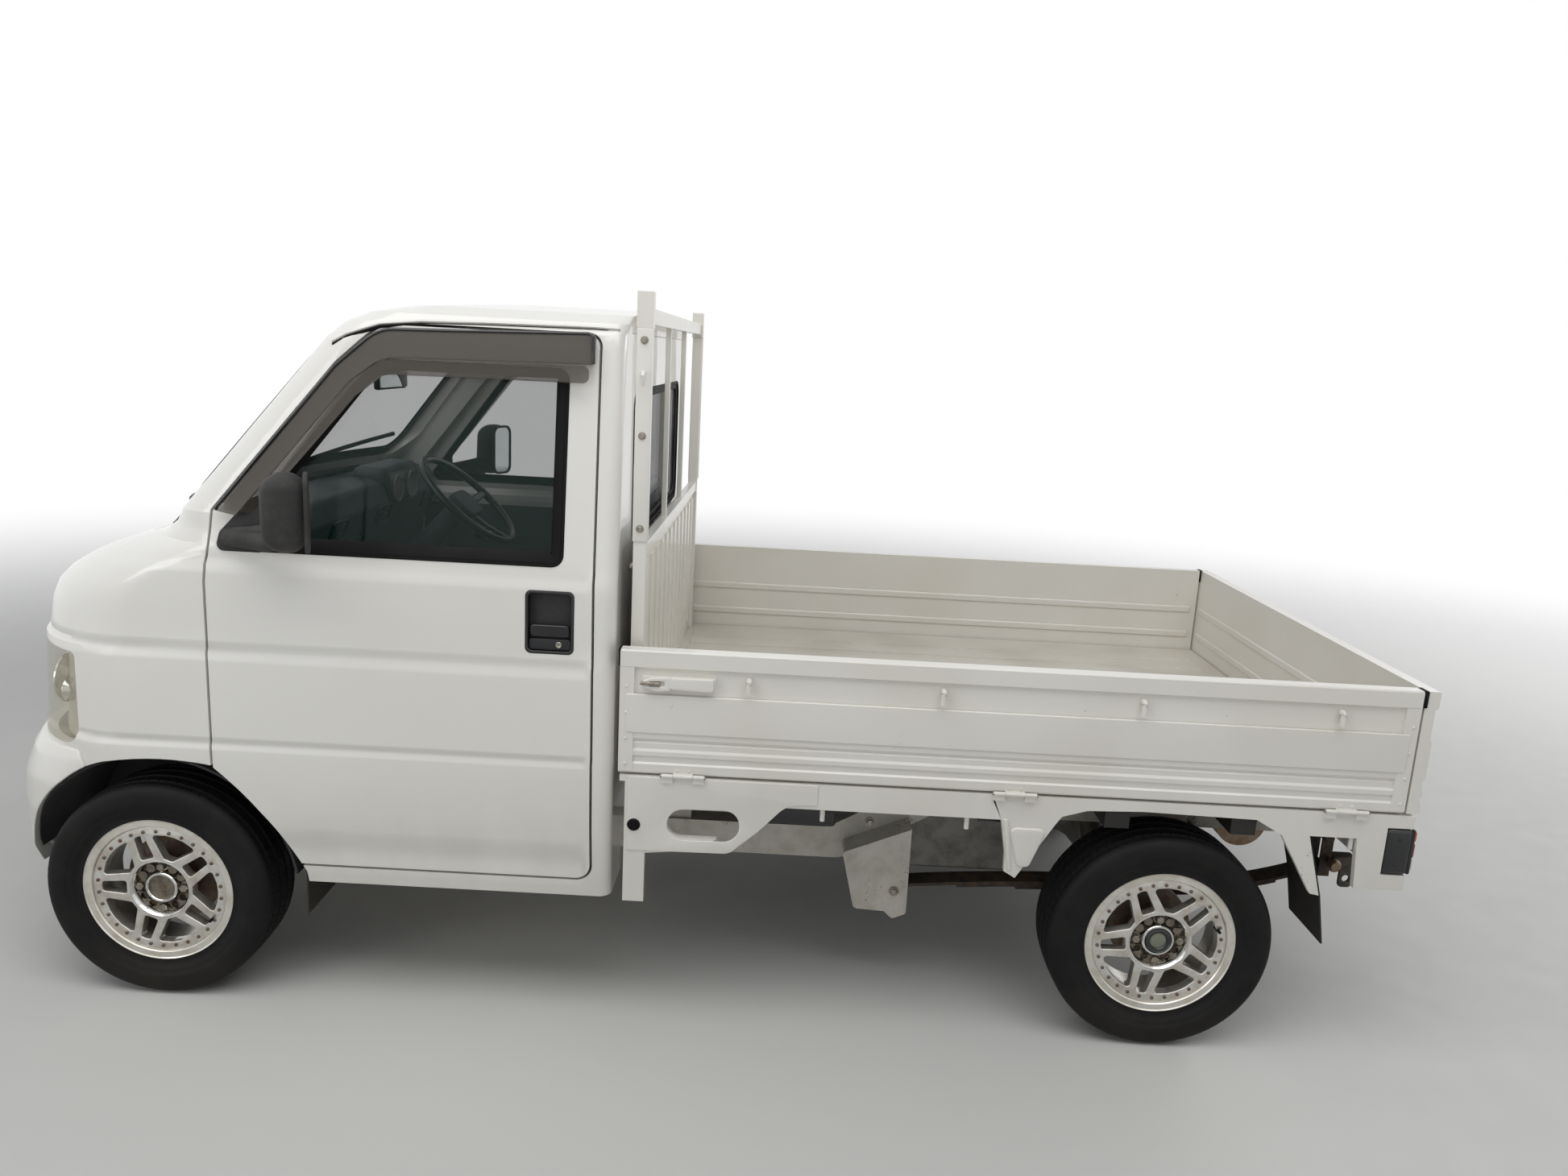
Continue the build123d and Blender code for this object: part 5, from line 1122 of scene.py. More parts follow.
@dataclass
class Wheel:
    """A 13-inch alloy wheel with five split spokes, a riveted ring and its tyre.

    Local frame: Z outwards along the axle, sizes in millimetres.
    """

    repeat: Repeater
    name: str
    axle_x: float
    side: Side
    front: bool
    tyre_r: float = 272.5
    tread_half: float = 64.0
    tyre_half: float = 82.5
    bead_r: float = 181.5
    rim_half: float = 73.0
    lip_r: float = 162.0
    rivet_r: float = 149.0
    rivets: int = 30
    window_r: float = 139.0
    hub_r: float = 70.0
    face: float = 65.0
    plate_t: float = 26.0
    spokes: int = 5
    pitches: int = 76

    def __post_init__(self) -> None:
        """Finds how far the spokes have turned, and the local angle that points up and back."""
        self.turn = 18.0 if self.front else 12.0
        self.up = -90.0 * self.side.value
        self.back = -self.side.value * (210.0 if self.front else 164.0)

    def matrix(self) -> Matrix:
        """Where the wheel's local frame lies in the truck's."""
        tilt = Matrix.Rotation(-self.side.value * math.pi / 2, 4, "X")
        centre = Vector((self.axle_x, self.side.value * WHEEL_Y, AXLE_Z)) * MM
        return Matrix.Translation(centre) @ tilt

    def polar(self, radius: float, degrees: float) -> Point2:
        """A point of the wheel's face."""
        return (radius * math.cos(math.radians(degrees)), radius * math.sin(math.radians(degrees)))

    def spoke_edge(self, arm: float, offset: float, radius: float, axis: float) -> Point2:
        """A point on a spoke's edge.

        Args:
            arm: 1 or -1, the arm of the spoke's V.
            offset: How far the edge lies from the arm's middle, outwards from the V.
            radius: How far out the point lies.
            axis: The V's direction in degrees.

        Returns:
            The point.
        """
        inner = Vector(self.polar(self.hub_r, axis + arm * 11.5))
        outer = Vector(self.polar(self.window_r + 6, axis + arm * 28))
        along = (outer - inner).normalized()
        across = Vector((-along.y, along.x)) * arm
        start = inner + across * offset
        half_b = start.dot(along)
        reach = -half_b + math.sqrt(half_b**2 - start.length_squared + radius**2)
        return tuple(start + along * reach)

    def windows(self) -> list[list[Point2]]:
        """The wide windows inside each V and the narrow ones between them."""
        loops = []
        step = 360 / self.spokes
        for index in range(self.spokes):
            axis = self.up - self.side.value * self.turn + index * step
            top = [self.polar(self.window_r + 1.5, axis + share * 18) for share in (-0.5, 0, 0.5)]
            loops.append(softened([self.spoke_edge(-1, -10.0, 80, axis), self.spoke_edge(-1, -9.0, self.window_r, axis),
                                   *top, self.spoke_edge(1, -9.0, self.window_r, axis),
                                   self.spoke_edge(1, -10.0, 80, axis)], 7))
            loops.append(softened([self.spoke_edge(1, 10.5, 82, axis), self.spoke_edge(1, 8.5, self.window_r, axis),
                                   self.polar(self.window_r + 1, axis + step / 2),
                                   self.spoke_edge(-1, 8.5, self.window_r, axis + step),
                                   self.spoke_edge(-1, 10.5, 82, axis + step)], 6))
        return loops

    def rim(self) -> Piece:
        """The rim's barrel, its lip and the spoked plate with its recessed hub."""
        lip, face, half, hub = self.lip_r, self.face, self.rim_half, self.hub_r
        barrel = lathe("barrel", (
            (lip - 1, face - 4), (lip, face + 3), (lip + 2, face + 5), (178, half - 3), (180.5, half - 1),
            (182, half - 1), (182, half - 5), (168, half - 12), (168, half - 26), (152, half - 38),
            (152, -half + 42), (168, -half + 28), (168, -half + 12), (182, -half + 5), (182, -half),
            (178, -half), (162, -half + 14), (162, -half + 28), (147, -half + 42), (146, half - 44),
            (150, face - 20),
        ), TURNED_ALLOY, steps=96, closed=True)
        spoked = plate("spoked", [circle(lip - 0.5, 96), *self.windows(), circle(self.hub_r, 60)],
                       self.plate_t, 1.8, SILVER_ALLOY)
        moved(spoked, 0, 0, face - self.plate_t / 2)
        dish = lathe("dish", (
            (hub + 3.4, face + 0.6), (hub + 1, face + 1), (hub - 1, face - 1), (hub - 8, face - 15),
            (hub - 8, face - 24), (hub + 3, face - 24), (hub + 3.4, face - 4),
        ), BRIGHT_CHROME, steps=60, closed=True)
        places = [self.polar(53, 30 * index) for index in range(12)]
        holes = [circle(9.4, 18, at) for at in places]
        floor = plate("hub-floor", [circle(hub - 6, 60), *holes, circle(37, 48)], 9, 1.2, HUB_ALLOY)
        moved(floor, 0, 0, face - 18)
        bore = lathe("bore", ((39, face - 20), (39, face - 8), (37.5, face - 6), (33.5, face - 6), (32, face - 8),
                              (32, face - 40), (39, face - 40)), BRIGHT_CHROME, steps=48, closed=True)
        return joined("rim", (barrel, spoked, dish, floor, bore))

    def fasteners(self) -> Piece:
        """The ring of rivets, the four nuts in the hub and the valve."""
        rivet = moved(screw_head("rivet", 4.6, 3.0, BRAKE_IRON), 0, 0, self.face)
        ring = self.repeat.round_axis("rivets", rivet, self.rivets, self.rivet_r, BRAKE_IRON, start=6)
        nut = moved(bolt_head("nut", 19, 16, ZINC_STEEL), 0, 0, self.face - 22)
        nuts = self.repeat.round_axis("nuts", nut, 4, 53, ZINC_STEEL)
        valve = lathe("valve", ((0, 30), (3.4, 29), (3.8, 26), (3.8, 15), (5, 13), (5.4, 0), (0, 0)), SEAL_RUBBER_AND_SHADOW,
                      steps=16)
        moved(valve, *self.polar(143, self.back), self.face - 16)
        return joined("fasteners", (ring, nuts, valve))

    def centre(self) -> Piece:
        """What fills the bore: the hub nut in front, the capped hub at the rear."""
        face = self.face
        if self.front:
            dome = lathe("hub-nose", ((0, face - 13), (9, face - 13), (11, face - 15), (12, face - 22),
                                      (19, face - 24), (21, face - 27), (21, face - 44), (0, face - 44)),
                         BRAKE_IRON, steps=32)
            return joined("centre", (dome, moved(bolt_head("hub-nut", 30, 15, ZINC_STEEL), 0, 0, face - 32)))
        ring = lathe("cap", ((31.8, face - 12), (31, face - 5), (28, face - 3), (21.5, face - 4), (20, face - 6),
                             (20, face - 14), (31.8, face - 20)), GLOSS_BLACK, steps=40, closed=True)
        disc = lathe("cap-disc", ((0, face - 5.2), (16, face - 5.6), (19.8, face - 7), (19.8, face - 14),
                                  (0, face - 14)), GUN_GREY, steps=40)
        return joined("centre", (ring, disc))

    def tread_pitch(self) -> Piece:
        """One pitch of the tread: ribs, grooves and curved sipes."""
        grooves = ((-48, 4.5, 5.5), (-17, 5.0, 7.0), (17, 5.0, 7.0), (48, 4.5, 5.5))
        stations: list[float] = [-self.tread_half, self.tread_half]
        for middle, half, _ in grooves:
            stations += [middle - half - 0.8, middle - half + 0.8, middle + half - 0.8, middle + half + 0.8]
        stations += [-60, -54, -36, -28, -8, 0, 8, 28, 36, 54, 60]
        stations.sort()
        angles = (0.0, 0.05, 0.07, 0.13, 0.15, 0.55, 1.0)
        pitch = math.tau / self.pitches
        points, faces = [], []
        for width in stations:
            depth = max((deep for middle, half, deep in grooves if abs(width - middle) < half), default=0.0)
            crown = 2.6 * (width / self.tread_half) ** 2
            for share in angles:
                cut = 3.4 if share in (0.07, 0.13) and (abs(width) > 30 or abs(width) < 10) else 0.0
                radius = self.tyre_r - crown - max(depth, cut)
                skew = 0.9 * math.sin(abs(width) / self.tread_half * 1.8) * (1 if width > 0 else -1)
                turn = pitch * (share + skew)
                points.append((radius * MM * math.cos(turn), radius * MM * math.sin(turn), width * MM))
        columns = len(angles)
        for row in range(len(stations) - 1):
            for column in range(columns - 1):
                start = row * columns + column
                faces.append((start, start + 1, start + columns + 1, start + columns))
        return mesh_object("tread-pitch", points, faces, TYRE_RUBBER)

    def tyre(self) -> Piece:
        """The tyre: a ring of tread pitches between two moulded sidewalls."""
        tread = self.repeat.round_axis("tread", self.tread_pitch(), self.pitches, 0.0, TYRE_RUBBER)
        edge = self.tyre_r - 2.6
        shoulder = [(edge, self.tread_half), (edge - 2.5, 70), (edge - 7, 76), (edge - 14, 80), (edge - 24, 82),
                    (edge - 40, self.tyre_half), (edge - 52, 81.5), (edge - 53, 80.6), (edge - 60, 79.5),
                    (edge - 68, 77), (edge - 69, 76), (edge - 77, 73.5), (self.bead_r + 4, 72.5),
                    (self.bead_r + 0.5, 73.5), (self.bead_r - 1, 70), (self.bead_r - 4, 64), (168.4, 60)]
        inner = [(radius, -width) for radius, width in reversed(shoulder)]
        walls = lathe("walls", [*shoulder, *inner], TYRE_RUBBER, steps=self.pitches)
        return tidy(joined("tyre", (tread, walls)), merge=0.0002, smooth=42)

    def build(self) -> None:
        """Builds the wheel and puts it on its body."""
        body = f"wheel_{self.name}"
        for piece, label, slot, nodes in (
            (self.tyre(), "tyre", "tyre_rubber", (f"tyre_{self.name}",)),
            (self.rim(), "rim", "alloy_rim", (f"rim_{self.name}",)),
            (self.fasteners(), "fasteners", "alloy_rim", ()),
            (self.centre(), "centre", "alloy_rim", ()),
        ):
            piece.name = f"wheel-{self.name}-{label}"
            placed(piece, self.matrix())
            finished(piece, body, slot, *nodes)


class Facing(Enum):
    """The way a surface faces, for outlines that are given in its flat view."""

    LEFT = "left"
    RIGHT = "right"
    FRONT = "front"
    REAR = "rear"

    def point(self, u: float, v: float, depth: float) -> Point3:
        """The place of a flat view's point at a depth, in millimetres."""
        if self in (Facing.LEFT, Facing.RIGHT):
            return (u, depth if self is Facing.LEFT else -depth, v)
        return (depth if self is Facing.FRONT else -depth, u, v)


@dataclass
class Skin:
    """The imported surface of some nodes, asked where it lies along rays that start beyond the truck."""

    nodes: dict[str, Piece]
    names: Sequence[str]
    trees: list[BVHTree] = field(default_factory=list)
    beyond: float = 3000.0

    def __post_init__(self) -> None:
        """Reads the nodes' meshes."""
        for name in self.names:
            mesh = self.nodes[name].data
            self.trees.append(BVHTree.FromPolygons([v.co for v in mesh.vertices], [p.vertices for p in mesh.polygons]))

    def depth(self, facing: Facing, u: float, v: float) -> float | None:
        """How far out the surface lies at a point of a flat view.

        Args:
            facing: The view.
            u: The point's first coordinate in millimetres.
            v: Its second one.

        Returns:
            The depth in millimetres, or None where nothing is hit.
        """
        far = Vector(facing.point(u, v, self.beyond)) * MM
        way = (Vector(facing.point(u, v, 0.0)) * MM - far).normalized()
        reaches = [tree.ray_cast(far, way)[3] for tree in self.trees]
        return max((self.beyond - reach / MM for reach in reaches if reach is not None), default=None)

    def near(self, facing: Facing, u: float, v: float) -> float:
        """The depth at a point, or at the nearest place inwards where the surface has one."""
        found = (self.depth(facing, u * share, v) for share in (1.0, 0.98, 0.95, 0.9, 0.8))
        return next((depth for depth in found if depth is not None), 0.0)


def draped(piece: Piece, facing: Facing, surface: Callable[[float, float], float]) -> Piece:
    """Lays a flat plate on a surface.

    Args:
        piece: The plate, with the flat view in its XY plane and its outside along Z.
        facing: The view.
        surface: Gives the surface's depth at a point of the view.

    Returns:
        The same piece, in place.
    """
    for vertex in piece.data.vertices:
        u, v, lift = (value / MM for value in vertex.co)
        vertex.co = Vector(facing.point(u, v, surface(u, v) + lift)) * MM
    return tidy(piece)


def laid(piece: Piece, facing: Facing, depth: float) -> Piece:
    """Lays a flat plate at an even depth, in millimetres."""
    return draped(piece, facing, lambda u, v: depth)


@dataclass
class Seal:
    """A rubber seal round a pane, from the panel's skin down to the glass. Sizes in millimetres."""

    name: str
    body: str
    facing: Facing
    outline: Sequence[tuple[float, float, float]]
    glass: Skin
    step: float
    width: float = 20.0
    low_width: float = 20.0
    rear_width: float = 20.0

    def build(self) -> None:
        """Builds the seal round its pane."""
        loop = spaced(softened([row[:2] for row in self.outline], [row[2] for row in self.outline], 6), 40)
        ways = outwards(loop)
        points: list[Vector] = []
        for at, way in zip(loop, ways):
            near, deep = (self.glass.depth(self.facing, at[0] - way.x * inset, at[1] - way.y * inset)
                          for inset in (6, 18))
            slope = (near - deep) / 12
            width = self.width + (self.low_width - self.width) * max(0.0, -way.y)
            width += (self.rear_width - self.width) * max(0.0, -way.x)
            for offset, lift in ((4, self.step + 0.4), (2, self.step + 2), (-3, self.step + 1.4), (-5, self.step - 3),
                                 (3 - width, 3.4), (-width, 0.5), (-width, -1.5)):
                depth = near + slope * (offset + 6) + lift
                points.append(Vector(self.facing.point(at[0] + way.x * offset, at[1] + way.y * offset, depth)) * MM)
        rows, count = 7, len(loop)
        faces = []
        for index in range(count):
            ahead = (index + 1) % count
            for row in range(rows - 1):
                faces.append((index * rows + row, ahead * rows + row, ahead * rows + row + 1, index * rows + row + 1))
            faces.append((index * rows + rows - 1, ahead * rows + rows - 1, ahead * rows, index * rows))
        finished(tidy(mesh_object(self.name, points, faces, SEAL_RUBBER_AND_SHADOW)), self.body, "flap_rubber")


@dataclass
class DoorTrim:
    """What a door carries: its window seal, its visor's edges, its mirror and its recessed handle."""

    nodes: dict[str, Piece]
    side: Side
    window: tuple = ((1066, 1122, 22), (1066, 1150, 12), (798, 1500, 40), (744, 1556, 60), (322, 1556, 24),
                     (322, 1122, 24))
    visor: tuple = ((1100, 1210, 4), (838, 1541, 60), (742, 1628, 90), (264, 1640, 12), (264, 1570, 6),
                    (730, 1562, 80), (800, 1510, 60), (1050, 1200, 4))
    visor_lip: tuple = ((270, 1568), (270, 1530), (724, 1526), (786, 1478), (1020, 1190), (1046, 1202), (800, 1508),
                        (730, 1560))
    handle: Point2 = (346.0, 992.0)
    handle_w: float = 112.0
    handle_h: float = 148.0
    handle_out: float = 727.5
    mirror_low: Point3 = (850.0, 778.0, 1142.0)
    mirror_high: Point3 = (932.0, 876.0, 1316.0)
    mirror_turn: float = 22.0
    pane_middle: Point2 = (640.0, 1420.0)
    # The door's width at its sill, the sill's height, and how far the skin leans in above it, first more steeply
    sill_y: float = 726.0
    sill_z: float = 1086.0
    lean: float = 0.125
    lean_foot: float = 0.1
    foot_z: float = 1130.0

    def __post_init__(self) -> None:
        """Finds the door's body, view and surfaces."""
        self.body = f"door_{self.side.word}"
        self.facing = Facing.LEFT if self.side is Side.LEFT else Facing.RIGHT
        self.glass = Skin(self.nodes, [f"door_glass_{self.side.word}"])
        self.panel = Skin(self.nodes, [self.body, "cab_sides", "cab_nose"])

    def skin(self, x: float, z: float) -> float:
        """The depth of the door's outer skin, also across its window."""
        tumble = (self.sill_y - max(0.0, z - self.sill_z) * self.lean
                  - max(0.0, min(z, self.foot_z) - self.sill_z) * self.lean_foot)
        hit = self.panel.depth(self.facing, x, z)
        return hit if hit is not None and hit > tumble - 9 else tumble

    def visor_edges(self) -> None:
        """The black strip along the visor's top and its black rear end."""
        skin = Skin(self.nodes, [f"door_visor_{self.side.word}"])
        rounded = softened([row[:2] for row in self.visor], [row[2] for row in self.visor], 8)
        last = max(index for index, point in enumerate(rounded) if point[1] > 1625)
        top = spaced(rounded[2:last], 60, closed=False)
        middle = self.pane_middle
        route = []
        for x, z in top:
            inwards = (Vector(middle) - Vector((x, z))).normalized() * 4
            depth = skin.depth(self.facing, x + inwards.x, z + inwards.y)
            if depth is not None:
                route.append(self.facing.point(x + inwards.x, z + inwards.y, depth + 0.5))
        strip = tube("strip", route, 5.0, GLOSS_BLACK, sides=8, flat=0.7)
        end = rounded_box("end", (262, 668, 1572), (272, 678, 1634), 2, GLOSS_BLACK)
        finished(joined(f"{self.body}-visor-edges", (strip, sided(end, self.side))), self.body, "dark_plastic")
        lip = plate("lip", [spaced(softened(self.visor_lip, 14, 5), 40)], 3, 1, SMOKED_ACRYLIC)

        def over_glass(x: float, z: float) -> float:
            away = (Vector((x, z)) - Vector(middle)).normalized()
            hits = (skin.depth(self.facing, x + away.x * reach, z + away.y * reach) for reach in range(0, 90, 6))
            return next((hit for hit in hits if hit is not None), 700.0)

        finished(draped(lip, self.facing, over_glass), self.body, "smoked_acrylic")

    def mirror(self) -> None:
        """The door mirror: a domed housing, its glass and its foot on the corner of the window."""
        low, high = self.mirror_low, self.mirror_high
        shell = rounded_box("shell", low, high, 38, WEATHERED_PLASTIC, steps=6)
        middle = Vector([(a + b) / 2 for a, b in zip(low, high)]) * MM
        half = (high[2] - low[2]) / 2 * MM
        for vertex in shell.data.vertices:
            rise = (vertex.co.z - middle.z) / half
            ahead = (vertex.co.x - middle.x) * 1000
            if ahead > 0:
                vertex.co.x += (14 - 14 * rise * rise) * MM
            vertex.co.y += 0.006 * rise
        rim = plate("rim", [rectangle(-49, -86, 49, 86, 28, 6), rectangle(-43, -78, 43, 78, 24, 6)], 10, 3,
                    WEATHERED_PLASTIC)
        glass = plate("glass", [rectangle(-44, -79, 44, 79, 24, 6)], 3, 0.5, MIRROR_SILVER)
        face = Matrix.Translation((low[0] * MM, middle.y, middle.z)) @ Matrix.Rotation(-math.pi / 2, 4, "Y")
        turned = face @ Matrix.Rotation(math.pi / 2, 4, "Z")
        axis = Matrix.Translation(middle)
        inwards = axis @ Matrix.Rotation(math.radians(self.mirror_turn), 4, "Z") @ axis.inverted()
        for flat in (rim, glass):
            placed(flat, turned)
        for part in (shell, rim, glass):
            placed(part, inwards)
        arm = []
        for route, radius in ((((912, 800, 1160), (960, 782, 1153), (1020, 745, 1150), (1078, 716, 1148)), 17.0),
                              (((900, 790, 1196), (950, 772, 1180), (1010, 742, 1166), (1070, 716, 1156)), 12.0)):
            arm.append(tube("arm", route, radius, WEATHERED_PLASTIC, sides=14, flat=1.2))
        foot = plate("foot", [softened([(1104, 1117), (1094, 1160), (1000, 1266), (1000, 1117)],
                                       [30, 26, 10, 4], 6)], 8, 2.5, LINER_PLASTIC)
        draped(foot, Facing.LEFT, lambda x, z: self.skin(x, z) + 1)
        whole = joined(f"{self.body}-mirror", (shell, rim, glass, *arm, foot))
        finished(sided(tidy(whole, smooth=45), self.side), self.body, "dark_plastic", f"door_fittings_{self.side.word}")

    def pull(self) -> None:
        """The recessed handle: a black bowl with its flap, lower panel and key cylinder."""
        x, z = self.handle
        half_w, half_h, out = self.handle_w / 2, self.handle_h / 2, self.handle_out
        inner = (x - half_w + 7, z - half_h + 7, x + half_w - 7, z + half_h - 7)
        bezel = plate("bezel", [rectangle(x - half_w, z - half_h, x + half_w, z + half_h, 15, 6),
                                rectangle(*inner, 10, 6)], 22, 1.6, GLOSS_BLACK)
        floor = plate("floor", [rectangle(*inner, 9)], 4, 0.5, LINER_PLASTIC)
        flap = plate("flap", [softened([(x - 46, z - 36), (x + 46, z - 36), (x + 44, z - 6), (x - 44, z - 6)], 9, 5)],
                     9, 3, GLOSS_BLACK)
        for vertex in flap.data.vertices:
            vertex.co.z += (vertex.co.y / MM - (z - 36)) * 0.22 * MM
        lower = plate("lower", [rectangle(x - 48, z - 66, x + 48, z - 40, 7)], 6, 2, LINER_PLASTIC)
        for part, depth in ((bezel, out - 10), (floor, out - 20), (flap, out - 9), (lower, out - 8)):
            laid(part, Facing.LEFT, depth)
        key = lathe("key", ((0, 3.2), (2.2, 3.2), (2.6, 2.2), (6.4, 3.4), (7.4, 2.4), (7.4, -4), (0, -4)), ZINC_STEEL,
                    steps=24)
        placed(key, Matrix.Translation(Vector((x - 20, out - 6, z - 53)) * MM) @ Matrix.Rotation(-math.pi / 2, 4, "X"))
        whole = joined(f"{self.body}-handle", (bezel, floor, flap, lower, key))
        finished(sided(whole, self.side), self.body, "dark_plastic")

    def build(self) -> None:
        """Builds the door's trim."""
        Seal(f"{self.body}-window-seal", self.body, self.facing, self.window, self.glass, 12.0, 20, 30, 27).build()
        self.visor_edges()
        self.mirror()
        self.pull()


@dataclass
class CabTrim:
    """Arch liners, seals of the fixed panes, drip rails, cowl, wipers and what lies behind the headlamps' lenses."""

    nodes: dict[str, Piece]
    repeat: Repeater
    screen: tuple = ((-640, 1216, 70), (640, 1216, 70), (585, 1588, 55), (-585, 1588, 55))
    rear_pane: tuple = ((-500, 1140, 45), (500, 1140, 45), (500, 1510, 45), (-500, 1510, 45))
    rail: tuple = ((852, 1592), (818, 1611), (746, 1636), (657, 1646), (514, 1650), (273, 1653), (215, 1652))
    lamp_z: float = 744.0
    # The liners stay this far inside the panels, come no nearer to the middle, and end under the bumper
    liner_gap: float = 9.0
    liner_y: float = 560.0
    bumper_x: float = 1480.0

    def seals(self) -> None:
        """The seals of the windscreen and the rear window."""
        Seal("windscreen-seal", "chassis", Facing.FRONT, self.screen, Skin(self.nodes, ["windscreen"]), 7.0,
             24, 30, 24).build()
        Seal("rear-window-seal", "chassis", Facing.REAR, self.rear_pane, Skin(self.nodes, ["rear_window"]), 8.0,
             22, 22, 22).build()

    def drip_rails(self) -> None:
        """The folded drip rail over each door, with a black tube under it as painted shadow."""
        skin = Skin(self.nodes, ["cab_roof", "cab_sides"])
        rails = []
        for facing in (Facing.LEFT, Facing.RIGHT):
            route = []
            for x, z in spaced(self.rail, 45, closed=False):
                depth = skin.depth(facing, x, z)
                if depth is not None:
                    route.append(facing.point(x, z, depth + 2))
            rails.append(tube("rail", route, 7.0, BODY_ENAMEL, sides=10, flat=0.55))
            # A black tube just under each rail: painted shadow under the rail's overhang
            rails.append(tube("line", [(x, y, z - 7.5) for x, y, z in route], 4.0, SEAL_RUBBER_AND_SHADOW, sides=8))
        finished(joined("drip-rails", rails), "chassis", "body_paint")

    def cowl(self) -> None:
        """The slotted black grille across the windscreen's foot."""
        skin = Skin(self.nodes, ["cab_nose"])
        strip = plate("strip", [spaced(rectangle(-590, 1150, 590, 1192, 8), 60)], 5, 1.5, LINER_PLASTIC)
        draped(strip, Facing.FRONT, lambda y, z: skin.near(Facing.FRONT, y, z) + 1)
        slots = []
        for place in range(-27, 28):
            for low in (1158, 1174):
                depth = skin.depth(Facing.FRONT, place * 20, low + 4)
                slots.append(((depth + 3.2, place * 20, low + 4), (0.66, 0, 0.75)))
        slot = rounded_box("slot", (-4, -8, -1), (4, 8, 1.5), 1.2, GLOSS_BLACK, steps=1)
        bars = self.repeat.at_points("slots", slot, slots, GLOSS_BLACK)
        finished(joined("cowl-grille", (strip, bars)), "chassis", "dark_plastic")

    def wipers(self) -> None:
        """Two wipers parked along the foot of the windscreen."""
        skin = Skin(self.nodes, ["windscreen", "cab_nose", "cab_roof"])
        parts = []
        for pivot in (-60.0, 500.0):
            at = (skin.depth(Facing.FRONT, pivot, 1190) + 8, pivot, 1198.0)
            boss = lathe("boss", ((0, 12), (10, 11), (14, 6), (15, -14), (0, -14)), GLOSS_BLACK, steps=20)
            placed(boss, Matrix.Translation(Vector(at) * MM) @ Matrix.Rotation(math.radians(46), 4, "Y"))
            tip = (pivot - 300.0, 1262.0)
            arm = []
            for share in (0, 0.25, 0.5, 0.75, 1):
                y, z = pivot + (tip[0] - pivot) * share, 1200 + (tip[1] - 1200) * share
                arm.append((skin.depth(Facing.FRONT, y, z) + 22 - 4 * share, y, z))
            parts += [boss, tube("arm", arm, 5.0, GLOSS_BLACK, sides=8, flat=0.6)]
            blade, rubber = [], []
            for step in range(13):
                y = tip[0] + 210 - step * 35
                z = tip[1] - 26 + step * 4.3
                depth = skin.depth(Facing.FRONT, y, z)
                blade.append((depth + 13, y, z))
                rubber.append((depth + 5, y, z))
            parts += [tube("blade", blade, 4.0, GLOSS_BLACK, sides=8),
                      tube("rubber", rubber, 4.5, SEAL_RUBBER_AND_SHADOW, sides=6, flat=1.6)]
        finished(joined("wipers", parts), "chassis", "dark_plastic")

    def headlamps(self) -> None:
        """Reflectors with their bulbs behind the hazed lenses."""
        inner = tidy(copied(self.nodes["headlamps"], "reflectors"))
        work = bmesh.new()
        work.from_mesh(inner.data)
        bmesh.ops.remove_doubles(work, verts=work.verts, dist=0.0004)
        work.to_mesh(inner.data)
        work.free()
        for vertex in inner.data.vertices:
            vertex.co -= vertex.normal * 0.004 + Vector((0.048, 0, 0))
        inner.data.materials.clear()
        inner.data.materials.append(LAMP_BOWL.material())
        bowls = [inner]
        lens = Skin(self.nodes, ["headlamps"])
        for side in Side:
            for y, radius in ((545, 60.0), (640, 26.0)):
                x = min(lens.near(Facing.FRONT, (y + shift) * side.value, self.lamp_z)
                        for shift in (-radius * 0.5, radius * 0.9)) - 42
                at = (x, y * side.value, self.lamp_z)
                bowls += [turned(((0, 0), (radius * 0.3, 1), (radius * 0.7, 9), (radius, 24), (radius + 3, 24),
                                  (radius + 3, 20), (radius * 0.72, 4), (0, -5)), BRIGHT_CHROME, 36, at, (1, 0, 0)),
                          turned(((0, 26), (5, 24), (7, 18), (7, 2), (0, 0)), CLEAR_LENS, 14, at, (1, 0, 0))]
        finished(joined("headlamp-reflectors", bowls), "chassis", "headlamp_lens")

    def liners(self) -> None:
        """The arch liners, kept inside the bumper and the wings."""
        panels = Skin(self.nodes, ["front_bumper", "cab_nose"])
        liner = copied(self.nodes["arch_liners"], "arch-liners")
        tidy(liner)
        for vertex in liner.data.vertices:
            x, y, z = vertex.co / MM
            facing = Facing.LEFT if y > 0 else Facing.RIGHT
            reach = (0, 12, 24, 40, 60) if x > self.bumper_x else (0,)
            depth = next((hit for ahead in reach if (hit := panels.depth(facing, x + ahead, z)) is not None), None)
            if depth is not None and depth - self.liner_gap < abs(y) and abs(y) > self.liner_y:
                vertex.co.y = math.copysign(max(depth - self.liner_gap, self.liner_y), y) * MM
        finished(liner, "chassis", "dark_plastic", "arch_liners")

    def build(self) -> None:
        """Builds the cab's trim."""
        self.liners()
        self.seals()
        self.drip_rails()
        self.cowl()
        self.wipers()
        self.headlamps()


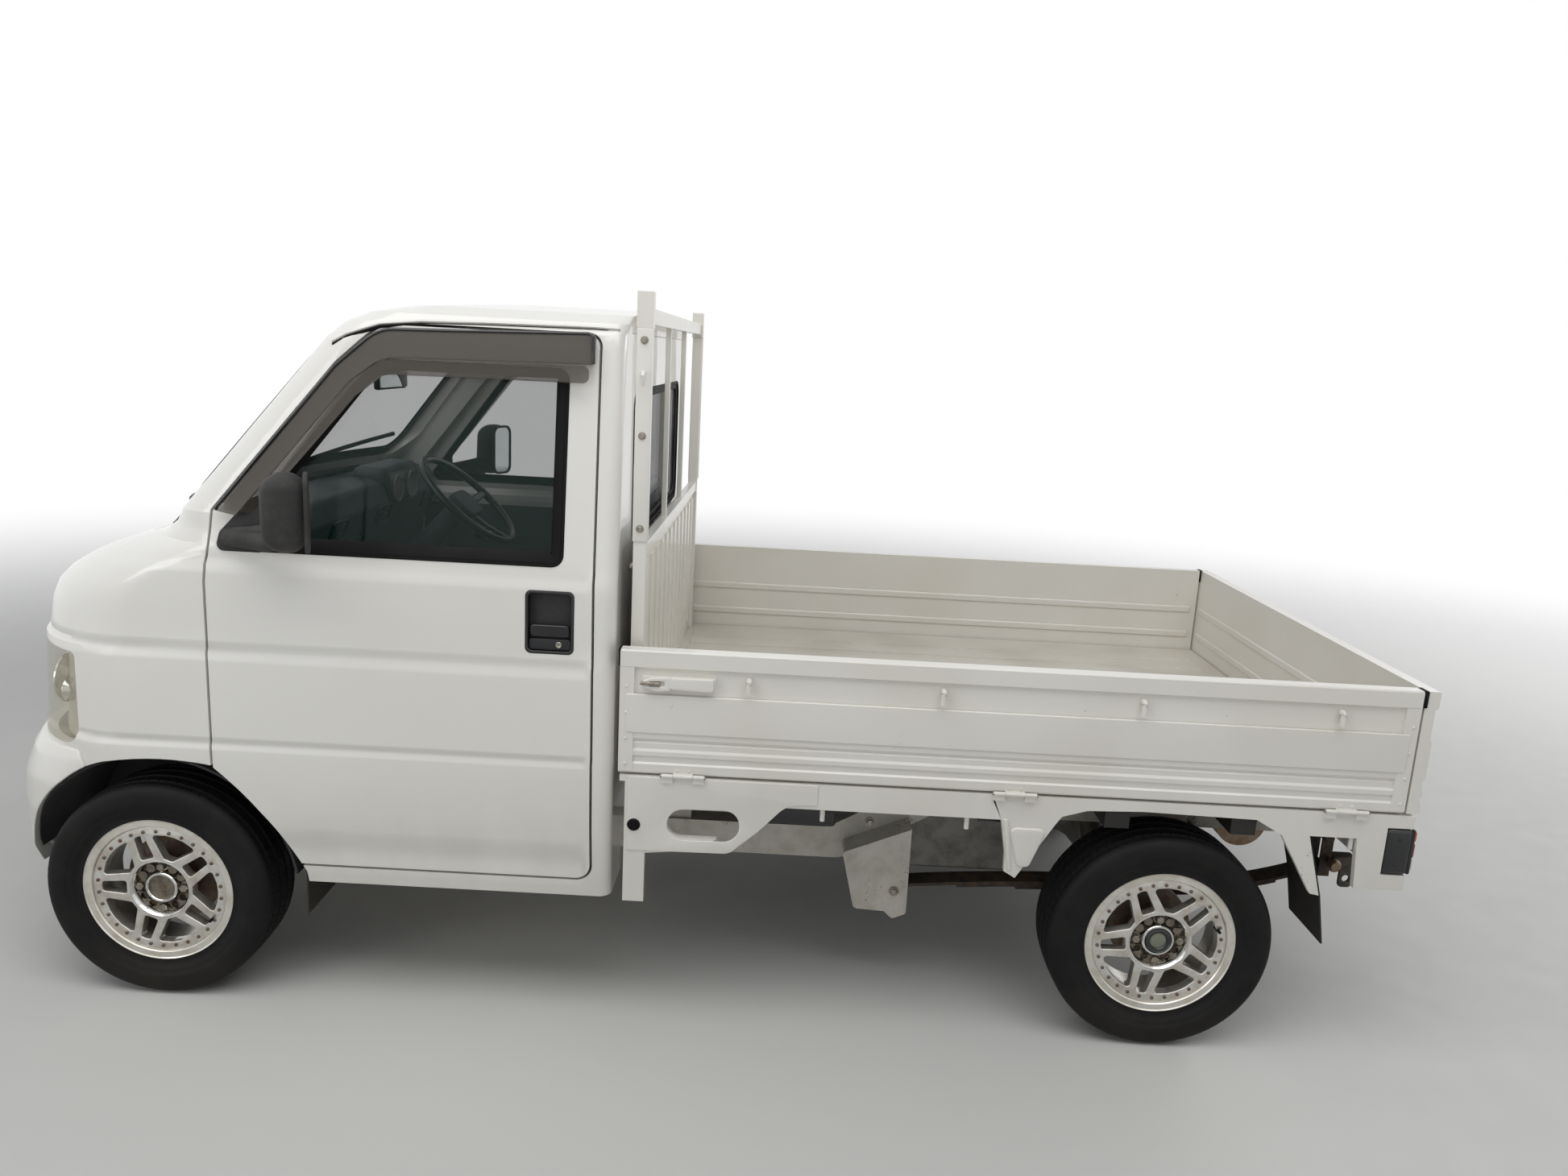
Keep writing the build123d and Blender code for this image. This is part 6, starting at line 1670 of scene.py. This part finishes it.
@dataclass
class BedFittings:
    """Skirts, latches, ribs, rope hooks, hinge pins, rubber ends, lamps and screws of the load bed."""

    nodes: dict[str, Piece]
    repeat: Repeater
    gate_face: float = 735.0
    hinge_y: float = 743.0
    hinge_z: float = 644.0
    hinge_places: tuple = (30, -743, -1514)
    hook_places: tuple = (-114, -559, -1017, -1470)
    # Heights of the pressed ribs inside the side gates, and where their sheet lies
    inner_ribs: tuple = ((700, 722), (790, 812))
    gate_inside: float = 705.0
    tail_inside: float = -1655.5
    skirt_face: float = 736.0
    skirt: tuple = ((158, 637, 2), (158, 452, 2), (-84, 455, 34), (-150, 514, 20), (-214, 583, 60), (-286, 587, 2),
                    (-286, 637, 2))
    skirt_hole: tuple = ((64, 482), (-106, 486), (-106, 564), (64, 560))
    skirt_fold: tuple = ((-738, 560), (-828, 560), (-792, 462), (-764, 462))
    skirt_lap: tuple = ((-734, 580), (-722, 580), (-742, 452), (-752, 452))
    # Where the front channel lies, and the upper and lower ends of its edges, as packed and as folded
    channel_x: Point2 = (-870.0, -640.0)
    channel_top: float = 585.0
    channel_z: Point2 = (573.0, 441.0)
    channel_packed: tuple = ((-662.0, -746.0), (-836.0, -764.0))
    channel_folded: tuple = ((-722.0, -746.0), (-850.0, -800.0))

    def skirts(self) -> None:
        """The skirts with their folded channels, and the pierced plate at their front."""
        low = self.channel_z[1]
        span = self.channel_z[0] - low
        piece = baked(self.nodes["bed_skirts"], "bed-skirts")
        for vertex in piece.data.vertices:
            x, y, z = vertex.co / MM
            if z > self.channel_top or not self.channel_x[0] < x < self.channel_x[1]:
                continue
            share = (z - low) / span
            first, last, new_first, new_last = (foot + (top - foot) * share
                                                for top, foot in (*self.channel_packed, *self.channel_folded))
            vertex.co.x = (new_first + (x - first) / (last - first) * (new_last - new_first)) * MM
        rounded = softened([row[:2] for row in self.skirt], [row[2] for row in self.skirt], 8)
        plates = [plate("front", [rounded, softened(self.skirt_hole, 39, 8)], 3, 1.2, BED_ENAMEL),
                  plate("fold", [softened(self.skirt_fold, 14, 4)], 9, 4, BED_ENAMEL),
                  plate("lap", [softened(self.skirt_lap, 3, 3)], 7, 3, BED_ENAMEL)]
        parts = [laid(part, Facing.LEFT, self.skirt_face) for part in plates]
        finished(joined("bed-skirts", (piece, both_sides("plates", parts))), "chassis", "bed_paint", "bed_skirts")
        box = blocks(((-338, 520, 492), (-96, 640, 549), 10, GLOSS_BLACK),
                     ((-330, 528, 543), (-104, 632, 553), 4, LINER_PLASTIC))
        finished(joined("battery-box", box), "chassis", "dark_plastic")

    def ribs(self, first: float, last: float, facing: Facing, depth: float) -> list[Piece]:
        """The pressed ribs inside a gate, from one end to the other at a depth."""
        flats = [plate("rib", [rectangle(first, low, last, high, 6)], 8, 3.4, BED_ENAMEL, bevel_steps=3)
                 for low, high in self.inner_ribs]
        return [laid(flat, facing, depth) for flat in flats]

    def side_gate(self, side: Side) -> None:
        """One side gate's latch, hooks, ribs and rubber ends."""
        y = self.gate_face
        bend = ((-4, 882), (6, 882), (10, 879), (11, 874), (11, 852))
        parts = [tube("hook", [(x, y + out, z) for out, z in bend], 6.6, BED_ENAMEL) for x in self.hook_places]
        lever = plate("lever", [softened([(-34, 853), (66, 856), (66, 883), (-34, 884)], 7, 5)], 7, 2, BED_ENAMEL)
        keeper = plate("keeper", [softened([(64, 852), (96, 849), (128, 858), (128, 872), (112, 880), (64, 884)], 5, 4),
                                  softened([(78, 862), (112, 861), (116, 871), (78, 874)], 3)], 8, 2, BED_ENAMEL)
        tongue = plate("tongue", [softened([(88, 862), (134, 864), (134, 871), (88, 872)], 3)], 8, 2, ZINC_STEEL)
        panel = plate("panel", [rectangle(-1634, 744, 166, 838, 4, 3)], 7, 2.6, BED_ENAMEL, bevel_steps=3)
        for part, out in ((lever, 13), (keeper, 11), (tongue, 15), (panel, 0)):
            parts.append(laid(part, Facing.LEFT, y + out))
        parts += self.ribs(-1630, 150, Facing.LEFT, self.gate_inside)
        parts += blocks(((-1660, y - 31, 902), (-1648, y + 3.5, 943), 3, SEAL_RUBBER_AND_SHADOW),
                        ((181, y - 31, 902), (186, y + 3, 943), 2, SEAL_RUBBER_AND_SHADOW))
        body = f"gate_{side.word}"
        finished(sided(joined(f"{body}-fittings", parts), side), body, "bed_paint")

    def tail_ribs(self) -> None:
        """The pressed ribs inside the tailgate."""
        finished(joined("tailgate-ribs", self.ribs(-680, 680, Facing.FRONT, self.tail_inside)), "tailgate", "bed_paint")

    def screws(self) -> None:
        """Screws and rivets of the gates' channels and hinges, and the pins' heads."""
        y = self.gate_face
        for side in Side:
            sign, body = side.value, f"gate_{side.word}"
            places = [((x, sign * (y + 1.5), z), (0, sign, 0)) for x in (166, -1637) for z in (668, 730, 792, 854)]
            places += [((x + shift, sign * (y - 0.5), 655), (0, sign, 0))
                       for x in self.hinge_places for shift in (-14, 14)]
            ring = self.repeat.at_points(f"{body}-screws", screw_head("screw", 4.0, 2.2, ZINC_STEEL), places,
                                         BED_ENAMEL)
            finished(ring, body, "bed_paint")
            ends = [((x + shift * 50.5, sign * self.hinge_y, self.hinge_z), (shift, 0, 0))
                    for x in self.hinge_places for shift in (-1, 1)]
            pins = self.repeat.at_points(f"{body}-pins", screw_head("pin", 4.4, 3.0, ZINC_STEEL), ends, ZINC_STEEL)
            finished(pins, "chassis", "bed_paint")

    def tail_lamps(self) -> None:
        """Black lamp bodies with amber, red and clear lenses behind."""
        parts = []
        for side in Side:
            shell = rounded_box("shell", (-1684, 641, 490), (-1621, 736, 606), 11, GLOSS_BLACK, steps=4)
            lamp = blocks(((-1689, 643, 492), (-1680, 734, 604), 4, LINER_PLASTIC),
                          *(((-1697, 650, low), (-1684, 727, high), 5, finish) for low, high, finish in
                            ((570, 598, AMBER_LENS), (530, 569, RED_LENS), (498, 529, CLEAR_LENS))))
            screws = [placed(screw_head("screw", 5.2, 2.0, LINER_PLASTIC),
                             Matrix.Translation(Vector((-1652, 736, z)) * MM) @ Matrix.Rotation(-math.pi / 2, 4, "X"))
                      for z in (516, 580)]
            parts.append(sided(joined("lamp", (shell, *lamp, *screws)), side))
        finished(joined("tail-lamp-bodies", parts), "chassis", "tail_lens", "tail_lamps")

    def stops(self) -> None:
        """The round rubber stops at the front of the skirts and the pegs below them."""
        parts = []
        for side in Side:
            sign = side.value
            stop = lathe("stop", ((0, 9), (6, 9), (7, 6), (13, 6), (16, 2), (16, -4), (0, -4)), SEAL_RUBBER_AND_SHADOW, steps=28)
            parts.append(placed(stop, Matrix.Translation(Vector((142, sign * 735, 517)) * MM)
                                @ Matrix.Rotation(-sign * math.pi / 2, 4, "X")))
            parts += [tube("peg", [(x, sign * 722, z) for z in (586, 566, 545)], 6.0, BED_ENAMEL)
                      for x in (-300, -640, -1545)]
        finished(joined("bed-stops", parts), "chassis", "bed_paint")

    def build(self) -> None:
        """Builds the bed's fittings."""
        self.skirts()
        for side in Side:
            self.side_gate(side)
        self.tail_ribs()
        self.screws()
        self.tail_lamps()
        self.stops()


@dataclass
class Seats:
    """Two padded seats. Foam swells under a sewn cover, which holds it back along its seams."""

    middle: float = 335.0
    half: float = 212.0
    seam_y: float = 118.0
    voxel: float = 8.0
    # How far the foam may swell, its pressure, and the frames that it gets
    cap: float = 24.0
    pressure: float = 4.0
    frames: int = 20
    cushion: tuple = ((362, 592), (362, 678), (470, 672), (700, 684), (786, 672), (790, 600), (770, 588))
    back: tuple = ((330, 716), (404, 716), (372, 860), (324, 1080), (296, 1196), (250, 1204), (244, 1080))
    head: tuple = ((258, 1252), (306, 1252), (304, 1352), (262, 1354))

    def form(self, name: str, outline: Sequence[Point2], half: float, radius: float) -> Piece:
        """A closed form from a side outline, a little smaller than the finished pad."""
        made = plate(name, [softened(outline, radius, 4)], half * 2, radius * 0.6, SEAT_CLOTH, bevel_steps=4)
        return placed(made, Matrix.Rotation(math.pi / 2, 4, "X"))

    def swollen(self, piece: Piece, held: Callable[[Vector], bool]) -> Piece:
        """Swells a form by cloth simulation and smooths it.

        Args:
            piece: The form.
            held: Tells which points, in millimetres, a seam or the frame holds.

        Returns:
            The padded form.
        """
        remesh = piece.modifiers.new("remesh", "REMESH")
        remesh.mode = "VOXEL"
        remesh.voxel_size = self.voxel * MM
        piece = applied(piece)
        start = [vertex.co.copy() for vertex in piece.data.vertices]
        group = piece.vertex_groups.new(name="held")
        group.add([index for index, place in enumerate(start) if held(place / MM)], 1.0, "REPLACE")
        cloth = piece.modifiers.new("cloth", "CLOTH")
        cloth.settings.use_pressure = True
        cloth.settings.uniform_pressure_force = self.pressure
        cloth.settings.effector_weights.gravity = 0.0
        cloth.settings.vertex_group_mass = "held"
        for frame in range(1, self.frames + 1):
            bpy.context.scene.frame_set(frame)
        piece = applied(piece)
        bpy.context.scene.frame_set(1)
        for vertex, place in zip(piece.data.vertices, start):
            move = vertex.co - place
            if move.length > self.cap * MM:
                vertex.co = place + move.normalized() * self.cap * MM
        smooth = piece.modifiers.new("smooth", "SUBSURF")
        smooth.levels = smooth.render_levels = 1
        piece = applied(piece)
        piece.data.materials.clear()
        piece.data.materials.append(SEAT_CLOTH.material())
        for face in piece.data.polygons:
            face.use_smooth = True
        return piece

    def build(self) -> None:
        """Builds both seats from one set of pads."""
        def in_seam(place: Vector) -> bool:
            """Whether a point lies on one of the lengthwise seams."""
            return abs(abs(place.y) - self.seam_y) < 7 or abs(abs(place.y) - self.half) < 5

        pads = (
            ("seat-cushions", "seat_cushions", self.form("cushion", self.cushion, self.half, 26),
             lambda at: at.z < 600 or (at.z > 640 and (in_seam(at) or abs(at.x - 440) < 6 or abs(at.x - 730) < 6))),
            ("seat-backs", "seat_backs", self.form("back", self.back, self.half, 20),
             lambda at: in_seam(at) or at.x < 338 - (at.z - 716) * 0.245 + 6 or abs(at.z - 1090) < 6),
            ("head-rests", "", self.form("head", self.head, 112, 20), lambda at: abs(abs(at.y) - 112) < 5),
        )
        for name, node, form, held in pads:
            pad = self.swollen(form, held)
            if not node:
                posts = [tube("post", ((276, y, 1190), (276, y, 1230), (278, y, 1262)), 5.5, BRIGHT_CHROME)
                         for y in (-62, 62)]
                pad = joined("pad", (pad, *posts))
            other = copied(pad, "other")
            moved(pad, 0, self.middle, 0)
            moved(other, 0, -self.middle, 0)
            whole = finished(joined(name, (pad, other)), "chassis", "seat_cloth", *([node] if node else []))


@dataclass
class Cabin:
    """Steering wheel, dashboard details, levers, pedals, mirror, sun visors and door trims."""

    nodes: dict[str, Piece]
    wheel_at: Point3 = (835.0, -330.0, 1111.0)
    wheel_r: float = 180.0
    tilt: float = 42.5
    # Low and high corners, corner radius, thickness and finish of the panels on the dashboard's face
    panels: tuple = (((-96, 880, 96, 1030), 10, 7, GLOSS_BLACK), ((-84, 892, 84, 940), 5, 10, TRIM_PLASTIC),
                     ((190, 852, 560, 1010), 16, 6, DASH_PLASTIC), ((330, 940, 420, 962), 8, 10, GLOSS_BLACK))
    lining: tuple = ((296, 420), (930, 420), (1040, 560), (1084, 640), (1084, 1052), (296, 1052))

    def steering(self) -> None:
        """The thin-rimmed steering wheel with three spokes and an oval pad."""
        ring = [(x, y, 0.0) for x, y in circle(self.wheel_r, 64)]
        parts = [tube("rim", ring, 12.0, GLOSS_BLACK, closed=True, sides=14)]
        for angle in (0, 180, 90):
            way = Vector((math.cos(math.radians(angle)), math.sin(math.radians(angle)), 0))
            route = [tuple(way * reach + Vector((0, 0, low))) for reach, low in ((30, -26), (95, -20), (176, 0))]
            parts.append(tube("spoke", route, 13.0, GLOSS_BLACK, sides=12, flat=0.45))
        pad = plate("pad", [softened([(-78, -46), (78, -46), (66, 52), (-66, 52)], 34, 6)], 26, 9, DASH_PLASTIC,
                    bevel_steps=4)
        parts += [moved(pad, 0, 0, -16),
                  lathe("boss", ((34, -20), (40, -30), (36, -48), (0, -48), (0, -20)), TRIM_PLASTIC, steps=32)]
        turn = math.radians(self.tilt)
        frame = Matrix(((0, -math.cos(turn), -math.sin(turn), self.wheel_at[0] * MM), (1, 0, 0, self.wheel_at[1] * MM),
                        (0, -math.sin(turn), math.cos(turn), self.wheel_at[2] * MM), (0, 0, 0, 1)))
        finished(placed(joined("steering-wheel-rim", parts), frame), "steering_wheel", "grey_plastic", "steering_wheel")

    def dashboard(self) -> None:
        """Instruments, vents, heater and radio panel, glove box, knobs and stalks."""
        skin = Skin(self.nodes, ["dashboard"])
        back = (-1, 0, 0)
        parts = blocks(((1046, -478, 1150), (1150, -182, 1216), 22, DASH_PLASTIC),
                       ((1038, -462, 1096), (1060, -198, 1196), 10, GLOSS_BLACK))
        for y in (-392, -268):
            parts.append(turned(((0, 2), (38, 2), (40, 5), (43, 5), (43, -2), (0, -2)), CLEAR_LENS, 40,
                                (1037, y, 1146), back))
        for y in (-578, -170, 170, 578):
            loops = [rectangle(y - 54, 1050, y + 54, 1108, 9), rectangle(y - 46, 1058, y + 46, 1100, 5, 3)]
            vent = plate("vent", loops, 12, 2, GLOSS_BLACK)
            parts.append(draped(vent, Facing.REAR, lambda u, v: skin.near(Facing.REAR, u, v) + 2))
            for z in range(1062, 1100, 9):
                depth = skin.near(Facing.REAR, y, z)
                parts += blocks(((-depth - 5, y - 47, z), (-depth + 8, y + 47, z + 3), 1.0, LINER_PLASTIC))
        for corners, radius, thick, finish in self.panels:
            flat = plate("panel", [spaced(rectangle(*corners, radius), 60)], thick, 1.6, finish)
            parts.append(draped(flat, Facing.REAR, lambda u, v: skin.near(Facing.REAR, u, v) + 1))
        for y in (-62, 0, 62):
            parts.append(turned(((0, 24), (12, 23), (14, 20), (15, 4), (17, 0), (0, 0)), TRIM_PLASTIC, 24,
                                (-skin.near(Facing.REAR, y, 990) - 4, y, 990), back))
        for y, sign in ((-262, 1), (-398, -1)):
            parts.append(tube("stalk", ((905, y, 1030), (896, y + sign * 50, 1042), (880, y + sign * 105, 1052)), 6.0,
                              GLOSS_BLACK))
        finished(joined("dashboard-details", parts), "chassis", "grey_plastic")

    def small_parts(self) -> None:
        """Inside mirror, sun visors, gear and brake levers, pedals."""
        parts = blocks(((948, -112, 1462), (966, 112, 1518), 8, TRIM_PLASTIC),
                       ((946, -106, 1468), (949, 106, 1512), 1, MIRROR_SILVER),
                       ((742, 70, 1556), (892, 540, 1570), 6, DASH_PLASTIC),
                       ((742, -540, 1556), (892, -70, 1570), 6, DASH_PLASTIC))
        parts += [tube("stem", ((966, 0, 1492), (984, 0, 1512), (990, 0, 1536)), 6.0, GLOSS_BLACK),
                  tube("gear", ((700, -62, 600), (716, -66, 690), (724, -70, 772)), 6.0, BRIGHT_CHROME),
                  turned(((0, 44), (12, 42), (20, 32), (21, 20), (14, 4), (8, 0), (0, 0)), GLOSS_BLACK, 24,
                         (724, -70, 768), (0.1, 0, 1)),
                  turned(((9, 70), (16, 58), (14, 52), (26, 38), (22, 32), (38, 16), (44, 0), (0, 0), (0, 70)),
                         SEAL_RUBBER_AND_SHADOW, 28, (702, -62, 622), (0.1, 0, 1)),
                  tube("brake", ((640, 40, 636), (560, 40, 676), (470, 40, 716), (420, 40, 728)), 9.0, GLOSS_BLACK,
                       sides=12)]
        for y in (-200, -290, -400):
            parts += blocks(((1118, y - 34, 640), (1128, y + 34, 700), 4, SEAL_RUBBER_AND_SHADOW))
            parts.append(tube("pedal", ((1130, y, 680), (1180, y, 770), (1190, y, 840)), 6.0, BLACK_STEEL))
        finished(joined("cabin-parts", parts), "chassis", "grey_plastic")

    def door_trims(self) -> None:
        """Each door's lining with its armrest, winder and pull."""
        board = plate("board", [spaced(softened(self.lining, 30, 5), 80)], 5, 1.5, DASH_PLASTIC)
        parts = [moved(placed(board, Matrix.Rotation(math.pi / 2, 4, "X")), 0, 663, 0)]
        parts += blocks(((400, 618, 846), (650, 662, 884), 14, TRIM_PLASTIC),
                        ((820, 652, 930), (910, 662, 974), 5, GLOSS_BLACK),
                        ((836, 646, 946), (892, 654, 960), 3, BRIGHT_CHROME),
                        ((330, 651, 450), (980, 662, 540), 5, TRIM_PLASTIC))
        parts += [turned(((0, 12), (17, 10), (20, 4), (21, 0), (0, 0)), TRIM_PLASTIC, 28, (730, 662, 830), (0, -1, 0)),
                  tube("arm", ((730, 652, 830), (760, 648, 800), (788, 646, 772)), 6.0, TRIM_PLASTIC, flat=0.7),
                  tube("grip", ((788, 650, 772), (788, 634, 772), (788, 618, 772)), 9.0, TRIM_PLASTIC, sides=12)]
        left = joined("door_left-lining", parts)
        right = flipped(copied(left, "door_right-lining"))
        finished(left, "door_left", "grey_plastic")
        finished(right, "door_right", "grey_plastic")

    def build(self) -> None:
        """Builds the cabin's parts."""
        self.steering()
        self.dashboard()
        self.small_parts()
        self.door_trims()


@dataclass
class Underbody:
    """Bolts, clamps, dampers and pipes under the floor, and the brackets that show behind the wheel."""

    repeat: Repeater
    spring_y: float = 498.0
    # The left-hand bolts of the spring hangers, shackles and frame
    bolt_places: tuple = ((-504, 541, 284), (-1593, 514, 400), (-1593, 514, 490), (-430, 541, 470), (-1240, 541, 520),
                          (-1020, 541, 520), (1288, 618, 230))
    drive_at: Point3 = (REAR_AXLE, 0.0, 290.0)
    drive_way: Point3 = (-1.0, 0.0, 0.12)

    def bolts(self) -> None:
        """Bolt heads of the spring hangers, shackles and frame."""
        places = [((x, side.value * y, z), (0, side.value, 0)) for x, y, z in self.bolt_places for side in Side]
        head = bolt_head("bolt", 17, 9, ZINC_STEEL, washer=2.5)
        finished(self.repeat.at_points("frame-bolts", head, places, ZINC_STEEL), "chassis", "frame_paint")

    def clamps(self) -> None:
        """U-bolts and their plate on each spring, with the damper beside them."""
        parts = []
        middle, low, top = self.spring_y, 232, 344
        for x in (REAR_AXLE - 40, REAR_AXLE + 40):
            bend = ((-34, low), (-34, top - 8), (-26, top), (26, top), (34, top - 8), (34, low))
            parts.append(tube("clamp", [(x, middle + across, z) for across, z in bend], 6.0, SPRING_STEEL))
            for y in (-34, 34):
                parts.append(facing_piece(bolt_head("nut", 15, 10, ZINC_STEEL), (x, middle + y, 240), (0, 0, -1)))
        parts += blocks(((REAR_AXLE - 58, middle - 46, 238), (REAR_AXLE + 58, middle + 46, 246), 3, SPRING_STEEL))
        for route, radius, finish, sides in (
            (((66, 410, 262), (96, 402, 400)), 24.0, BLACK_STEEL, 20),
            (((92, 403, 380), (122, 396, 520)), 29.0, BLACK_STEEL, 20),
            (((0, 560, 300), (40, 540, 340), (60, 470, 380), (60, 420, 440)), 5.0, SEAL_RUBBER_AND_SHADOW, 10),
        ):
            pipe = [(REAR_AXLE + ahead, y, z) for ahead, y, z in route]
            parts.append(tube("pipe", pipe, radius, finish, sides=sides))
        finished(both_sides("axle-clamps", parts), "chassis", "spring_steel")

    def final_drive(self) -> None:
        """The axle's final drive with its cover and the short shaft to the engine."""
        parts = [turned(((0, 82), (40, 80), (74, 62), (92, 34), (96, 12), (104, 10), (104, -10), (96, -12), (88, -40),
                         (52, -64), (34, -90), (34, -140), (0, -140)), CAST_ALLOY, 36, self.drive_at, self.drive_way),
                 tube("shaft", ((REAR_AXLE + 130, 0, 300), (REAR_AXLE + 215, 0, 310)), 26.0, BLACK_STEEL, sides=20)]
        bolt = moved(bolt_head("bolt", 12, 6, ZINC_STEEL), 0, 0, 12)
        ring = self.repeat.round_axis("cover-bolts", bolt, 10, 98, ZINC_STEEL)
        parts.append(facing_piece(ring, self.drive_at, self.drive_way))
        finished(joined("final-drive", parts), "chassis", "black_steel")

    def tail_brackets(self) -> None:
        """The tow eye, the knob and the bracket near the tail lamps."""
        outline = softened([(-1676, 352), (-1640, 352), (-1640, 420), (-1668, 430)], 10, 5)
        hook = plate("hook", [outline, circle(9, 20, (-1658, 376))], 8, 2, BLACK_STEEL)
        parts = [moved(placed(hook, Matrix.Rotation(math.pi / 2, 4, "X")), 0, 520, 0),
                 turned(((0, 20), (12, 18), (17, 10), (17, 2), (9, 0), (9, -20), (0, -20)), MUFFLER_STEEL, 24,
                        (-1600, 560, 430), (0, 1, 0)),
                 *blocks(((-1672, 500, 418), (-1610, 540, 440), 4, BLACK_STEEL))]
        finished(both_sides("tail-brackets", parts), "chassis", "black_steel")

    def build(self) -> None:
        """Builds what shows under the floor."""
        self.bolts()
        self.clamps()
        self.final_drive()
        self.tail_brackets()


@dataclass
class Outside:
    """The guard's sleeves, hooks and bolts, and the blank number plate with its lamp."""

    repeat: Repeater
    post_x: float = 153.0
    post_y: float = 660.0
    plate_depth: float = 1692.0

    def guard(self) -> None:
        """Sleeves with plugs on the posts, rope hooks, and bolts at the feet."""
        x, y = self.post_x, self.post_y
        parts = blocks(((x - 17.5, y - 17.5, 1660), (x + 17.5, y + 17.5, 1726), 3, BED_ENAMEL),
                       ((x - 14, y - 14, 1724), (x + 14, y + 14, 1734), 4, LINER_PLASTIC),
                       ((x - 18, y - 3, 1180), (x + 17, y + 18.5, 1656), 2.5, BED_ENAMEL))
        bend = ((14, 1560), (30, 1560), (33, 1554), (33, 1530))
        parts.append(tube("hook", [(x, y + out, z) for out, z in bend], 4.5, BED_ENAMEL))
        finished(both_sides("guard-sleeves", parts), "chassis", "bed_paint")
        places = [((x + 17.5, side.value * y, z), (1, 0, 0)) for side in Side for z in (690, 760, 1120)]
        places += [((x, side.value * (y + 18), z), (0, side.value, 0)) for side in Side for z in (1210, 1420, 1630)]
        head = bolt_head("bolt", 12, 6, ZINC_STEEL)
        finished(self.repeat.at_points("guard-bolts", head, places, ZINC_STEEL), "chassis", "bed_paint")

    def plates(self) -> None:
        """The blank number plate at the rear, with its lamp."""
        rear = plate("plate", [rectangle(180, 428, 510, 588, 12)], 1.6, 0.5, BODY_ENAMEL)
        parts = [laid(rear, Facing.REAR, self.plate_depth),
                 *blocks(((-1690, 240, 470), (-1660, 450, 580), 4, BLACK_STEEL),
                         ((-1696, 300, 592), (-1664, 390, 616), 6, GLOSS_BLACK))]
        finished(joined("number-plate-rear", parts), "chassis", "body_paint")

    def build(self) -> None:
        """Builds the outside details."""
        self.guard()
        self.plates()


def main() -> None:
    """Builds the stage and the truck, piece by piece."""
    logging.basicConfig(level=logging.INFO, format="%(message)s")
    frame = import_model()
    slots = {row["node"]: row["material_slot"] for row in frame["record"]["subparts"]}
    Stage().build()
    Dressing(frame["nodes"]).build(slots)
    repeat = Repeater()
    for end, axle_x in (("f", FRONT_AXLE), ("r", REAR_AXLE)):
        for side in Side:
            Wheel(repeat, end + side.word[0], axle_x, side, axle_x > 0).build()
    for side in Side:
        DoorTrim(frame["nodes"], side).build()
    CabTrim(frame["nodes"], repeat).build()
    BedFittings(frame["nodes"], repeat).build()
    Underbody(repeat).build()
    Outside(repeat).build()
    Cabin(frame["nodes"]).build()
    Seats().build()


if __name__ == "__main__":
    main()
